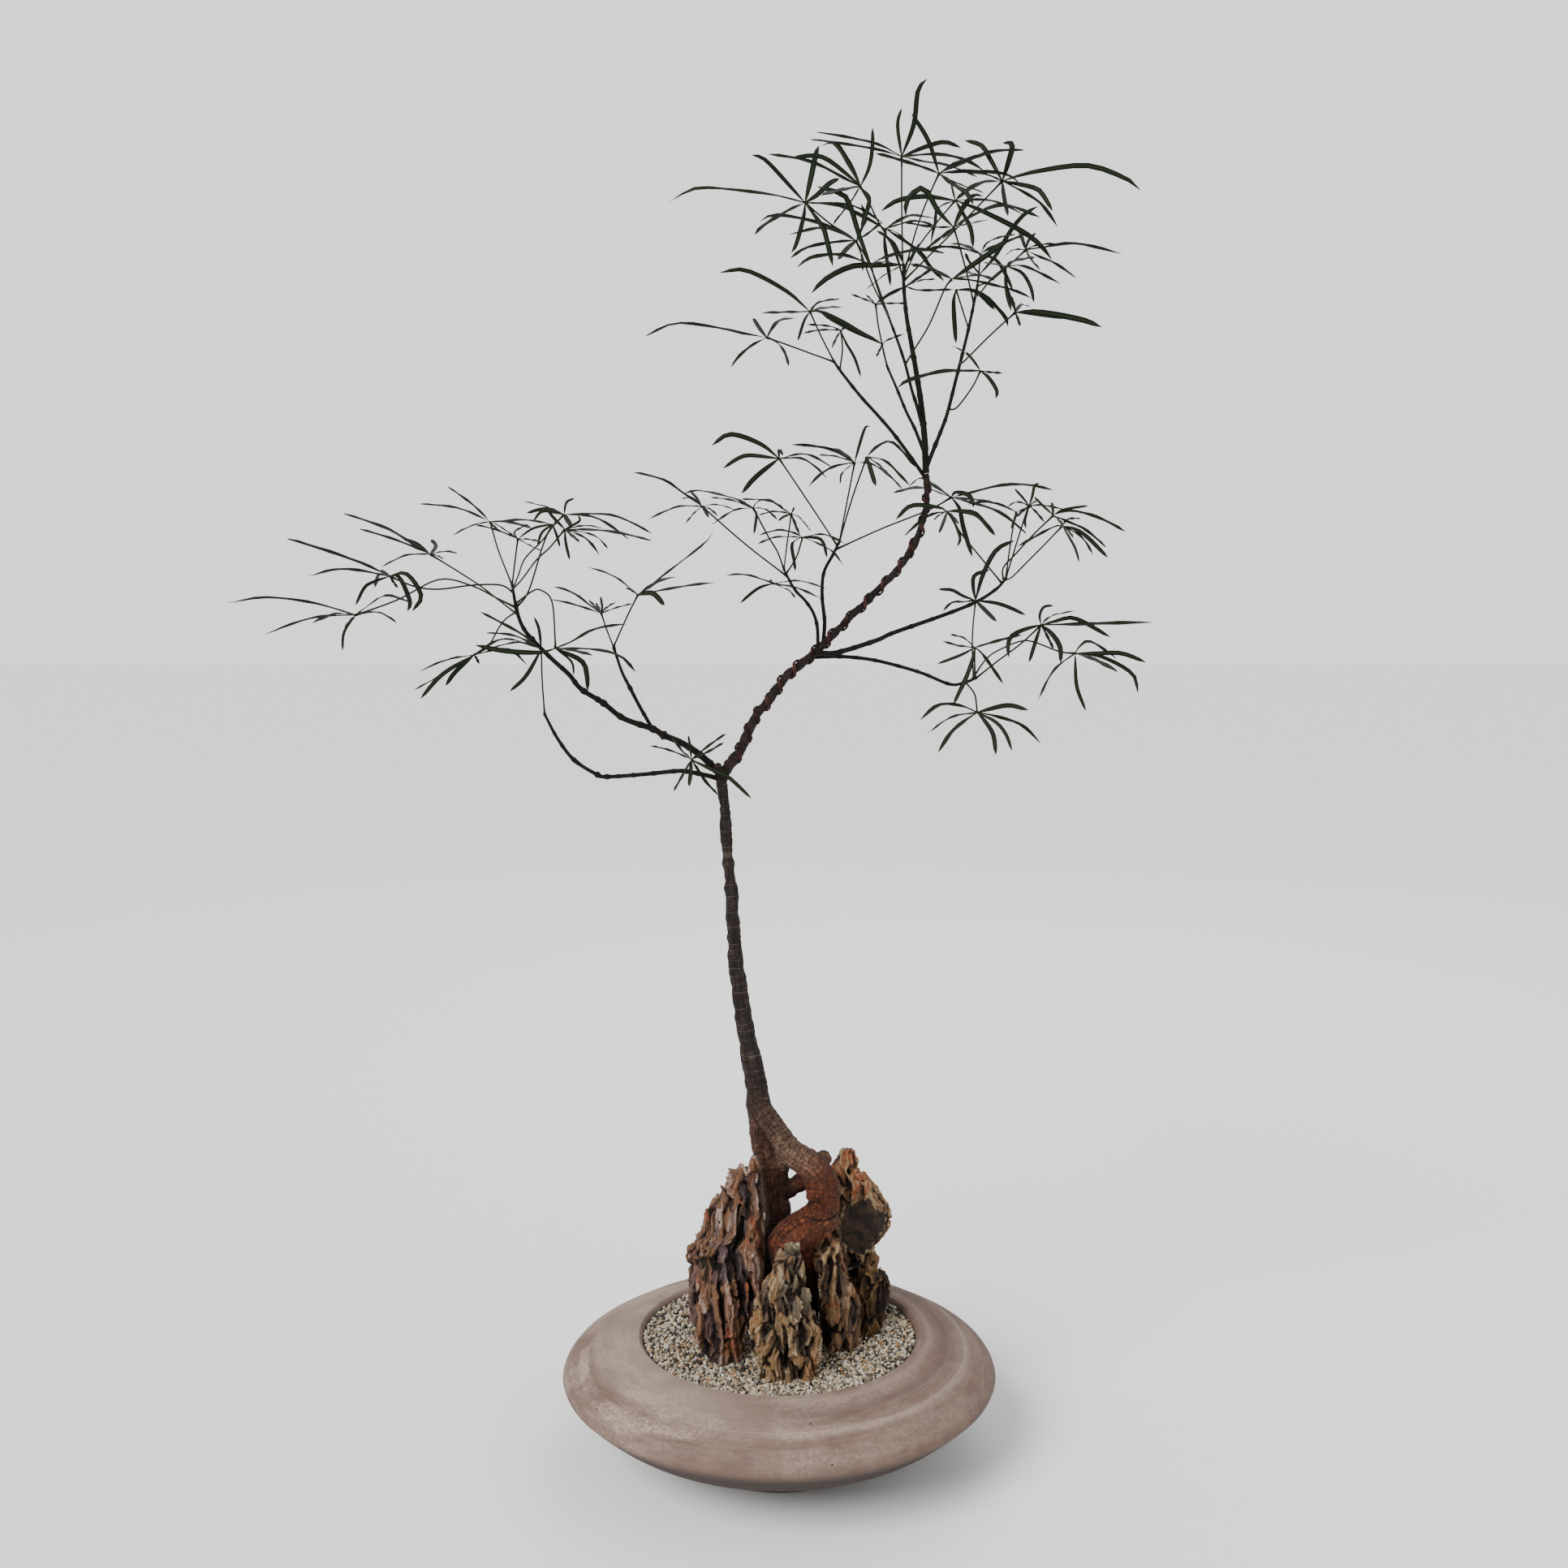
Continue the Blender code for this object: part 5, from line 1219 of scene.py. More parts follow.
# %% Wood as it was read
TRUNK = (
    "1141,583,0,4.4 1142,597,0,4.5 1141,621,0,4.7 1135,650,1,4.9 1125,672,2,5 1111,695,3,5.1 "
    "1084,725,4,5.3 1042,766,6,5.7 1007,801,6,6.6 982,822,5,6.6 965,838,4,6.5 947,864,3,6.6 931,883,2,6.8 "
    "911,926,1,7.2 890,957,0,8.4 892,985,0,7.4 897,1060,0,7.9 901,1099,0,9.2 907,1185,0,10.9 "
    "916,1250,0,12.6 925,1300,0,14.3 932,1340,0,16 936,1372,1,17.8 937,1393,3,16.8 942,1416,5,16.4 "
    "953,1443,8,17.2 955,1469,10,15.4 960,1489,12,17.5 958,1510,13,16.5 952,1535,14,15 949,1575,15,13.5")
RIGHT_ROOT = (
    "936,1362,-1,12 947,1379,-5,14.5 958,1395,-9,15 976,1420,-12,16.8 1004,1439,-11,19.5 1017,1459,-10,22 "
    "1018,1482,-12,23 1008,1503,-17,24.5 985,1516,-22,23 968,1532,-25,22 968,1552,-26,19 974,1590,-26,15")
FORK_STUB = "890,957,0,6 886,948,-4,5.5 883,942,-6,4"
SHADED_ROOT = "984,1514,-14,17 993,1545,-10,15.5 997,1580,-6,14.5 998,1612,-5,13.5"
THICK_STUB = "1001,1441,-8,10 1009,1433,-4,12 1016,1427,-1,13.5 1020,1425,1,10.5"
THICK_STRUT = "956,1476,11,12 970,1467,9,12.5 984,1458,3,13 1001,1448,-5,13.5"
THICK_FORK = "957,1420,8,15 961,1438,9,15 961,1456,10,12"
print("points on the trunk:", len(read_points(TRUNK)))

# %% [markdown]
# The tubes are changed a little before they are joined. They get rings and knobs, the trunk's own leg
# swells below the fork of the roots, the clasping root is pinched where it folds, and roots run down into
# the grit.

# %% Shape the roots
ROOT_END = 0.0720
LEG_TOP = 0.235
LEG_FADE = 0.03
LEG_SWELL = 0.14
LEG_SHIFT = 0.0012
ROOT_SWELL = 1.12
ROOT_PINCH = 0.16
PINCH_REACH = 0.0040
ROOT_FOLD = (1014, 1482, -12)
ROOT_BEND = level(1464, -8)
BEND_REACH = 0.017
BEND_IN = 0.0028
BEND_RIGHT_OF = 0.006
FOLD_LINES = ("995,1480 1002,1476 1009,1476", "995,1489 1005,1492 1018,1494 1028,1492 1036,1488")
FOLD_DEPTH = 0.0013
FOLD_HALF = 0.0010


def knobbly(run, swelling, spacing, seed):
    """Add rings and knobs to a run's radii, about every spacing metres."""
    path, radii = run
    luck = np.random.default_rng(seed)
    far = np.array(distances(path))
    thick = np.array(radii)
    knots = np.cumsum(luck.uniform(0.6, 1.4, int(far[-1] / spacing) + 1) * spacing)
    for knot in knots:
        tall = luck.uniform(0.35, 1.0) * swelling
        thick = thick * (1.0 + tall * np.exp(-((far - knot) / luck.uniform(0.0009, 0.0020)) ** 2))
    return path, [float(r) for r in thick]


def swollen_leg(run):
    """The trunk's own leg is a little thicker below the fork of the roots, towards the left stone."""
    path, radii = run
    swell = [float(np.clip((LEG_TOP - p.z) / LEG_FADE, 0.0, 1.0)) for p in path]
    return ([p - Vector((LEG_SHIFT * s, 0.0, 0.0)) for p, s in zip(path, swell)],
            [r * (1.0 + LEG_SWELL * s) for r, s in zip(radii, swell)])


def pinched(run):
    """Swell the clasping root a little, pinch it where it folds, and draw its bend in towards the trunk."""
    path, radii = run
    fold = at(*ROOT_FOLD)
    drawn = [p - Vector((BEND_IN * math.exp(-((p.z - ROOT_BEND) / BEND_REACH) ** 2) * (p.x > BEND_RIGHT_OF),
                         0.0, 0.0)) for p in path]
    return drawn, [r * ROOT_SWELL * (1.0 - ROOT_PINCH * math.exp(-((p - fold).length / PINCH_REACH) ** 2))
                   for p, r in zip(path, radii)]


def with_foot(run):
    """Carry a root straight down into the grit."""
    path, radii = run
    return path + [Vector((path[-1].x, path[-1].y, ROOT_END))], radii + [radii[-1]]


def fold_depth(spots):
    """How deep the skin of the root sinks at each spot, for the folds where it bends sharply."""
    depth = np.zeros(len(spots))
    for line in FOLD_LINES:
        for point in resample([at(px, py, ROOT_FOLD[2]) for px, py in read_points(line)], 40):
            far = np.hypot(spots[:, 0] - point.x, spots[:, 2] - point.z)
            depth = np.maximum(depth, FOLD_DEPTH * np.exp(-(far / FOLD_HALF) ** 2))
    return depth


print("root helpers ready")

# %% [markdown]
# One skin over all runs makes it a single piece of wood. The creases follow the straightened coordinates,
# and each corner keeps how deep its crease is, so that painted shade can darken the bark there.

# %% Grow the trunk and roots
WOOD_STEP = 0.0012
WOOD_SKIN = 0.00084
DEEPEST_CREASE = 0.0012
wood_runs = [with_foot(swollen_leg(knobbly(wood_run(TRUNK, WOOD_STEP), 0.034, 0.0120, 1))),
             with_foot(pinched(knobbly(wood_run(RIGHT_ROOT, WOOD_STEP), 0.045, 0.0060, 2))),
             with_foot(wood_run(SHADED_ROOT, WOOD_STEP))]
wood_runs += [wood_run(text, WOOD_STEP) for text in (THICK_STRUT, THICK_STUB, THICK_FORK)]
wood_runs.append(knobbly(wood_run(FORK_STUB, WOOD_STEP), 0.10, 0.004, 5))
trunk = join("tree_wood", [tubes("wood_part", [run], roundness=10) for run in wood_runs])
even_skin(trunk, WOOD_SKIN)
grain = keep_grain(trunk, wood_runs)
held = places(trunk)
out = 0.0008 * wander(held, 0.0060, 1)[:, 0] + 0.0004 * wander(held, 0.0025, 2)[:, 0]
ridge = np.abs(wander(grain * (1.0, 1.0, 0.16), 0.0016, 3)[:, 0])
across = np.abs(wander(grain * (0.3, 0.3, 1.0), 0.0016, 4)[:, 0])
crease = 0.0004 * np.exp(-ridge / 0.08) + 0.0003 * np.exp(-across / 0.07) + fold_depth(held)
put_places(trunk, held + normals_of(trunk) * (out - crease)[:, None])
put_attributes(trunk, groove=np.clip(1.0 - crease / DEEPEST_CREASE, 0, 1))
finish_piece(trunk, "bark", "tree")

# %% [markdown]
# Bark has fibres and cracks that run along the stem, and fine wrinkles across it. Twigs share this, so it
# is one more group that reads the straightened coordinates.

# %% Shared group: bark
BARK, asked, given = new_group("Bark", dict(Grain=None, Crack=300.0, Wrinkle=500.0),
                               ("Cracks", "Wrinkles", "Height"))
cracks = span(BARK, stretched(BARK, asked["Grain"], (1.0, 1.0, 0.10), asked["Crack"], 6.0, 0.7, 0.5),
              0.34, 0.56, 1.0, 0.0)
wrinkles = span(BARK, stretched(BARK, asked["Grain"], (0.22, 0.22, 1.0), asked["Wrinkle"], 4.0, 0.6, 0.8),
                0.38, 0.56, 1.0, 0.0)
plug_all(BARK, given, Cracks=cracks, Wrinkles=wrinkles,
         Height=calc(BARK, "SUBTRACT", times(BARK, cracks, -1.0), times(BARK, wrinkles, 0.6)))
print("bark group nodes:", len(BARK.nodes))

# %% [markdown]
# On the trunk the roots are redder than the leg beside them. Each share below is a soft box: a range of
# heights, of places across, or of depths. The top of the root is painted paler, as painted highlight. The
# knuckle of the old stub is a pale ball, and the strut between the legs lies in painted shade.

# %% Trunk bark: the roots
bark, tree, shader = new_finish("trunk_bark")
place = object_place(tree)
x, y, z = parts(tree, place)
grain = stored(tree, "grain", "Vector")
wood = place_group(tree, BARK, Grain=grain, Crack=620.0, Wrinkle=860.0)
patches = place_group(tree, BLOTCHES, Place=place, Size=60.0, Sharpness=0.3)
leg_wood = blend(tree, patches["Large"], tone(126, 91, 74), tone(164, 123, 102))
bend_share = times(tree, span(tree, z, level(1490), level(1462), 0.0, 0.85),
                   span(tree, x, at(994, 1460).x, at(1010, 1460).x),
                   span(tree, z, level(1456), level(1430), 1.0, 0.3))
root_wood = layered(tree, tone(132, 80, 54), (patches["Large"], tone(174, 108, 74)),
                    (bend_share, tone(124, 68, 36)))
bulge = times(tree, span(tree, z, level(1486), level(1474), 1.0, 0.0),
              span(tree, y, -0.014, -0.005, 1.0, 0.0))
# The top of the root is painted paler where light falls: painted highlight.
painted_highlight_top = times(tree, span(tree, z, level(1450), level(1424), 0.0, 0.75),
                   span(tree, x, at(948, 1420).x, at(960, 1420).x),
                   span(tree, x, at(984, 1420).x, at(1024, 1420).x, 1.0, 0.0))
strut_shade = times(tree, span(tree, y, -0.012, 0.000, 0.0, 0.75),
                    span(tree, x, at(962, 1470).x, at(970, 1470).x))
from_stub = add(tree, "VectorMath", operation="DISTANCE", out="Value",
                sockets=[(0, place), (1, at(1017, 1427, -1))])
low_wood = layered(tree, leg_wood, (calc(tree, "MAXIMUM", bulge, span(tree, x, 0.000, 0.014)), root_wood),
                   (painted_highlight_top, tone(208, 174, 150)), (strut_shade, tone(52, 30, 24)),
                   (span(tree, from_stub, 0.0045, 0.0085, 0.7, 0.0), tone(214, 172, 140)))
print("wood of the roots:", len(tree.nodes), "nodes")

# %% [markdown]
# Higher up the bark is greyer and darker. Cracks and wrinkles darken it, worn spots and the rings that
# old leaves left are paler, deep creases get painted shade, and close to the grit the roots and the leg
# are painted dark as shadow.

# %% Trunk bark: the whole stem
high_wood = blend(tree, patches["Large"], tone(45, 39, 36), tone(70, 62, 57))
worn_share = times(tree, patches["Small"], span(tree, z, 0.45, 0.52, 0.22, 0.04))
crack_share = times(tree, wood["Cracks"], span(tree, z, 0.20, 0.30, 0.42, 0.8))
off_ring = off(tree, stretched(tree, grain, (0.06, 0.06, 1.0), 85.0, 1.0, 0.5), 0.5)
rings = times(tree, span(tree, off_ring, 0.005, 0.016, 0.38, 0.0), span(tree, z, 0.22, 0.30),
              span(tree, z, 0.46, 0.50, 1.0, 0.2))
# Near the grit the leg and roots are painted dark: painted shadow.
shaded_leg_foot = times(tree, span(tree, z, level(1538), level(1492), 0.88, 0.0),
                 span(tree, x, at(950, 1500).x, at(958, 1500).x, 1.0, 0.0))
painted_foot_shade = calc(tree, "MAXIMUM", shaded_leg_foot, span(tree, z, level(1562), level(1536), 0.80, 0.0))
# Deep creases are painted dark: painted shade.
colour = layered(
    tree, low_wood, (span(tree, z, 0.20, 0.29), high_wood),
    (span(tree, z, 0.485, 0.51, 0.0, 0.9), tone(60, 44, 39)),
    (span(tree, z, 0.56, 0.62, 0.0, 0.9), tone(38, 31, 29)), (worn_share, tone(128, 112, 100)),
    (times(tree, wood["Wrinkles"], 0.70), tone(46, 28, 22)), (crack_share, tone(34, 25, 22)),
    (rings, tone(150, 132, 120)), (span(tree, stored(tree, "groove"), 0.1, 0.6, 0.75, 0.0), tone(28, 19, 16)),
    (painted_foot_shade, tone(28, 20, 17)))
coat(tree, shader, colour, 0.68, 1.0, 0.0009, wood["Height"])
wear(bark, trunk)
print("bark nodes:", len(tree.nodes))

# %% [markdown]
# A training wire bends the young branch. It is a pair of thin copper wires laid side by side and wound in
# one go. The places where it crosses the front of the branch were read one by one, and the turn between
# them is shared out evenly, so each coil sits where the real one does. The pair is two tubes along
# shifted paths.

# %% Wind the training wire
WIRE_CROSSINGS = ("907,927 916,900 930,879 944,863 961,844 978,825 1004,809 1022,788 1042,764 1065,742 "
                  "1086,721 1108,697 1121,675 1135,648 1140,618 1141,597")
WIRED_FROM = (900, 943)
WIRED_TO = (1142, 592)
STRAND_RADIUS = 0.00062
STRAND_SHIFT = STRAND_RADIUS * 1.25
STRAND_CLEAR = STRAND_RADIUS * 1.15
WIRE_POINTS = 640


def wire_course():
    """Points of the wired branch, its radii and the turn at each of them."""
    path, radii = wood_run(TRUNK, 0.001)
    reached = distances(path)

    def along_at(px, py):
        target = at(px, py)
        return reached[min(range(len(path)), key=lambda i: (path[i] - target).length)]

    knots = [along_at(px, py) for px, py in read_points(WIRE_CROSSINGS)]
    spots = np.linspace(along_at(*WIRED_FROM), along_at(*WIRED_TO), WIRE_POINTS)
    turn = np.interp(spots, knots[::-1], np.arange(len(knots))[::-1])
    before = spots - knots[0]
    turn -= np.where(before > 0, before / abs(knots[1] - knots[0]), 0.0)
    branch = [Vector([float(np.interp(spot, reached, [p[axis] for p in path])) for axis in range(3)])
              for spot in spots]
    return branch, np.interp(spots, reached, radii), turn


def wire_strand(course, shift):
    """One strand's path, shifted along the branch by a distance in metres."""
    points = []
    for i, (point, radius, turn) in enumerate(zip(*course)):
        along = direction(course[0], i)
        front = across_from(EYE - point, along)
        reach = float(radius) + STRAND_CLEAR
        angle = 2 * math.pi * float(turn)
        points.append(point + along * shift + front * (reach * math.cos(angle))
                      - along.cross(front) * (reach * math.sin(angle)))
    return points, [STRAND_RADIUS] * len(points)


course = wire_course()
wire = tubes("training_wire_pair", [wire_strand(course, shift) for shift in (-STRAND_SHIFT, STRAND_SHIFT)],
             roundness=3)
finish_piece(wire, "copper", "training_wire")

# %% [markdown]
# Annealed copper turns maroon brown, and shines pink where it was rubbed. It is a metal with a mottled
# colour and an uneven gloss. The brown oxide is duller than the bright metal, so one mask drives both.

# %% Annealed copper
copper, tree, shader = new_finish("annealed_copper")
place = object_place(tree)
rubbed = place_group(tree, BLOTCHES, Place=place, Size=160.0, Sharpness=0.5)
fine = place_group(tree, RELIEF, Place=place, Size=1800.0)
colour = layered(tree, tone(44, 29, 28), (rubbed["Large"], tone(104, 70, 66)),
                 (times(tree, rubbed["Small"], 0.4), tone(48, 32, 30)))
coat(tree, shader, colour, span(tree, rubbed["Large"], 0.0, 1.0, 0.52, 0.34), 0.15, 0.0003, fine["Height"])
shader.inputs["Metallic"].default_value = 0.45
wear(copper, wire)
print("copper nodes:", len(tree.nodes))

# %% [markdown]
# Twigs and leaves were read one by one too. A twig is a list of points px,py,depth,thickness. A leaf is
# one line: the hub where its leaflets meet with its depth, its stalk's points from there to the twig, and
# each leaflet's rib from the hub outwards. A star marks a leaflet that is seen face on.

# %% Twigs as they were read
TWIGS = {
    "leader":
        "1141,583,0,5 1140,560,0,4.8 1139,538,0,4.6 1135,498,0,4.2 1129,459,0,3.8 1122,419,0,3.4 "
        "1117,390,0,3 1114,360,0,2.6 1113,340,0,2.2",
    "twig_a": "1138,556,0,2.6 1127,528,8,2.4 1117,508,11,2.2 1105,479,15,2 1092,449,18,1.6",
    "twig_b":
        "1135,520,0,2.6 1129,498,-7,2.4 1123,479,-9,2.2 1116,451,-11,2.1 1107,423,-12,2 1094,388,-13,1.6",
    "twig_c":
        "1141,590,0,2.8 1120,560,-6,2.6 1099,532,-10,2.5 1080,510,-13,2.4 1060,488,-16,2.3 "
        "1037,459,-19,2.1 1028,446,-20,1.8",
    "twig_d":
        "1142,575,0,3.2 1151,552,-4,3 1159,532,-7,2.8 1167,510,-9,2.7 1179,463,-12,2.5 1192,411,-15,2.3 "
        "1202,364,-17,2 1206,340,-18,1.6",
    "left_branch":
        "889,956,0,5.4 865,932,-2,4.6 841,916,-4,4.4 818,906,-6,4.2 804,898,-7,4 768,885,-10,3.6 "
        "743,866,-12,3.5 716,849,-14,3.3 701,831,-15,3.2 680,812,-16,3 659,791,-17,2.8 645,774,-18,2.7 "
        "637,753,-19,2.5 631,721,-20,1.8",
    "left_side_twig": "804,898,-7,2.6 789,872,1,2.5 776,847,8,2.3 766,827,14,2.1 756,797,20,1.7",
    "left_low_twig":
        "887,960,0,3.2 873,956,-5,3 849,951,-6,2.9 834,950,-6,2.8 794,954,2,2.6 749,957,8,2.5 "
        "735,954,10,2.4 707,936,15,2.3 687,910,20,2.1 671,880,25,1.7",
    "fork_leaf": "889,962,0,2 885,957,-9,1.6 881,951,-11,1.2",
    "middle_left_twig":
        "1008,799,5,2.6 1007,773,2,2.5 1002,755,-1,2.4 992,740,-4,2.2 979,726,-7,2.1 966,702,-10,1.6",
    "middle_right_twig":
        "1014,795,10,3 1016,766,12,2.8 1013,735,8,2.6 1015,706,9,2.4 1026,684,10,2.2 1034,668,10,1.8",
    "right_upper_twig":
        "1006,804,2,4 1031,804,-3,3.8 1080,789,-3,3.5 1100,780,-5,3.3 1165,757,-10,2.9 1202,742,-13,2.6 "
        "1226,727,-15,2.4 1239,714,-16,1.8",
    "right_lower_twig":
        "998,810,6,3 1037,809,16,2.9 1080,814,12,2.7 1132,828,6,2.5 1170,843,0,2.4 1188,841,-4,2.2 "
        "1202,836,-8,1.7",
}
print("twigs:", len(TWIGS))

# %% [markdown]
# The leaves are listed under the twig that carries them. A line that begins with two spaces goes on with
# the leaf above it.

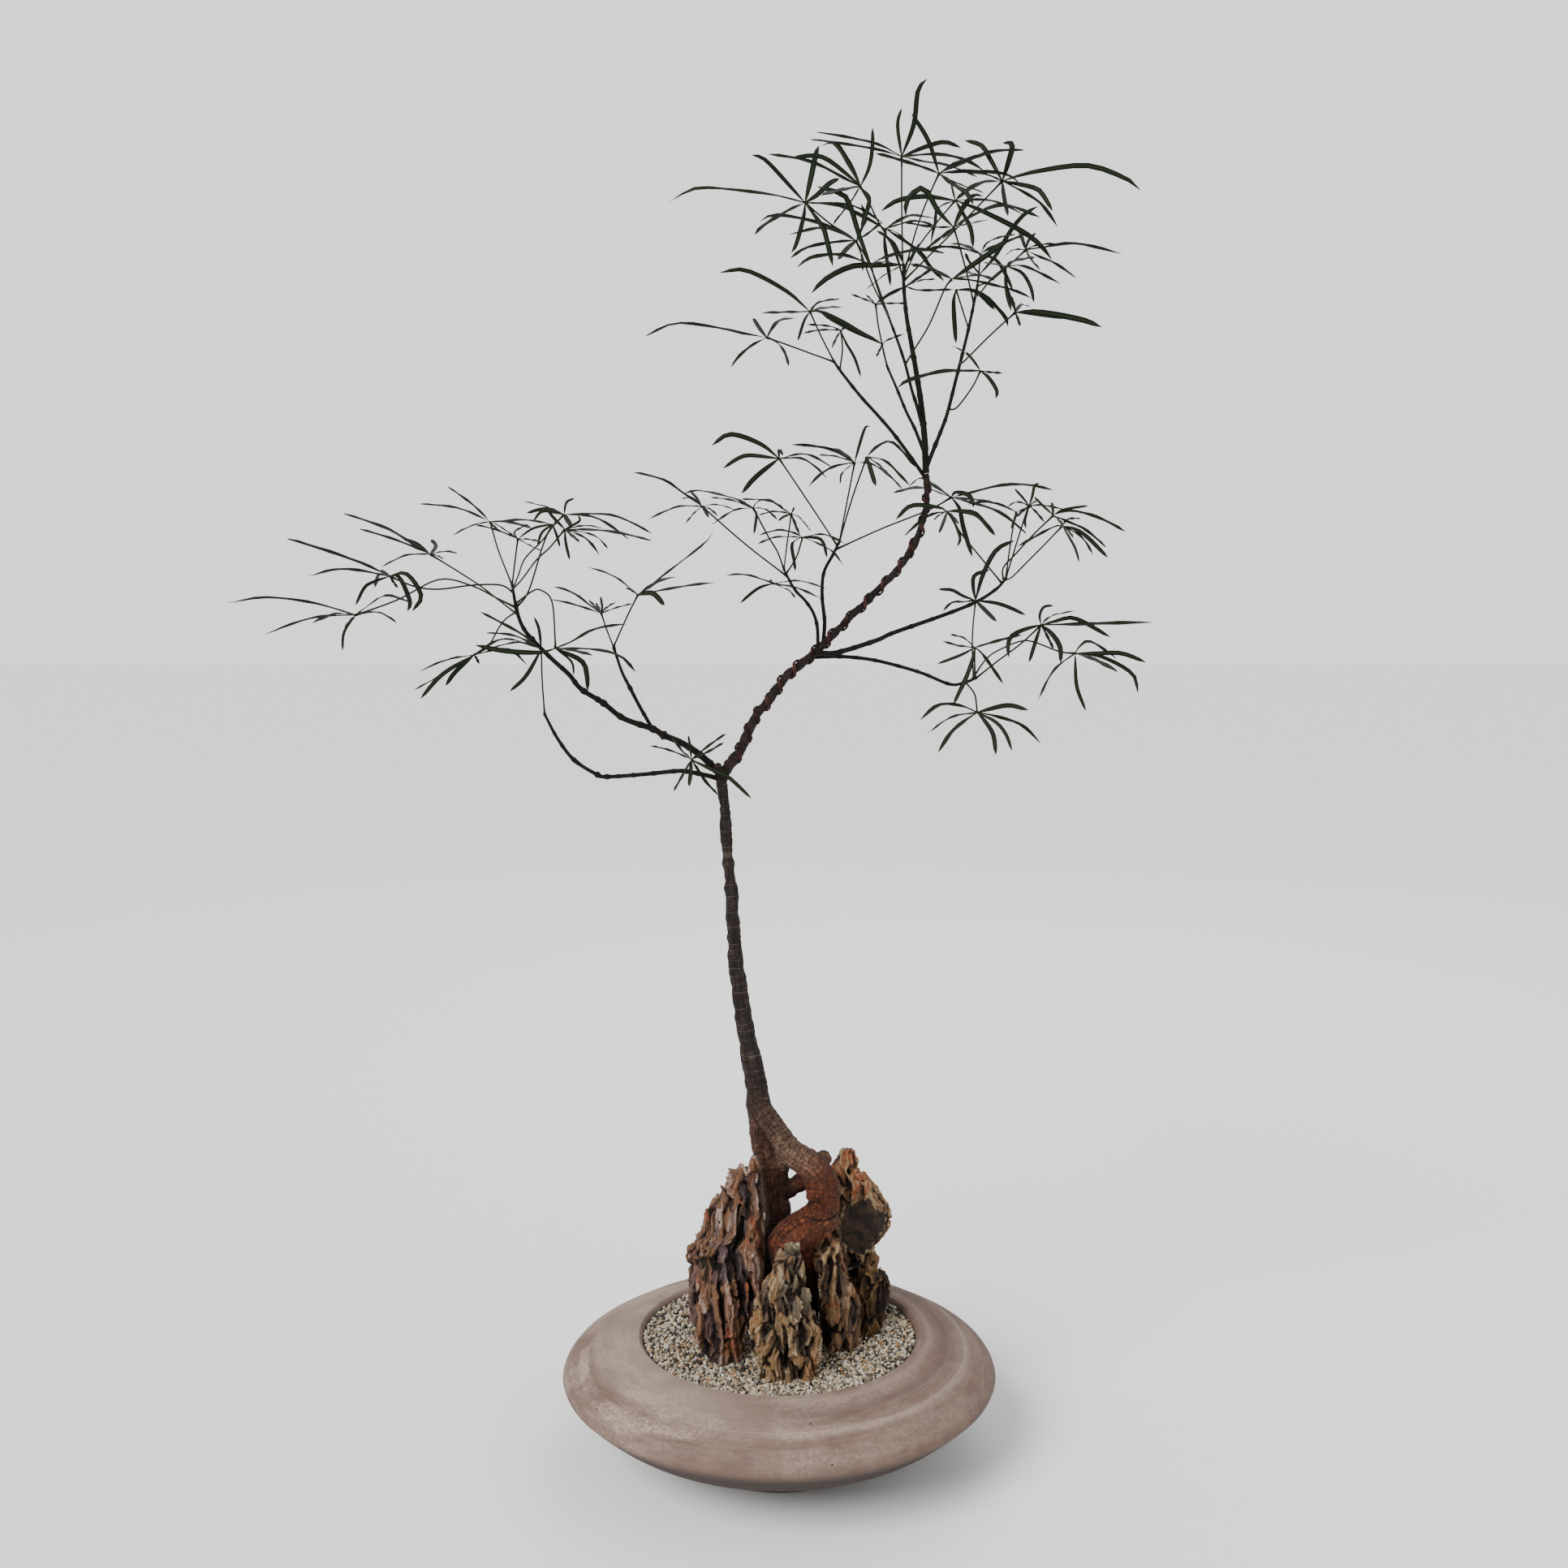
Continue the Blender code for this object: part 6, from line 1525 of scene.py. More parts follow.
# %% Leaves as they were read
LEAVES = {
    "leader": """
1111,193,15 | 1111,250 1112,310 1113,350 | 1106,154 1111,133*; 1126,153 1131,112 1142,97*; 1140,181 1164,175
  1184,182*; 1156,191 1189,198 1213,211; 1140,200 1166,204 1204,218; 1076,177 1006,163; 1076,184 999,172
1157,214,-30 | 1146,238 1130,280 1116,340 | 1145,176 1130,150 1123,140*; 1181,201 1224,188; 1190,200
  1222,188 1261,185; 1190,212 1236,215 1254,224; 1172,226 1189,237 1199,251; 1181,227 1213,238; 1140,208
  1111,199 1078,189
1235,223,-15 | 1190,270 1150,310 1118,345 | 1219,194 1209,179 1189,173*; 1243,198 1247,179 1235,176*;
  1273,212 1340,204 1391,222 1405,234*; 1276,232 1288,245 1297,260*; 1276,247 1291,263 1303,280; 1237,242
  1242,266*; 1207,214 1160,213; 1206,227 1178,246
1060,230,-45 | 1071,250 1081,271 1100,305 1112,344 | 1071,206 1075,180 1075,157*; 1049,208 1029,178
  1012,180; 1045,216 1012,193 975,194*; 1040,220 999,200 947,190; 1045,233 1012,241; 1050,247 1026,278;
  1071,247 1061,282
1091,282,45 | 1093,293 1104,310 1113,345 | 1106,273 1123,266 1151,269; 1126,273 1151,278; 1106,288 1131,310;
  1090,296 1096,338 1097,353; 1131,310 1146,330 1163,346
1114,326,-4 | 1114,334 1114,342 | 1085,327 1050,328 1017,344 1000,361*; 1100,300 1080,284; 1130,327
  1163,337; 1122,318 1133,300; 1090,339 1068,356
1116,353,26 | 1115,357 1114,362 | 1098,361 1081,373*; 1133,358 1176,357; 1133,346 1153,344; 1139,338
  1150,330
1177,247,50 | 1156,272 1131,305 1115,344 | 1174,235 1172,226*; 1139,242 1106,247 1086,260*; 1156,257
  1153,275 1147,301; 1188,238 1215,224; 1222,248 1262,265; 1206,258 1256,283 1281,301 1296,320*; 1186,263
  1196,283 1199,305""",
    "twig_a": """
1079,375,40 | 1082,400 1087,425 1091,449 | 1065,369 1047,362; 1073,370 1067,363; 1095,374 1119,374; 1088,367
  1111,356*
1087,424,28 | 1089,436 1092,449 | 1074,417 1048,405 1012,386*; 1094,419 1115,411; 1085,430 1080,440""",
    "twig_b": """
992,250,-10 | 1022,275 1054,297 1075,335 1092,385 | 949,240 875,232 850,235 825,249; 974,230 943,197
  926,191*; 999,220 1005,191 1009,180*; 1007,240 1022,226 1034,220*; 1050,254 1088,275; 1031,254 1061,267
  1091,283; 974,258 941,278 930,289; 990,268 981,301 975,311*; 1013,280 1018,294 1026,328
1055,297,25 | 1062,315 1075,350 1092,388 | 1037,298 997,305 974,318; 1017,281 973,289; 1013,277 957,266
  935,274; 1044,306 1032,320*; 1061,313 1063,334; 1070,288 1088,273; 1066,272 1061,251
1073,326,-60 | 1079,348 1090,380 1096,393 | 1059,291 1049,258 1039,240 1007,230*; 1090,318 1130,309
  1163,312; 1037,315 1001,318 983,329; 1090,323 1108,326
1173,344,-32 | 1164,356 1145,400 1125,433 1116,450 | 1189,333 1222,310 1244,295*; 1198,346 1247,358
  1272,368; 1206,340 1226,346; 1140,330 1123,328""",
    "twig_c": """
1036,407,8 | 1038,430 1038,457 | 1012,407 988,411; 1021,402 994,400; 1040,405 1046,402; 1042,422 1053,441
  1061,465*; 1030,418 1025,429
998,384,-30 | 1012,415 1027,445 | 968,358 919,333 887,336*; 1010,373 1034,369; 1012,380 1039,378; 976,385
  938,386; 991,395 983,420*; 1012,384 1040,398 1062,411 1083,421*
945,416,0 | 976,427 1003,437 1028,447 | 914,411 887,405 834,399 796,414; 937,406 928,392*; 951,406 960,396
  980,392; 928,425 912,438 901,452; 959,424 967,436 972,451""",
    "twig_d": """
1175,280,-58 | 1184,310 1191,336 1199,378 | 1156,260 1138,232 1118,246 1116,266*; 1186,258 1199,242
  1212,242; 1148,280 1113,274; 1193,276 1217,271; 1198,266 1236,253 1282,268; 1159,293 1138,310; 1170,288
  1162,294
1208,313,-24 | 1207,325 1207,340 | 1186,307 1159,305 1138,310; 1189,303 1170,300; 1216,300 1231,293
  1251,289; 1222,305 1261,290; 1227,320 1239,338 1248,358*
1207,338,6 | 1206,340 1206,345 | 1226,316 1244,286 1261,265 1279,254*; 1194,323 1189,311; 1197,338 1190,334
1178,357,12 | 1187,385 1193,409 | 1175,371 1176,396 1178,423*; 1202,359 1226,382*; 1206,361 1236,389
  1242,402
1240,328,-50 | 1222,343 1207,362 1203,371 | 1264,329 1307,350; 1259,336 1270,354 1274,373*; 1226,326
  1212,324; 1239,343 1241,363 1246,383*; 1247,323 1276,317
1264,308,32 | 1244,326 1222,345 1205,360 | 1260,297 1255,281; 1267,297 1276,287*; 1276,303 1301,300;
  1288,305 1325,301 1382,313; 1279,316 1300,325 1325,342; 1249,308 1240,314; 1269,319 1281,333
1251,385,-36 | 1232,402 1214,419 1188,445 1183,452 | 1249,375 1246,365; 1245,370 1240,350; 1278,384 1333,394
  1357,403*; 1270,386 1315,392*; 1258,376 1269,378; 1254,393 1257,402
1208,457,-20 | 1198,477 1179,502 1171,507 | 1200,445 1190,433*; 1190,436 1173,426; 1188,457 1159,458
  1119,469 1105,479; 1220,459 1236,460; 1218,465 1228,481 1227,491*""",
    "left_branch": """
438,758,-20 | 490,739 541,714 582,722 612,737 634,751 | 387,744 330,737 282,743; 385,762 326,782; 412,757
  385,768; 432,766 425,775; 424,779 422,802*; 466,755 489,768; 459,743 476,734 502,741
480,710,-60 | 512,723 541,726 582,721 617,721 631,732 | 435,691 354,664; 423,702 381,710; 460,717 449,724
  438,746*; 467,709 462,724; 474,706 469,703*; 492,711 505,741 502,753*; 501,707 519,734 508,753*; 484,717
  490,725
530,683,15 | 561,702 592,722 614,739 635,759 | 498,664 475,651 424,633; 490,667 443,652; 514,670 497,664*;
  500,685 470,699; 537,673 531,665*; 548,680 563,682; 538,685 546,689
604,643,30 | 614,678 631,722 | 582,622 552,600; 565,627 518,621; 582,648 558,660; 645,641 680,646; 625,644
  655,651; 610,650 617,656
638,664,-40 | 634,696 632,722 | 620,652 608,644; 610,653 586,647; 657,651 680,646*; 652,665 667,668; 652,672
  667,679; 634,656 651,646
695,634,-15 | 678,653 669,672 651,729 641,749 | 698,619 708,614*; 678,626 646,618; 672,627 649,632*; 669,630
  657,642*; 735,639 774,664; 755,636 804,658; 700,642 705,649*
696,652,-70 | 678,674 661,690 643,714 636,725 | 714,642 712,635*; 722,648 741,651; 750,655 802,666; 732,660
  750,677; 704,660 714,668; 722,664 739,684; 697,668 702,690*; 684,640 674,628*
681,646,35 | 669,665 647,688 639,708 634,725 | 668,656 662,672*; 686,660 690,674*; 692,638 700,636
684,799,-45 | 684,788 680,741 666,727 655,729 637,745 | 664,804 622,802 586,795*; 704,815 707,832*; 716,814
  723,831 724,851*; 733,801 764,809 783,828; 705,802 730,808; 705,791 733,776 772,769
584,807,10 | 601,797 615,773 624,762 634,757 | 550,814 518,827; 561,828 549,845*; 545,831 518,861*; 540,834
  511,850; 587,812 590,818; 615,789 643,790; 625,800 649,819""",
    "left_side_twig": """
786,733,-5 | 773,759 757,797 | 840,692 870,668 879,655; 812,717 832,711; 842,723 880,718; 804,731 819,746*;
  757,711 725,699; 778,728 770,724
741,756,45 | 748,777 755,797 | 742,748 740,735*; 726,746 705,731 682,723; 733,748 725,739; 705,745 680,739;
  757,750 779,744; 748,749 759,742; 738,750 734,743""",
    "left_low_twig": """
667,800,32 | 668,837 670,877 | 664,775 658,760*; 642,781 592,754; 634,784 600,780; 648,833 628,852*; 640,792
  607,798""",
    "fork_leaf": """
852,936,-30 | 868,945 881,951 | 828,926 802,919; 850,918 848,906; 838,924 828,908; 873,920 895,904; 872,927
  892,915; 841,956 830,975; 851,953 849,969; 879,949 898,958 926,984*; 868,962 884,979""",
    "middle_left_twig": """
865,624,10 | 919,671 969,712 | 841,608 817,592 780,582; 858,613 851,606*; 852,614 840,615; 835,625 799,640;
  856,632 845,645; 884,622 908,629; 869,631 873,638; 875,628 884,636
928,626,-30 | 946,660 958,680 965,702 | 906,615 863,605 843,608; 903,617 876,613; 905,629 878,646; 933,619
  945,616 965,626; 932,634 929,658*; 943,628 958,641; 920,622 916,618*
975,633,38 | 969,676 967,700 | 953,631 935,635; 965,637 959,642*; 977,630 979,625; 961,625 946,617 912,615;
  985,638 999,655; 980,647 985,659
989,662,-10 | 981,687 971,706 | 974,656 957,654 935,660; 957,662 934,670; 980,666 976,675 980,704; 1015,659
  1041,670; 1008,663 1015,670 1019,687*; 1006,669 1026,680 1039,697
953,719,26 | 965,721 975,723 | 920,709 895,709; 938,723 927,730 912,743*; 985,716 1020,726; 982,725
  1010,737; 972,728 980,737; 951,719 949,714""",
    "middle_right_twig": """
960,565,-22 | 993,614 1031,671 | 937,547 900,535 877,549*; 924,561 909,565 891,577*; 939,581 926,593
  914,608*; 936,583 922,593; 960,554 965,561*; 993,560 1024,575; 991,567 1019,589
1053,570,22 | 1035,663 1034,668 | 1059,548 1066,527 1072,525*; 1020,554 974,548; 1034,556 1016,552; 1030,563
  1009,561; 1030,575 1013,584 996,600; 1038,583 1035,596; 1074,572 1095,586 1111,602
1068,563,-28 | 1050,614 1036,663 | 1090,568 1109,586 1122,600; 1072,576 1079,599*; 1082,573 1095,586;
  1082,550 1100,546 1127,575
1172,613,34 | 1145,628 1085,652 1031,677 | 1147,596 1134,589 1121,599; 1195,608 1232,599 1264,598 1298,604;
  1178,606 1195,611 1200,625*; 1182,626 1187,650 1198,686*; 1218,619 1251,630; 1228,630 1264,657; 1135,601
  1101,607""",
    "right_upper_twig": """
1167,630,-34 | 1184,657 1201,678 1230,717 | 1156,625 1123,623 1104,640*; 1143,637 1115,660; 1163,642
  1157,657*; 1188,631 1206,637 1224,659*; 1175,642 1183,663 1179,674; 1200,632 1227,661; 1174,638 1181,646;
  1158,635 1151,641
1268,623,22 | 1262,639 1253,668 1245,694 1240,713 | 1272,611 1275,598 1281,596*; 1260,613 1250,602*;
  1253,619 1241,625; 1260,630 1251,638; 1263,640 1264,651*; 1286,623 1320,630; 1277,632 1287,644; 1274,619
  1280,615
1252,631,-10 | 1247,657 1242,691 1238,712 | 1232,622 1210,619 1192,622; 1262,628 1275,622; 1250,641 1246,652
1298,635,-44 | 1275,657 1251,683 1236,700 1231,716 | 1284,622 1274,612*; 1297,626 1296,619*; 1310,628
  1341,623*; 1318,630 1351,638 1386,655; 1314,643 1336,653 1362,674; 1305,642 1310,650
1309,648,24 | 1286,672 1267,691 1247,711 1241,715 | 1316,640 1331,639; 1325,652 1340,662 1365,687*; 1332,662
  1347,684; 1318,663 1325,676 1330,693*; 1297,650 1253,674; 1316,655 1322,663""",
    "right_lower_twig": """
1202,740,26 | 1199,770 1198,800 1199,836 | 1210,711 1221,687 1232,674 1250,666*; 1199,722 1201,709
  1219,702*; 1186,734 1173,727 1156,726*; 1188,742 1173,743 1162,753; 1190,748 1167,757; 1227,743 1245,749
  1264,758*; 1214,752 1228,766*
1201,798,-16 | 1201,820 1201,836 | 1188,787 1170,782; 1180,796 1161,790; 1184,807 1155,818*; 1216,794
  1260,782; 1211,807 1236,843; 1198,814 1190,837 1175,868
1204,878,-12 | 1201,856 1191,844 | 1184,870 1157,869 1134,887; 1172,884 1144,903; 1188,889 1172,903
  1156,927; 1218,874 1243,869 1267,875*; 1226,883 1258,894 1282,916; 1226,889 1239,904 1247,925*; 1214,889
  1224,906 1227,930*
1283,770,-42 | 1258,793 1230,814 1203,838 | 1281,759 1286,748 1298,746*; 1296,759 1323,753; 1264,775
  1247,783 1242,795 1243,810*; 1302,765 1325,762 1368,785*; 1310,770 1352,769 1419,767; 1296,781 1306,797
  1307,817*; 1278,784 1268,816*; 1290,784 1298,800
1325,805,14 | 1306,803 1274,791 1258,790 1237,798 1216,811 1196,838 | 1331,796 1344,791 1375,811; 1353,805
  1382,805 1412,816*; 1357,809 1395,830 1402,854*; 1350,814 1377,828; 1325,820 1327,847 1338,876*; 1310,816
  1296,830 1279,863""",
}
print("twigs with leaves:", len(LEAVES))

# %% [markdown]
# A spray is one leafy piece, as the solids have it. The crown's shoot carries four twigs, every other
# spray one.

# %% Read the leaves
SPRAYS = {
    "crown_shoot": ["leader", "twig_a", "twig_b", "twig_d"], "crown_left_twig": ["twig_c"],
    **{name: [name] for name in (
        "left_branch", "left_side_twig", "left_low_twig", "fork_leaf", "middle_left_twig",
        "middle_right_twig", "right_upper_twig", "right_lower_twig")},
}


def read_leaf(text):
    """A leaf's hub, the depth there, its stalk's points, and the texts of its leaflets."""
    hub, stalk, leaflets = text.split("|")
    (px, py, depth), = read_points(hub)
    return at(px, py, depth), depth, read_points(stalk), leaflets.split(";")


def leaves_of(twig):
    """The leaves on a twig."""
    return [read_leaf(text) for text in LEAVES[twig].replace("\n  ", " ").strip().splitlines()]


print("leaves:", sum(len(leaves_of(twig)) for twig in LEAVES),
      "leaflets:", sum(len(leaf[3]) for twig in LEAVES for leaf in leaves_of(twig)))

# %% [markdown]
# A picture hides how far a leaflet leans towards the eye or away. Leaflets of one leaf have much the same
# length, so one that looks short must lean. Which way it leans is chosen so that the leaflets keep apart,
# as real ones do.

# %% Lean the leaflets
USUAL_LENGTH = 1.1
MOST_HIDDEN = 0.040
LEAST_HIDDEN = 0.006
SWINGS = (-1.0, 1.0, -0.5, 0.5, 0.0)
RIB_STEPS = 39


def apart(one, other):
    """How well two leaflets keep apart: the least angle between them as seen from where they meet."""
    lengths = [distances(path)[-1] for path in (one, other)]
    reach = min(lengths)
    worst = math.pi
    for share in (0.3, 0.6, 1.0):
        a, b = (resample(path, RIB_STEPS + 1)[max(1, int(RIB_STEPS * share * reach / length))] - path[0]
                for path, length in zip((one, other), lengths))
        worst = min(worst, a.angle(b))
    return worst


def place_ribs(hub, depth, texts, stalk):
    """Each leaflet's rib in space, and whether it is seen face on."""
    marks = [read_points(text.replace("*", "")) for text in texts]
    reaches = [distances([hub] + [at(px, py, depth) for px, py in run]) for run in marks]
    usual = USUAL_LENGTH * sum(far[-1] for far in reaches) / len(reaches)
    placed = []
    for text, run, far in zip(texts, marks, reaches):
        length = far[-1]
        hidden = min(MOST_HIDDEN, math.sqrt(max(0.0, usual * usual - length * length)) + LEAST_HIDDEN)
        options = []
        for swing in SWINGS:
            shift = swing * hidden / MM
            options.append([hub] + [at(px, py, depth + shift * far[i + 1] / length)
                                    for i, (px, py) in enumerate(run)])
        others = [stalk] + [other for other, _ in placed]
        best = max(options, key=lambda option: min(apart(option, other) for other in others))
        placed.append((best, "*" in text))
    return placed


print("leaning helper ready")

# %% [markdown]
# One leaflet is modelled: a grid that Solidify gives a thickness. It is kept flat and straight, with its
# width and length as plain numbers. Each copy is then bent along its own rib, as the Curve modifier would
# do, but in one array sum, because there are hundreds, and so that a leaflet turns its face the way the
# real one does.

# %% Model one leaflet
LEAFLET_THICKNESS = 0.00042
LEAFLET_STEPS = 10
start_clean()
bpy.ops.mesh.primitive_grid_add(x_subdivisions=2, y_subdivisions=LEAFLET_STEPS, size=2.0,
                                location=(0.0, 0.0, 0.0))
leaflet = bpy.context.object
skin = leaflet.modifiers.new("skin", "SOLIDIFY")
skin.thickness = LEAFLET_THICKNESS
skin.offset = 0.0
apply_all(leaflet)
flat = places(leaflet)
LEAFLET_ACROSS = flat[:, 0]
LEAFLET_ALONG = (flat[:, 1] + 1.0) / 2.0
LEAFLET_UP = flat[:, 2]
LEAFLET_FACES = [tuple(face.vertices) for face in leaflet.data.polygons]
drop(leaflet)
print("one leaflet:", len(LEAFLET_FACES), "faces")

# %% [markdown]
# Along its rib a leaflet keeps one side up. At each step the side is carried on without a twist, and
# turned a little towards where it should face: the eye, for one that is seen face on, or the sky.

# %% Bend a leaflet along its rib
LEAFLET_WIDTH = 0.0033
LONG_LEAFLET = 0.045
WIDTH_AT = ((0.0, 0.05, 0.14, 0.30, 0.48, 0.66, 0.82, 0.93, 1.0),
            (0.20, 0.34, 0.66, 0.90, 1.0, 1.0, 0.92, 0.72, 0.12))
WAVE = 0.0003
WAVES_ALONG = 17.0
MOST_TWIST = math.radians(14.0)


def turned_towards(side, wanted, along):
    """A direction across a leaflet, turned from side towards wanted by no more than the greatest twist."""
    now = across_from(side, along)
    aim = across_from(wanted, along)
    if aim.dot(now) < 0:
        aim = -aim
    angle = now.angle(aim)
    return aim if angle <= MOST_TWIST else now.slerp(aim, MOST_TWIST / angle)


def bent_leaflet(rib, face_on, tilt, luck):
    """The corners of a leaflet bent along its rib."""
    path = smooth_path(rib, LEAFLET_STEPS + 1)
    length = distances(path)[-1]
    width = LEAFLET_WIDTH * float(np.clip(length / LONG_LEAFLET, 0.62, 1.05)) * luck.uniform(0.82, 1.18)
    fold = luck.uniform(0.15, 0.5)
    rows = []
    side = None
    for i, point in enumerate(path):
        along = direction(path, i)
        aim = along.cross((EYE - point).normalized() if face_on else Vector((0.0, -tilt, 1.0)))
        side = turned_towards(side or across_from(aim, along), aim, along)
        rows.append((point, side, along.cross(side)))
    row = np.rint(LEAFLET_ALONG * LEAFLET_STEPS).astype(int)
    middle, across, up = (np.array([r[k] for r in rows])[row] for k in range(3))
    if up[:, 2].mean() < 0:
        up = -up
        across = -across
    half = np.interp(LEAFLET_ALONG, *WIDTH_AT) * width / 2
    lift = LEAFLET_UP * np.clip(half / (0.3 * width), 0.35, 1.0) + fold * np.abs(LEAFLET_ACROSS) * half
    lift = lift + WAVE * np.sin(LEAFLET_ALONG * WAVES_ALONG + 6.0 * luck.random()) * LEAFLET_ACROSS
    return middle + across * (LEAFLET_ACROSS * half)[:, None] + up * lift[:, None]


trial = bent_leaflet([Vector((0, 0, 0)), Vector((0.05, 0, 0.01))], False, 0.4, chance)
print("a bent trial has", len(trial), "corners")

# %% [markdown]
# The woody stems are tubes again, with a scar where each old leaf stood. The scars that can be seen were
# read one by one. The stems at the left are a little stouter than they were first read.

# %% Make the twigs
SCARS = "804,900 818,904 670,879 708,935 736,955 748,956 720,850 744,866 776,848 756,799 654,789 640,776"
SCAR_REACH = 0.0017
SCAR_SWELL = 0.55
STOUT = {"left_low_twig": 1.20, "left_side_twig": 1.10, "left_branch": 1.10}


def scarred(run, stoutness):
    """Thicken a twig a little, and more where a scar was read."""
    path, radii = run
    marks = read_points(SCARS)
    swell = [max(math.exp(-((at(px, py, p.y / MM) - p).length / SCAR_REACH) ** 2) for px, py in marks)
             for p in path]
    return path, [r * stoutness * (1.0 + SCAR_SWELL * s) for r, s in zip(radii, swell)]


def make_twigs(name, seed):
    """The woody stems of one spray, with a knob where each old leaf stood."""
    runs = [scarred(knobbly(wood_run(TWIGS[twig], 0.0009), 0.34, 0.0145, seed + i), STOUT.get(name, 1.0))
            for i, twig in enumerate(SPRAYS[name])]
    twigs = tubes(name + "_twigs", runs, roundness=3)
    keep_grain(twigs, runs)
    finish_piece(twigs, "leaf", name)
    return twigs


twig_pieces = [make_twigs(name, 40 + 10 * i) for i, name in enumerate(SPRAYS)]
print("twig pieces:", len(twig_pieces))

# %% [markdown]
# A spray's leaves are one mesh: every leaflet bent in its place, and a thin tube for each stalk, thicker
# at both ends. Each corner keeps how far across and along its leaflet it is, and a number that tints the
# leaflet.

# %% Make the leaves
TILTS = {"crown_shoot": 0.85, "crown_left_twig": 0.75, "left_branch": 0.36, "left_side_twig": 0.34,
         "left_low_twig": 0.45, "fork_leaf": 0.55, "middle_left_twig": 0.34, "middle_right_twig": 0.55,
         "right_upper_twig": 0.65, "right_lower_twig": 0.65}
STALK_STEPS = 26
STALK_RADIUS = 0.00062
KNOT_SWELL = 0.0005
INSIDE_BOX = 0.0001
swell = STALK_RADIUS + KNOT_SWELL * np.exp(-np.linspace(0, STALK_STEPS, STALK_STEPS) / 0.9)
swell += KNOT_SWELL * np.exp(-np.linspace(STALK_STEPS, 0, STALK_STEPS) / 1.3)
STALK_RADII = [float(r) for r in swell]


def stalk_path(hub, depth, marks, carrier):
    """The stalk of a leaf, from where its leaflets meet down into its twig."""
    last = at(*marks[-1])
    foot = min(carrier, key=lambda p: (p.x - last.x) ** 2 + (p.z - last.z) ** 2)
    shares = np.linspace(0.0, 1.0, len(marks) + 1)[1:]
    return [hub] + [at(mx, my, depth + (foot.y / MM - depth) * s * s)
                    for (mx, my), s in zip(marks[:-1], shares)] + [foot]


def make_leaves(name, seed):
    """All leaves of one spray: stalks, the knots where leaflets meet, and the leaflets."""
    luck = np.random.default_rng(seed)
    corners = []
    tints = []
    stalks = []
    for twig in SPRAYS[name]:
        carrier = resample(wood_run(TWIGS[twig], 0.002)[0], 80)
        for hub, depth, marks, texts in leaves_of(twig):
            stalk = stalk_path(hub, depth, marks, carrier)
            stalks.append((smooth_path(stalk, STALK_STEPS), STALK_RADII))
            shade = luck.random()
            for rib, face_on in place_ribs(hub, depth, texts, stalk):
                corners.append(bent_leaflet(rib, face_on, TILTS[name], luck))
                tints.append(0.6 * shade + 0.4 * luck.random())
    each = len(LEAFLET_ACROSS)
    faces = [tuple(number * each + k for k in side)
             for number in range(len(corners)) for side in LEAFLET_FACES]
    lowest, highest = (np.array(corner) for corner in CAD_BOX)
    held = np.clip(np.concatenate(corners), lowest + INSIDE_BOX, highest - INSIDE_BOX)
    leaves = from_corners(name + "_leaflets", held, faces)
    put_attributes(leaves, across=np.tile(LEAFLET_ACROSS, len(corners)),
                   along=np.tile(LEAFLET_ALONG, len(corners)), tint=np.repeat(tints, each))
    in_edit(leaves, faces_out)
    stems = tubes(name + "_stalks", stalks)
    bare = np.ones(len(stems.data.vertices))
    put_attributes(stems, across=0.0 * bare, along=-1.0 * bare, tint=0.5 * bare)
    leaves = join(name + "_leaves", [leaves, stems])
    leaves.data.shade_smooth()
    finish_piece(leaves, "leaf", name)
    return leaves


leaf_pieces = [make_leaves(name, 200 + i) for i, name in enumerate(SPRAYS)]
print("leafy stems:", len(leaf_pieces))

# %% [markdown]
# A leaflet is dark olive green with a satin skin, a paler rib, darker edges, and fine veins that leave
# the rib at a slant. The attributes across and along say where on its leaflet a point is, so veins and
# rib follow every bend. Stalks have the value -1 along, and are browner.

# %% Leaf finish
LEAF_GREENS = [(0.0, tone(13, 17, 13)), (0.5, tone(18, 24, 16)), (1.0, tone(30, 39, 22))]
leaf_skin, tree, shader = new_finish("leaf_skin", DULL_SHEEN)
along = stored(tree, "along")
off_rib = calc(tree, "ABSOLUTE", stored(tree, "across"))
blades = calc(tree, "GREATER_THAN", along, -0.5)
rib = times(tree, span(tree, off_rib, 0.06, 0.30, 1.0, 0.0), blades)
edge = times(tree, span(tree, off_rib, 0.62, 1.0), blades)
slant = calc(tree, "MULTIPLY_ADD", along, 150.0, times(tree, off_rib, -7.0))
veins = times(tree, span(tree, calc(tree, "SINE", slant), 0.55, 1.0), blades)
spots = place_group(tree, BLOTCHES, Place=object_place(tree), Size=120.0, Sharpness=0.2)
green = ramp(tree, stored(tree, "tint"), LEAF_GREENS)
green = layered(tree, green, (times(tree, spots["Large"], 0.35), tone(30, 41, 30)),
                (times(tree, veins, 0.16), tone(84, 98, 66)), (times(tree, rib, 0.35), tone(92, 106, 70)),
                (times(tree, edge, 0.6), tone(32, 42, 30)),
                (times(tree, span(tree, along, 0.0, 0.12, 0.6, 0.0), blades), tone(84, 100, 58)))
stalk_colour = blend(tree, spots["Small"], tone(32, 32, 23), tone(50, 51, 34))
coat(tree, shader, blend(tree, blades, stalk_colour, green), span(tree, spots["Small"], 0.0, 1.0, 0.42, 0.56),
     0.4, 0.0004, calc(tree, "SUBTRACT", times(tree, veins, 0.4), rib))
wear(leaf_skin, *leaf_pieces)
print("leaf nodes:", len(tree.nodes))

# %% [markdown]
# Twigs wear the same bark as the trunk, finer and nearly black. High up they are young and greener.

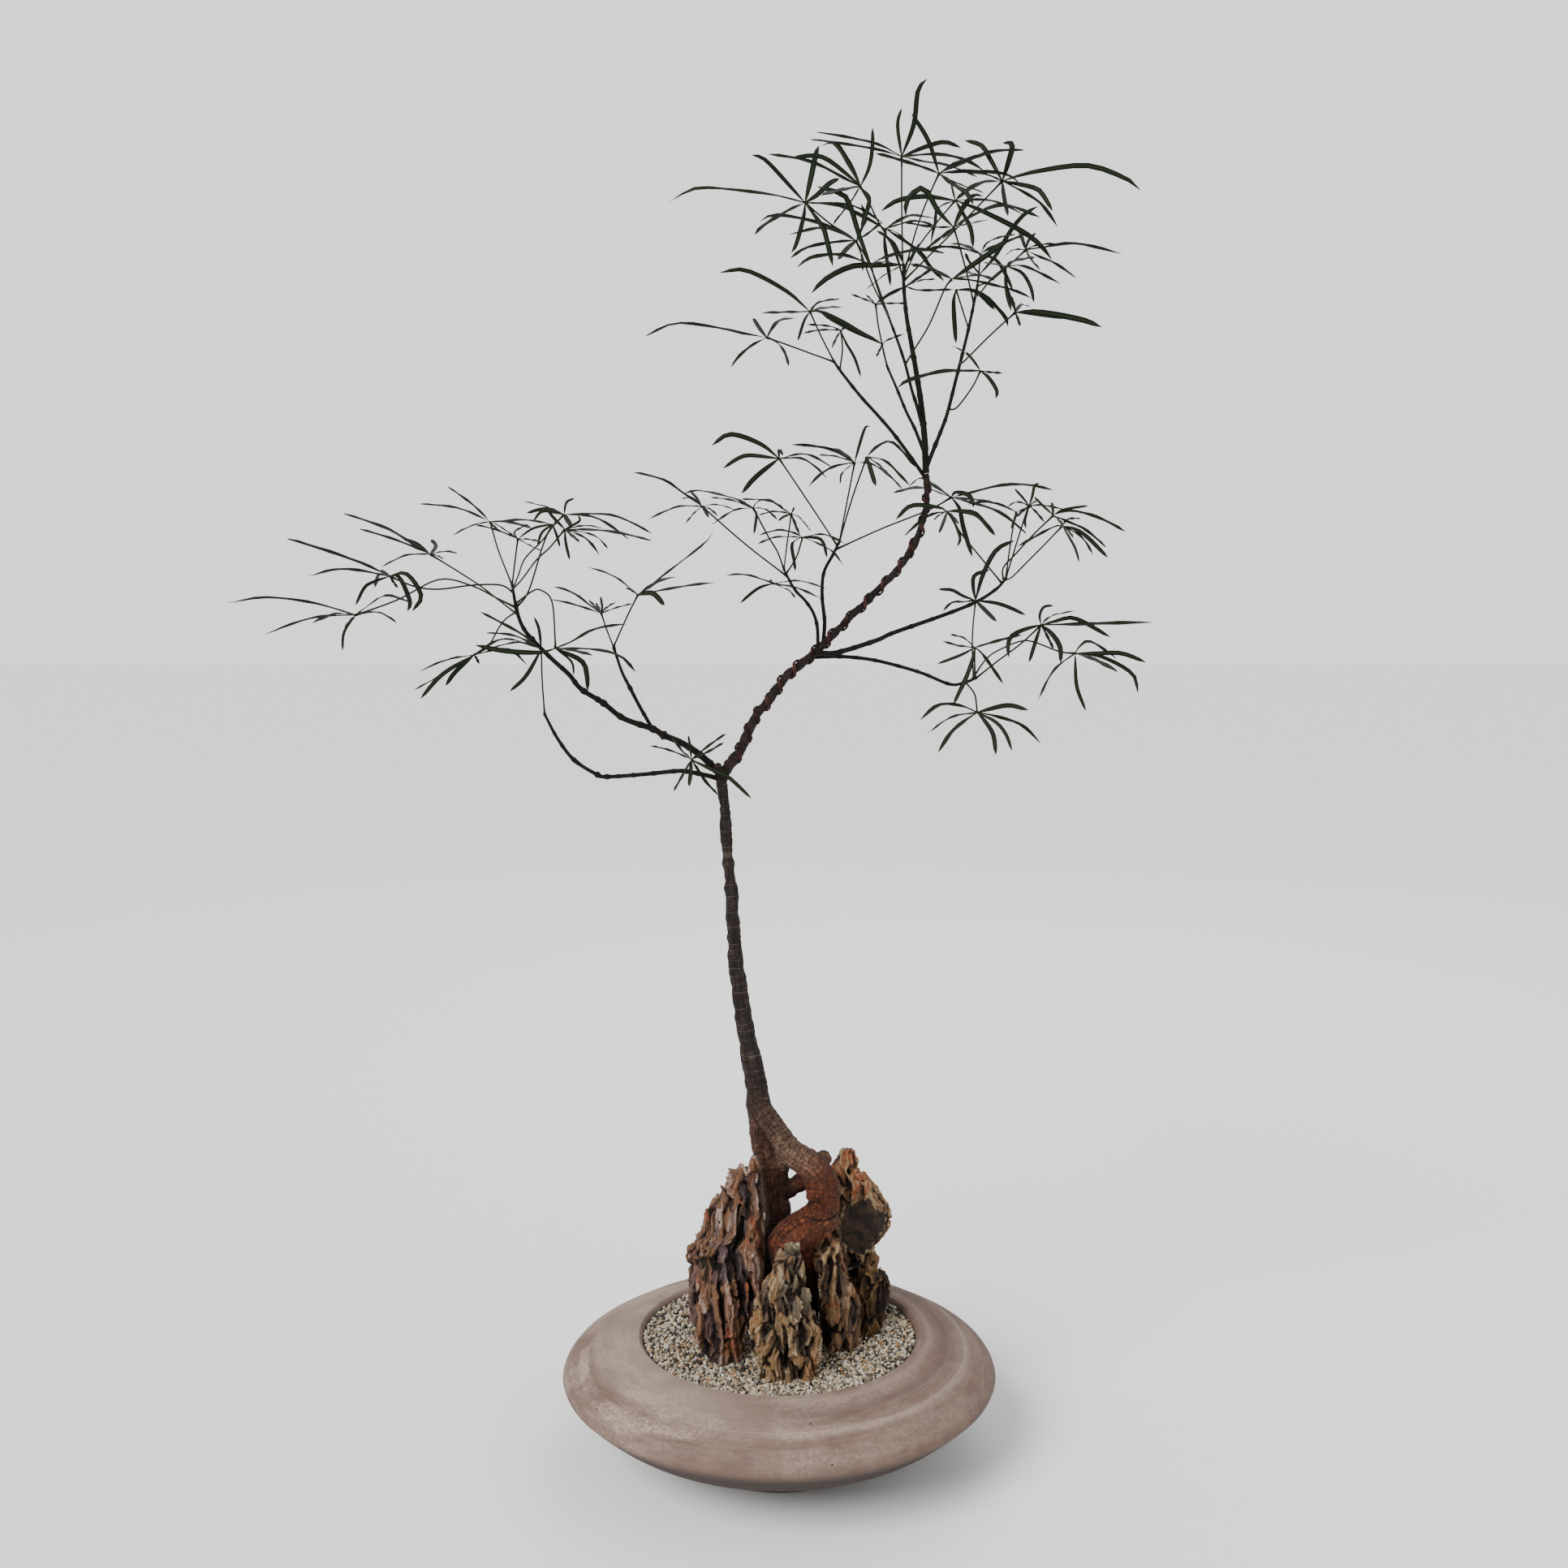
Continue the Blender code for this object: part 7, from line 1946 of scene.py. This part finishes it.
# %% Twig bark
twig_bark, tree, shader = new_finish("twig_bark", DULL_SHEEN)
place = object_place(tree)
wood = place_group(tree, BARK, Grain=stored(tree, "grain", "Vector"), Crack=1400.0, Wrinkle=900.0)
patches = place_group(tree, BLOTCHES, Place=place, Size=90.0, Sharpness=0.3)
colour = layered(tree, tone(24, 21, 19), (patches["Large"], tone(38, 33, 29)),
                 (span(tree, parts(tree, place)["Z"], 0.69, 0.78, 0.05, 0.65), tone(46, 47, 34)),
                 (times(tree, wood["Wrinkles"], 0.5), tone(28, 23, 20)))
coat(tree, shader, colour, 0.6, 0.6, 0.0005, wood["Height"])
wear(twig_bark, *twig_pieces)
print("twigs finished")

# %% [markdown]
# The floor and the light are a plain studio. A large soft lamp at the upper left does most of the work,
# and the pale sky fills in. The eye sees a brighter sky than the one that lights the tree, so the
# backdrop stays white.

# %% Floor and light
start_clean()
bpy.ops.mesh.primitive_plane_add(size=24.0, location=(0.0, 0.0, 0.0))
floor = bpy.context.object
floor.name = "studio_floor"
paper, tree, shader = new_finish("studio_paper")
shader.inputs["Base Color"].default_value = (0.92, 0.92, 0.91, 1.0)
shader.inputs["Roughness"].default_value = 0.9
wear(paper, floor)

LIT_PLACE = Vector((0.0, 0.0, 0.42))
LAMPS = (("key", "SUN", (-1.3, -1.5, 2.0), math.radians(32.0), 4.1),
         ("fill", "AREA", (1.7, -1.1, 1.2), 1.8, 10.0), ("back", "AREA", (0.4, 1.6, 1.9), 1.5, 14.0))
for name, kind, spot, size, power in LAMPS:
    bpy.ops.object.light_add(type=kind, location=spot)
    lamp = bpy.context.object
    lamp.name = name + "_lamp"
    lamp.data.energy = power
    setattr(lamp.data, "angle" if kind == "SUN" else "size", size)
    lamp.rotation_euler = (LIT_PLACE - Vector(spot)).to_track_quat("-Z", "Y").to_euler()

world = bpy.data.worlds.new("studio_sky")
bpy.context.scene.world = world
world.use_nodes = True
tree = world.node_tree
sky = tree.nodes["Background"]
sky.inputs["Color"].default_value = (0.93, 0.93, 0.94, 1.0)
sky.inputs["Strength"].default_value = 0.70
seen_sky = add(tree, "Background", Color=(0.93, 0.93, 0.93, 1.0), Strength=1.57)
mixed = add(tree, "MixShader", sockets=[(0, add(tree, "LightPath", out="Is Camera Ray")), (1, sky.outputs[0]),
                                        (2, seen_sky)])
plug(tree, tree.nodes["World Output"].inputs["Surface"], mixed)
print("lamps:", len(LAMPS))

# %% [markdown]
# The photograph's view is kept: the eye a little over a metre in front, looking slightly down.

# %% Camera
SENSOR = 36.0
bpy.ops.object.camera_add(location=EYE, rotation=(math.radians(90.0) - PITCH, 0.0, 0.0))
camera = bpy.context.object
camera.name = "photo_view"
camera.data.sensor_width = SENSOR
camera.data.lens = SENSOR * FOCAL / FRAME_SIZE
bpy.context.scene.camera = camera
print("camera lens:", round(camera.data.lens, 2))
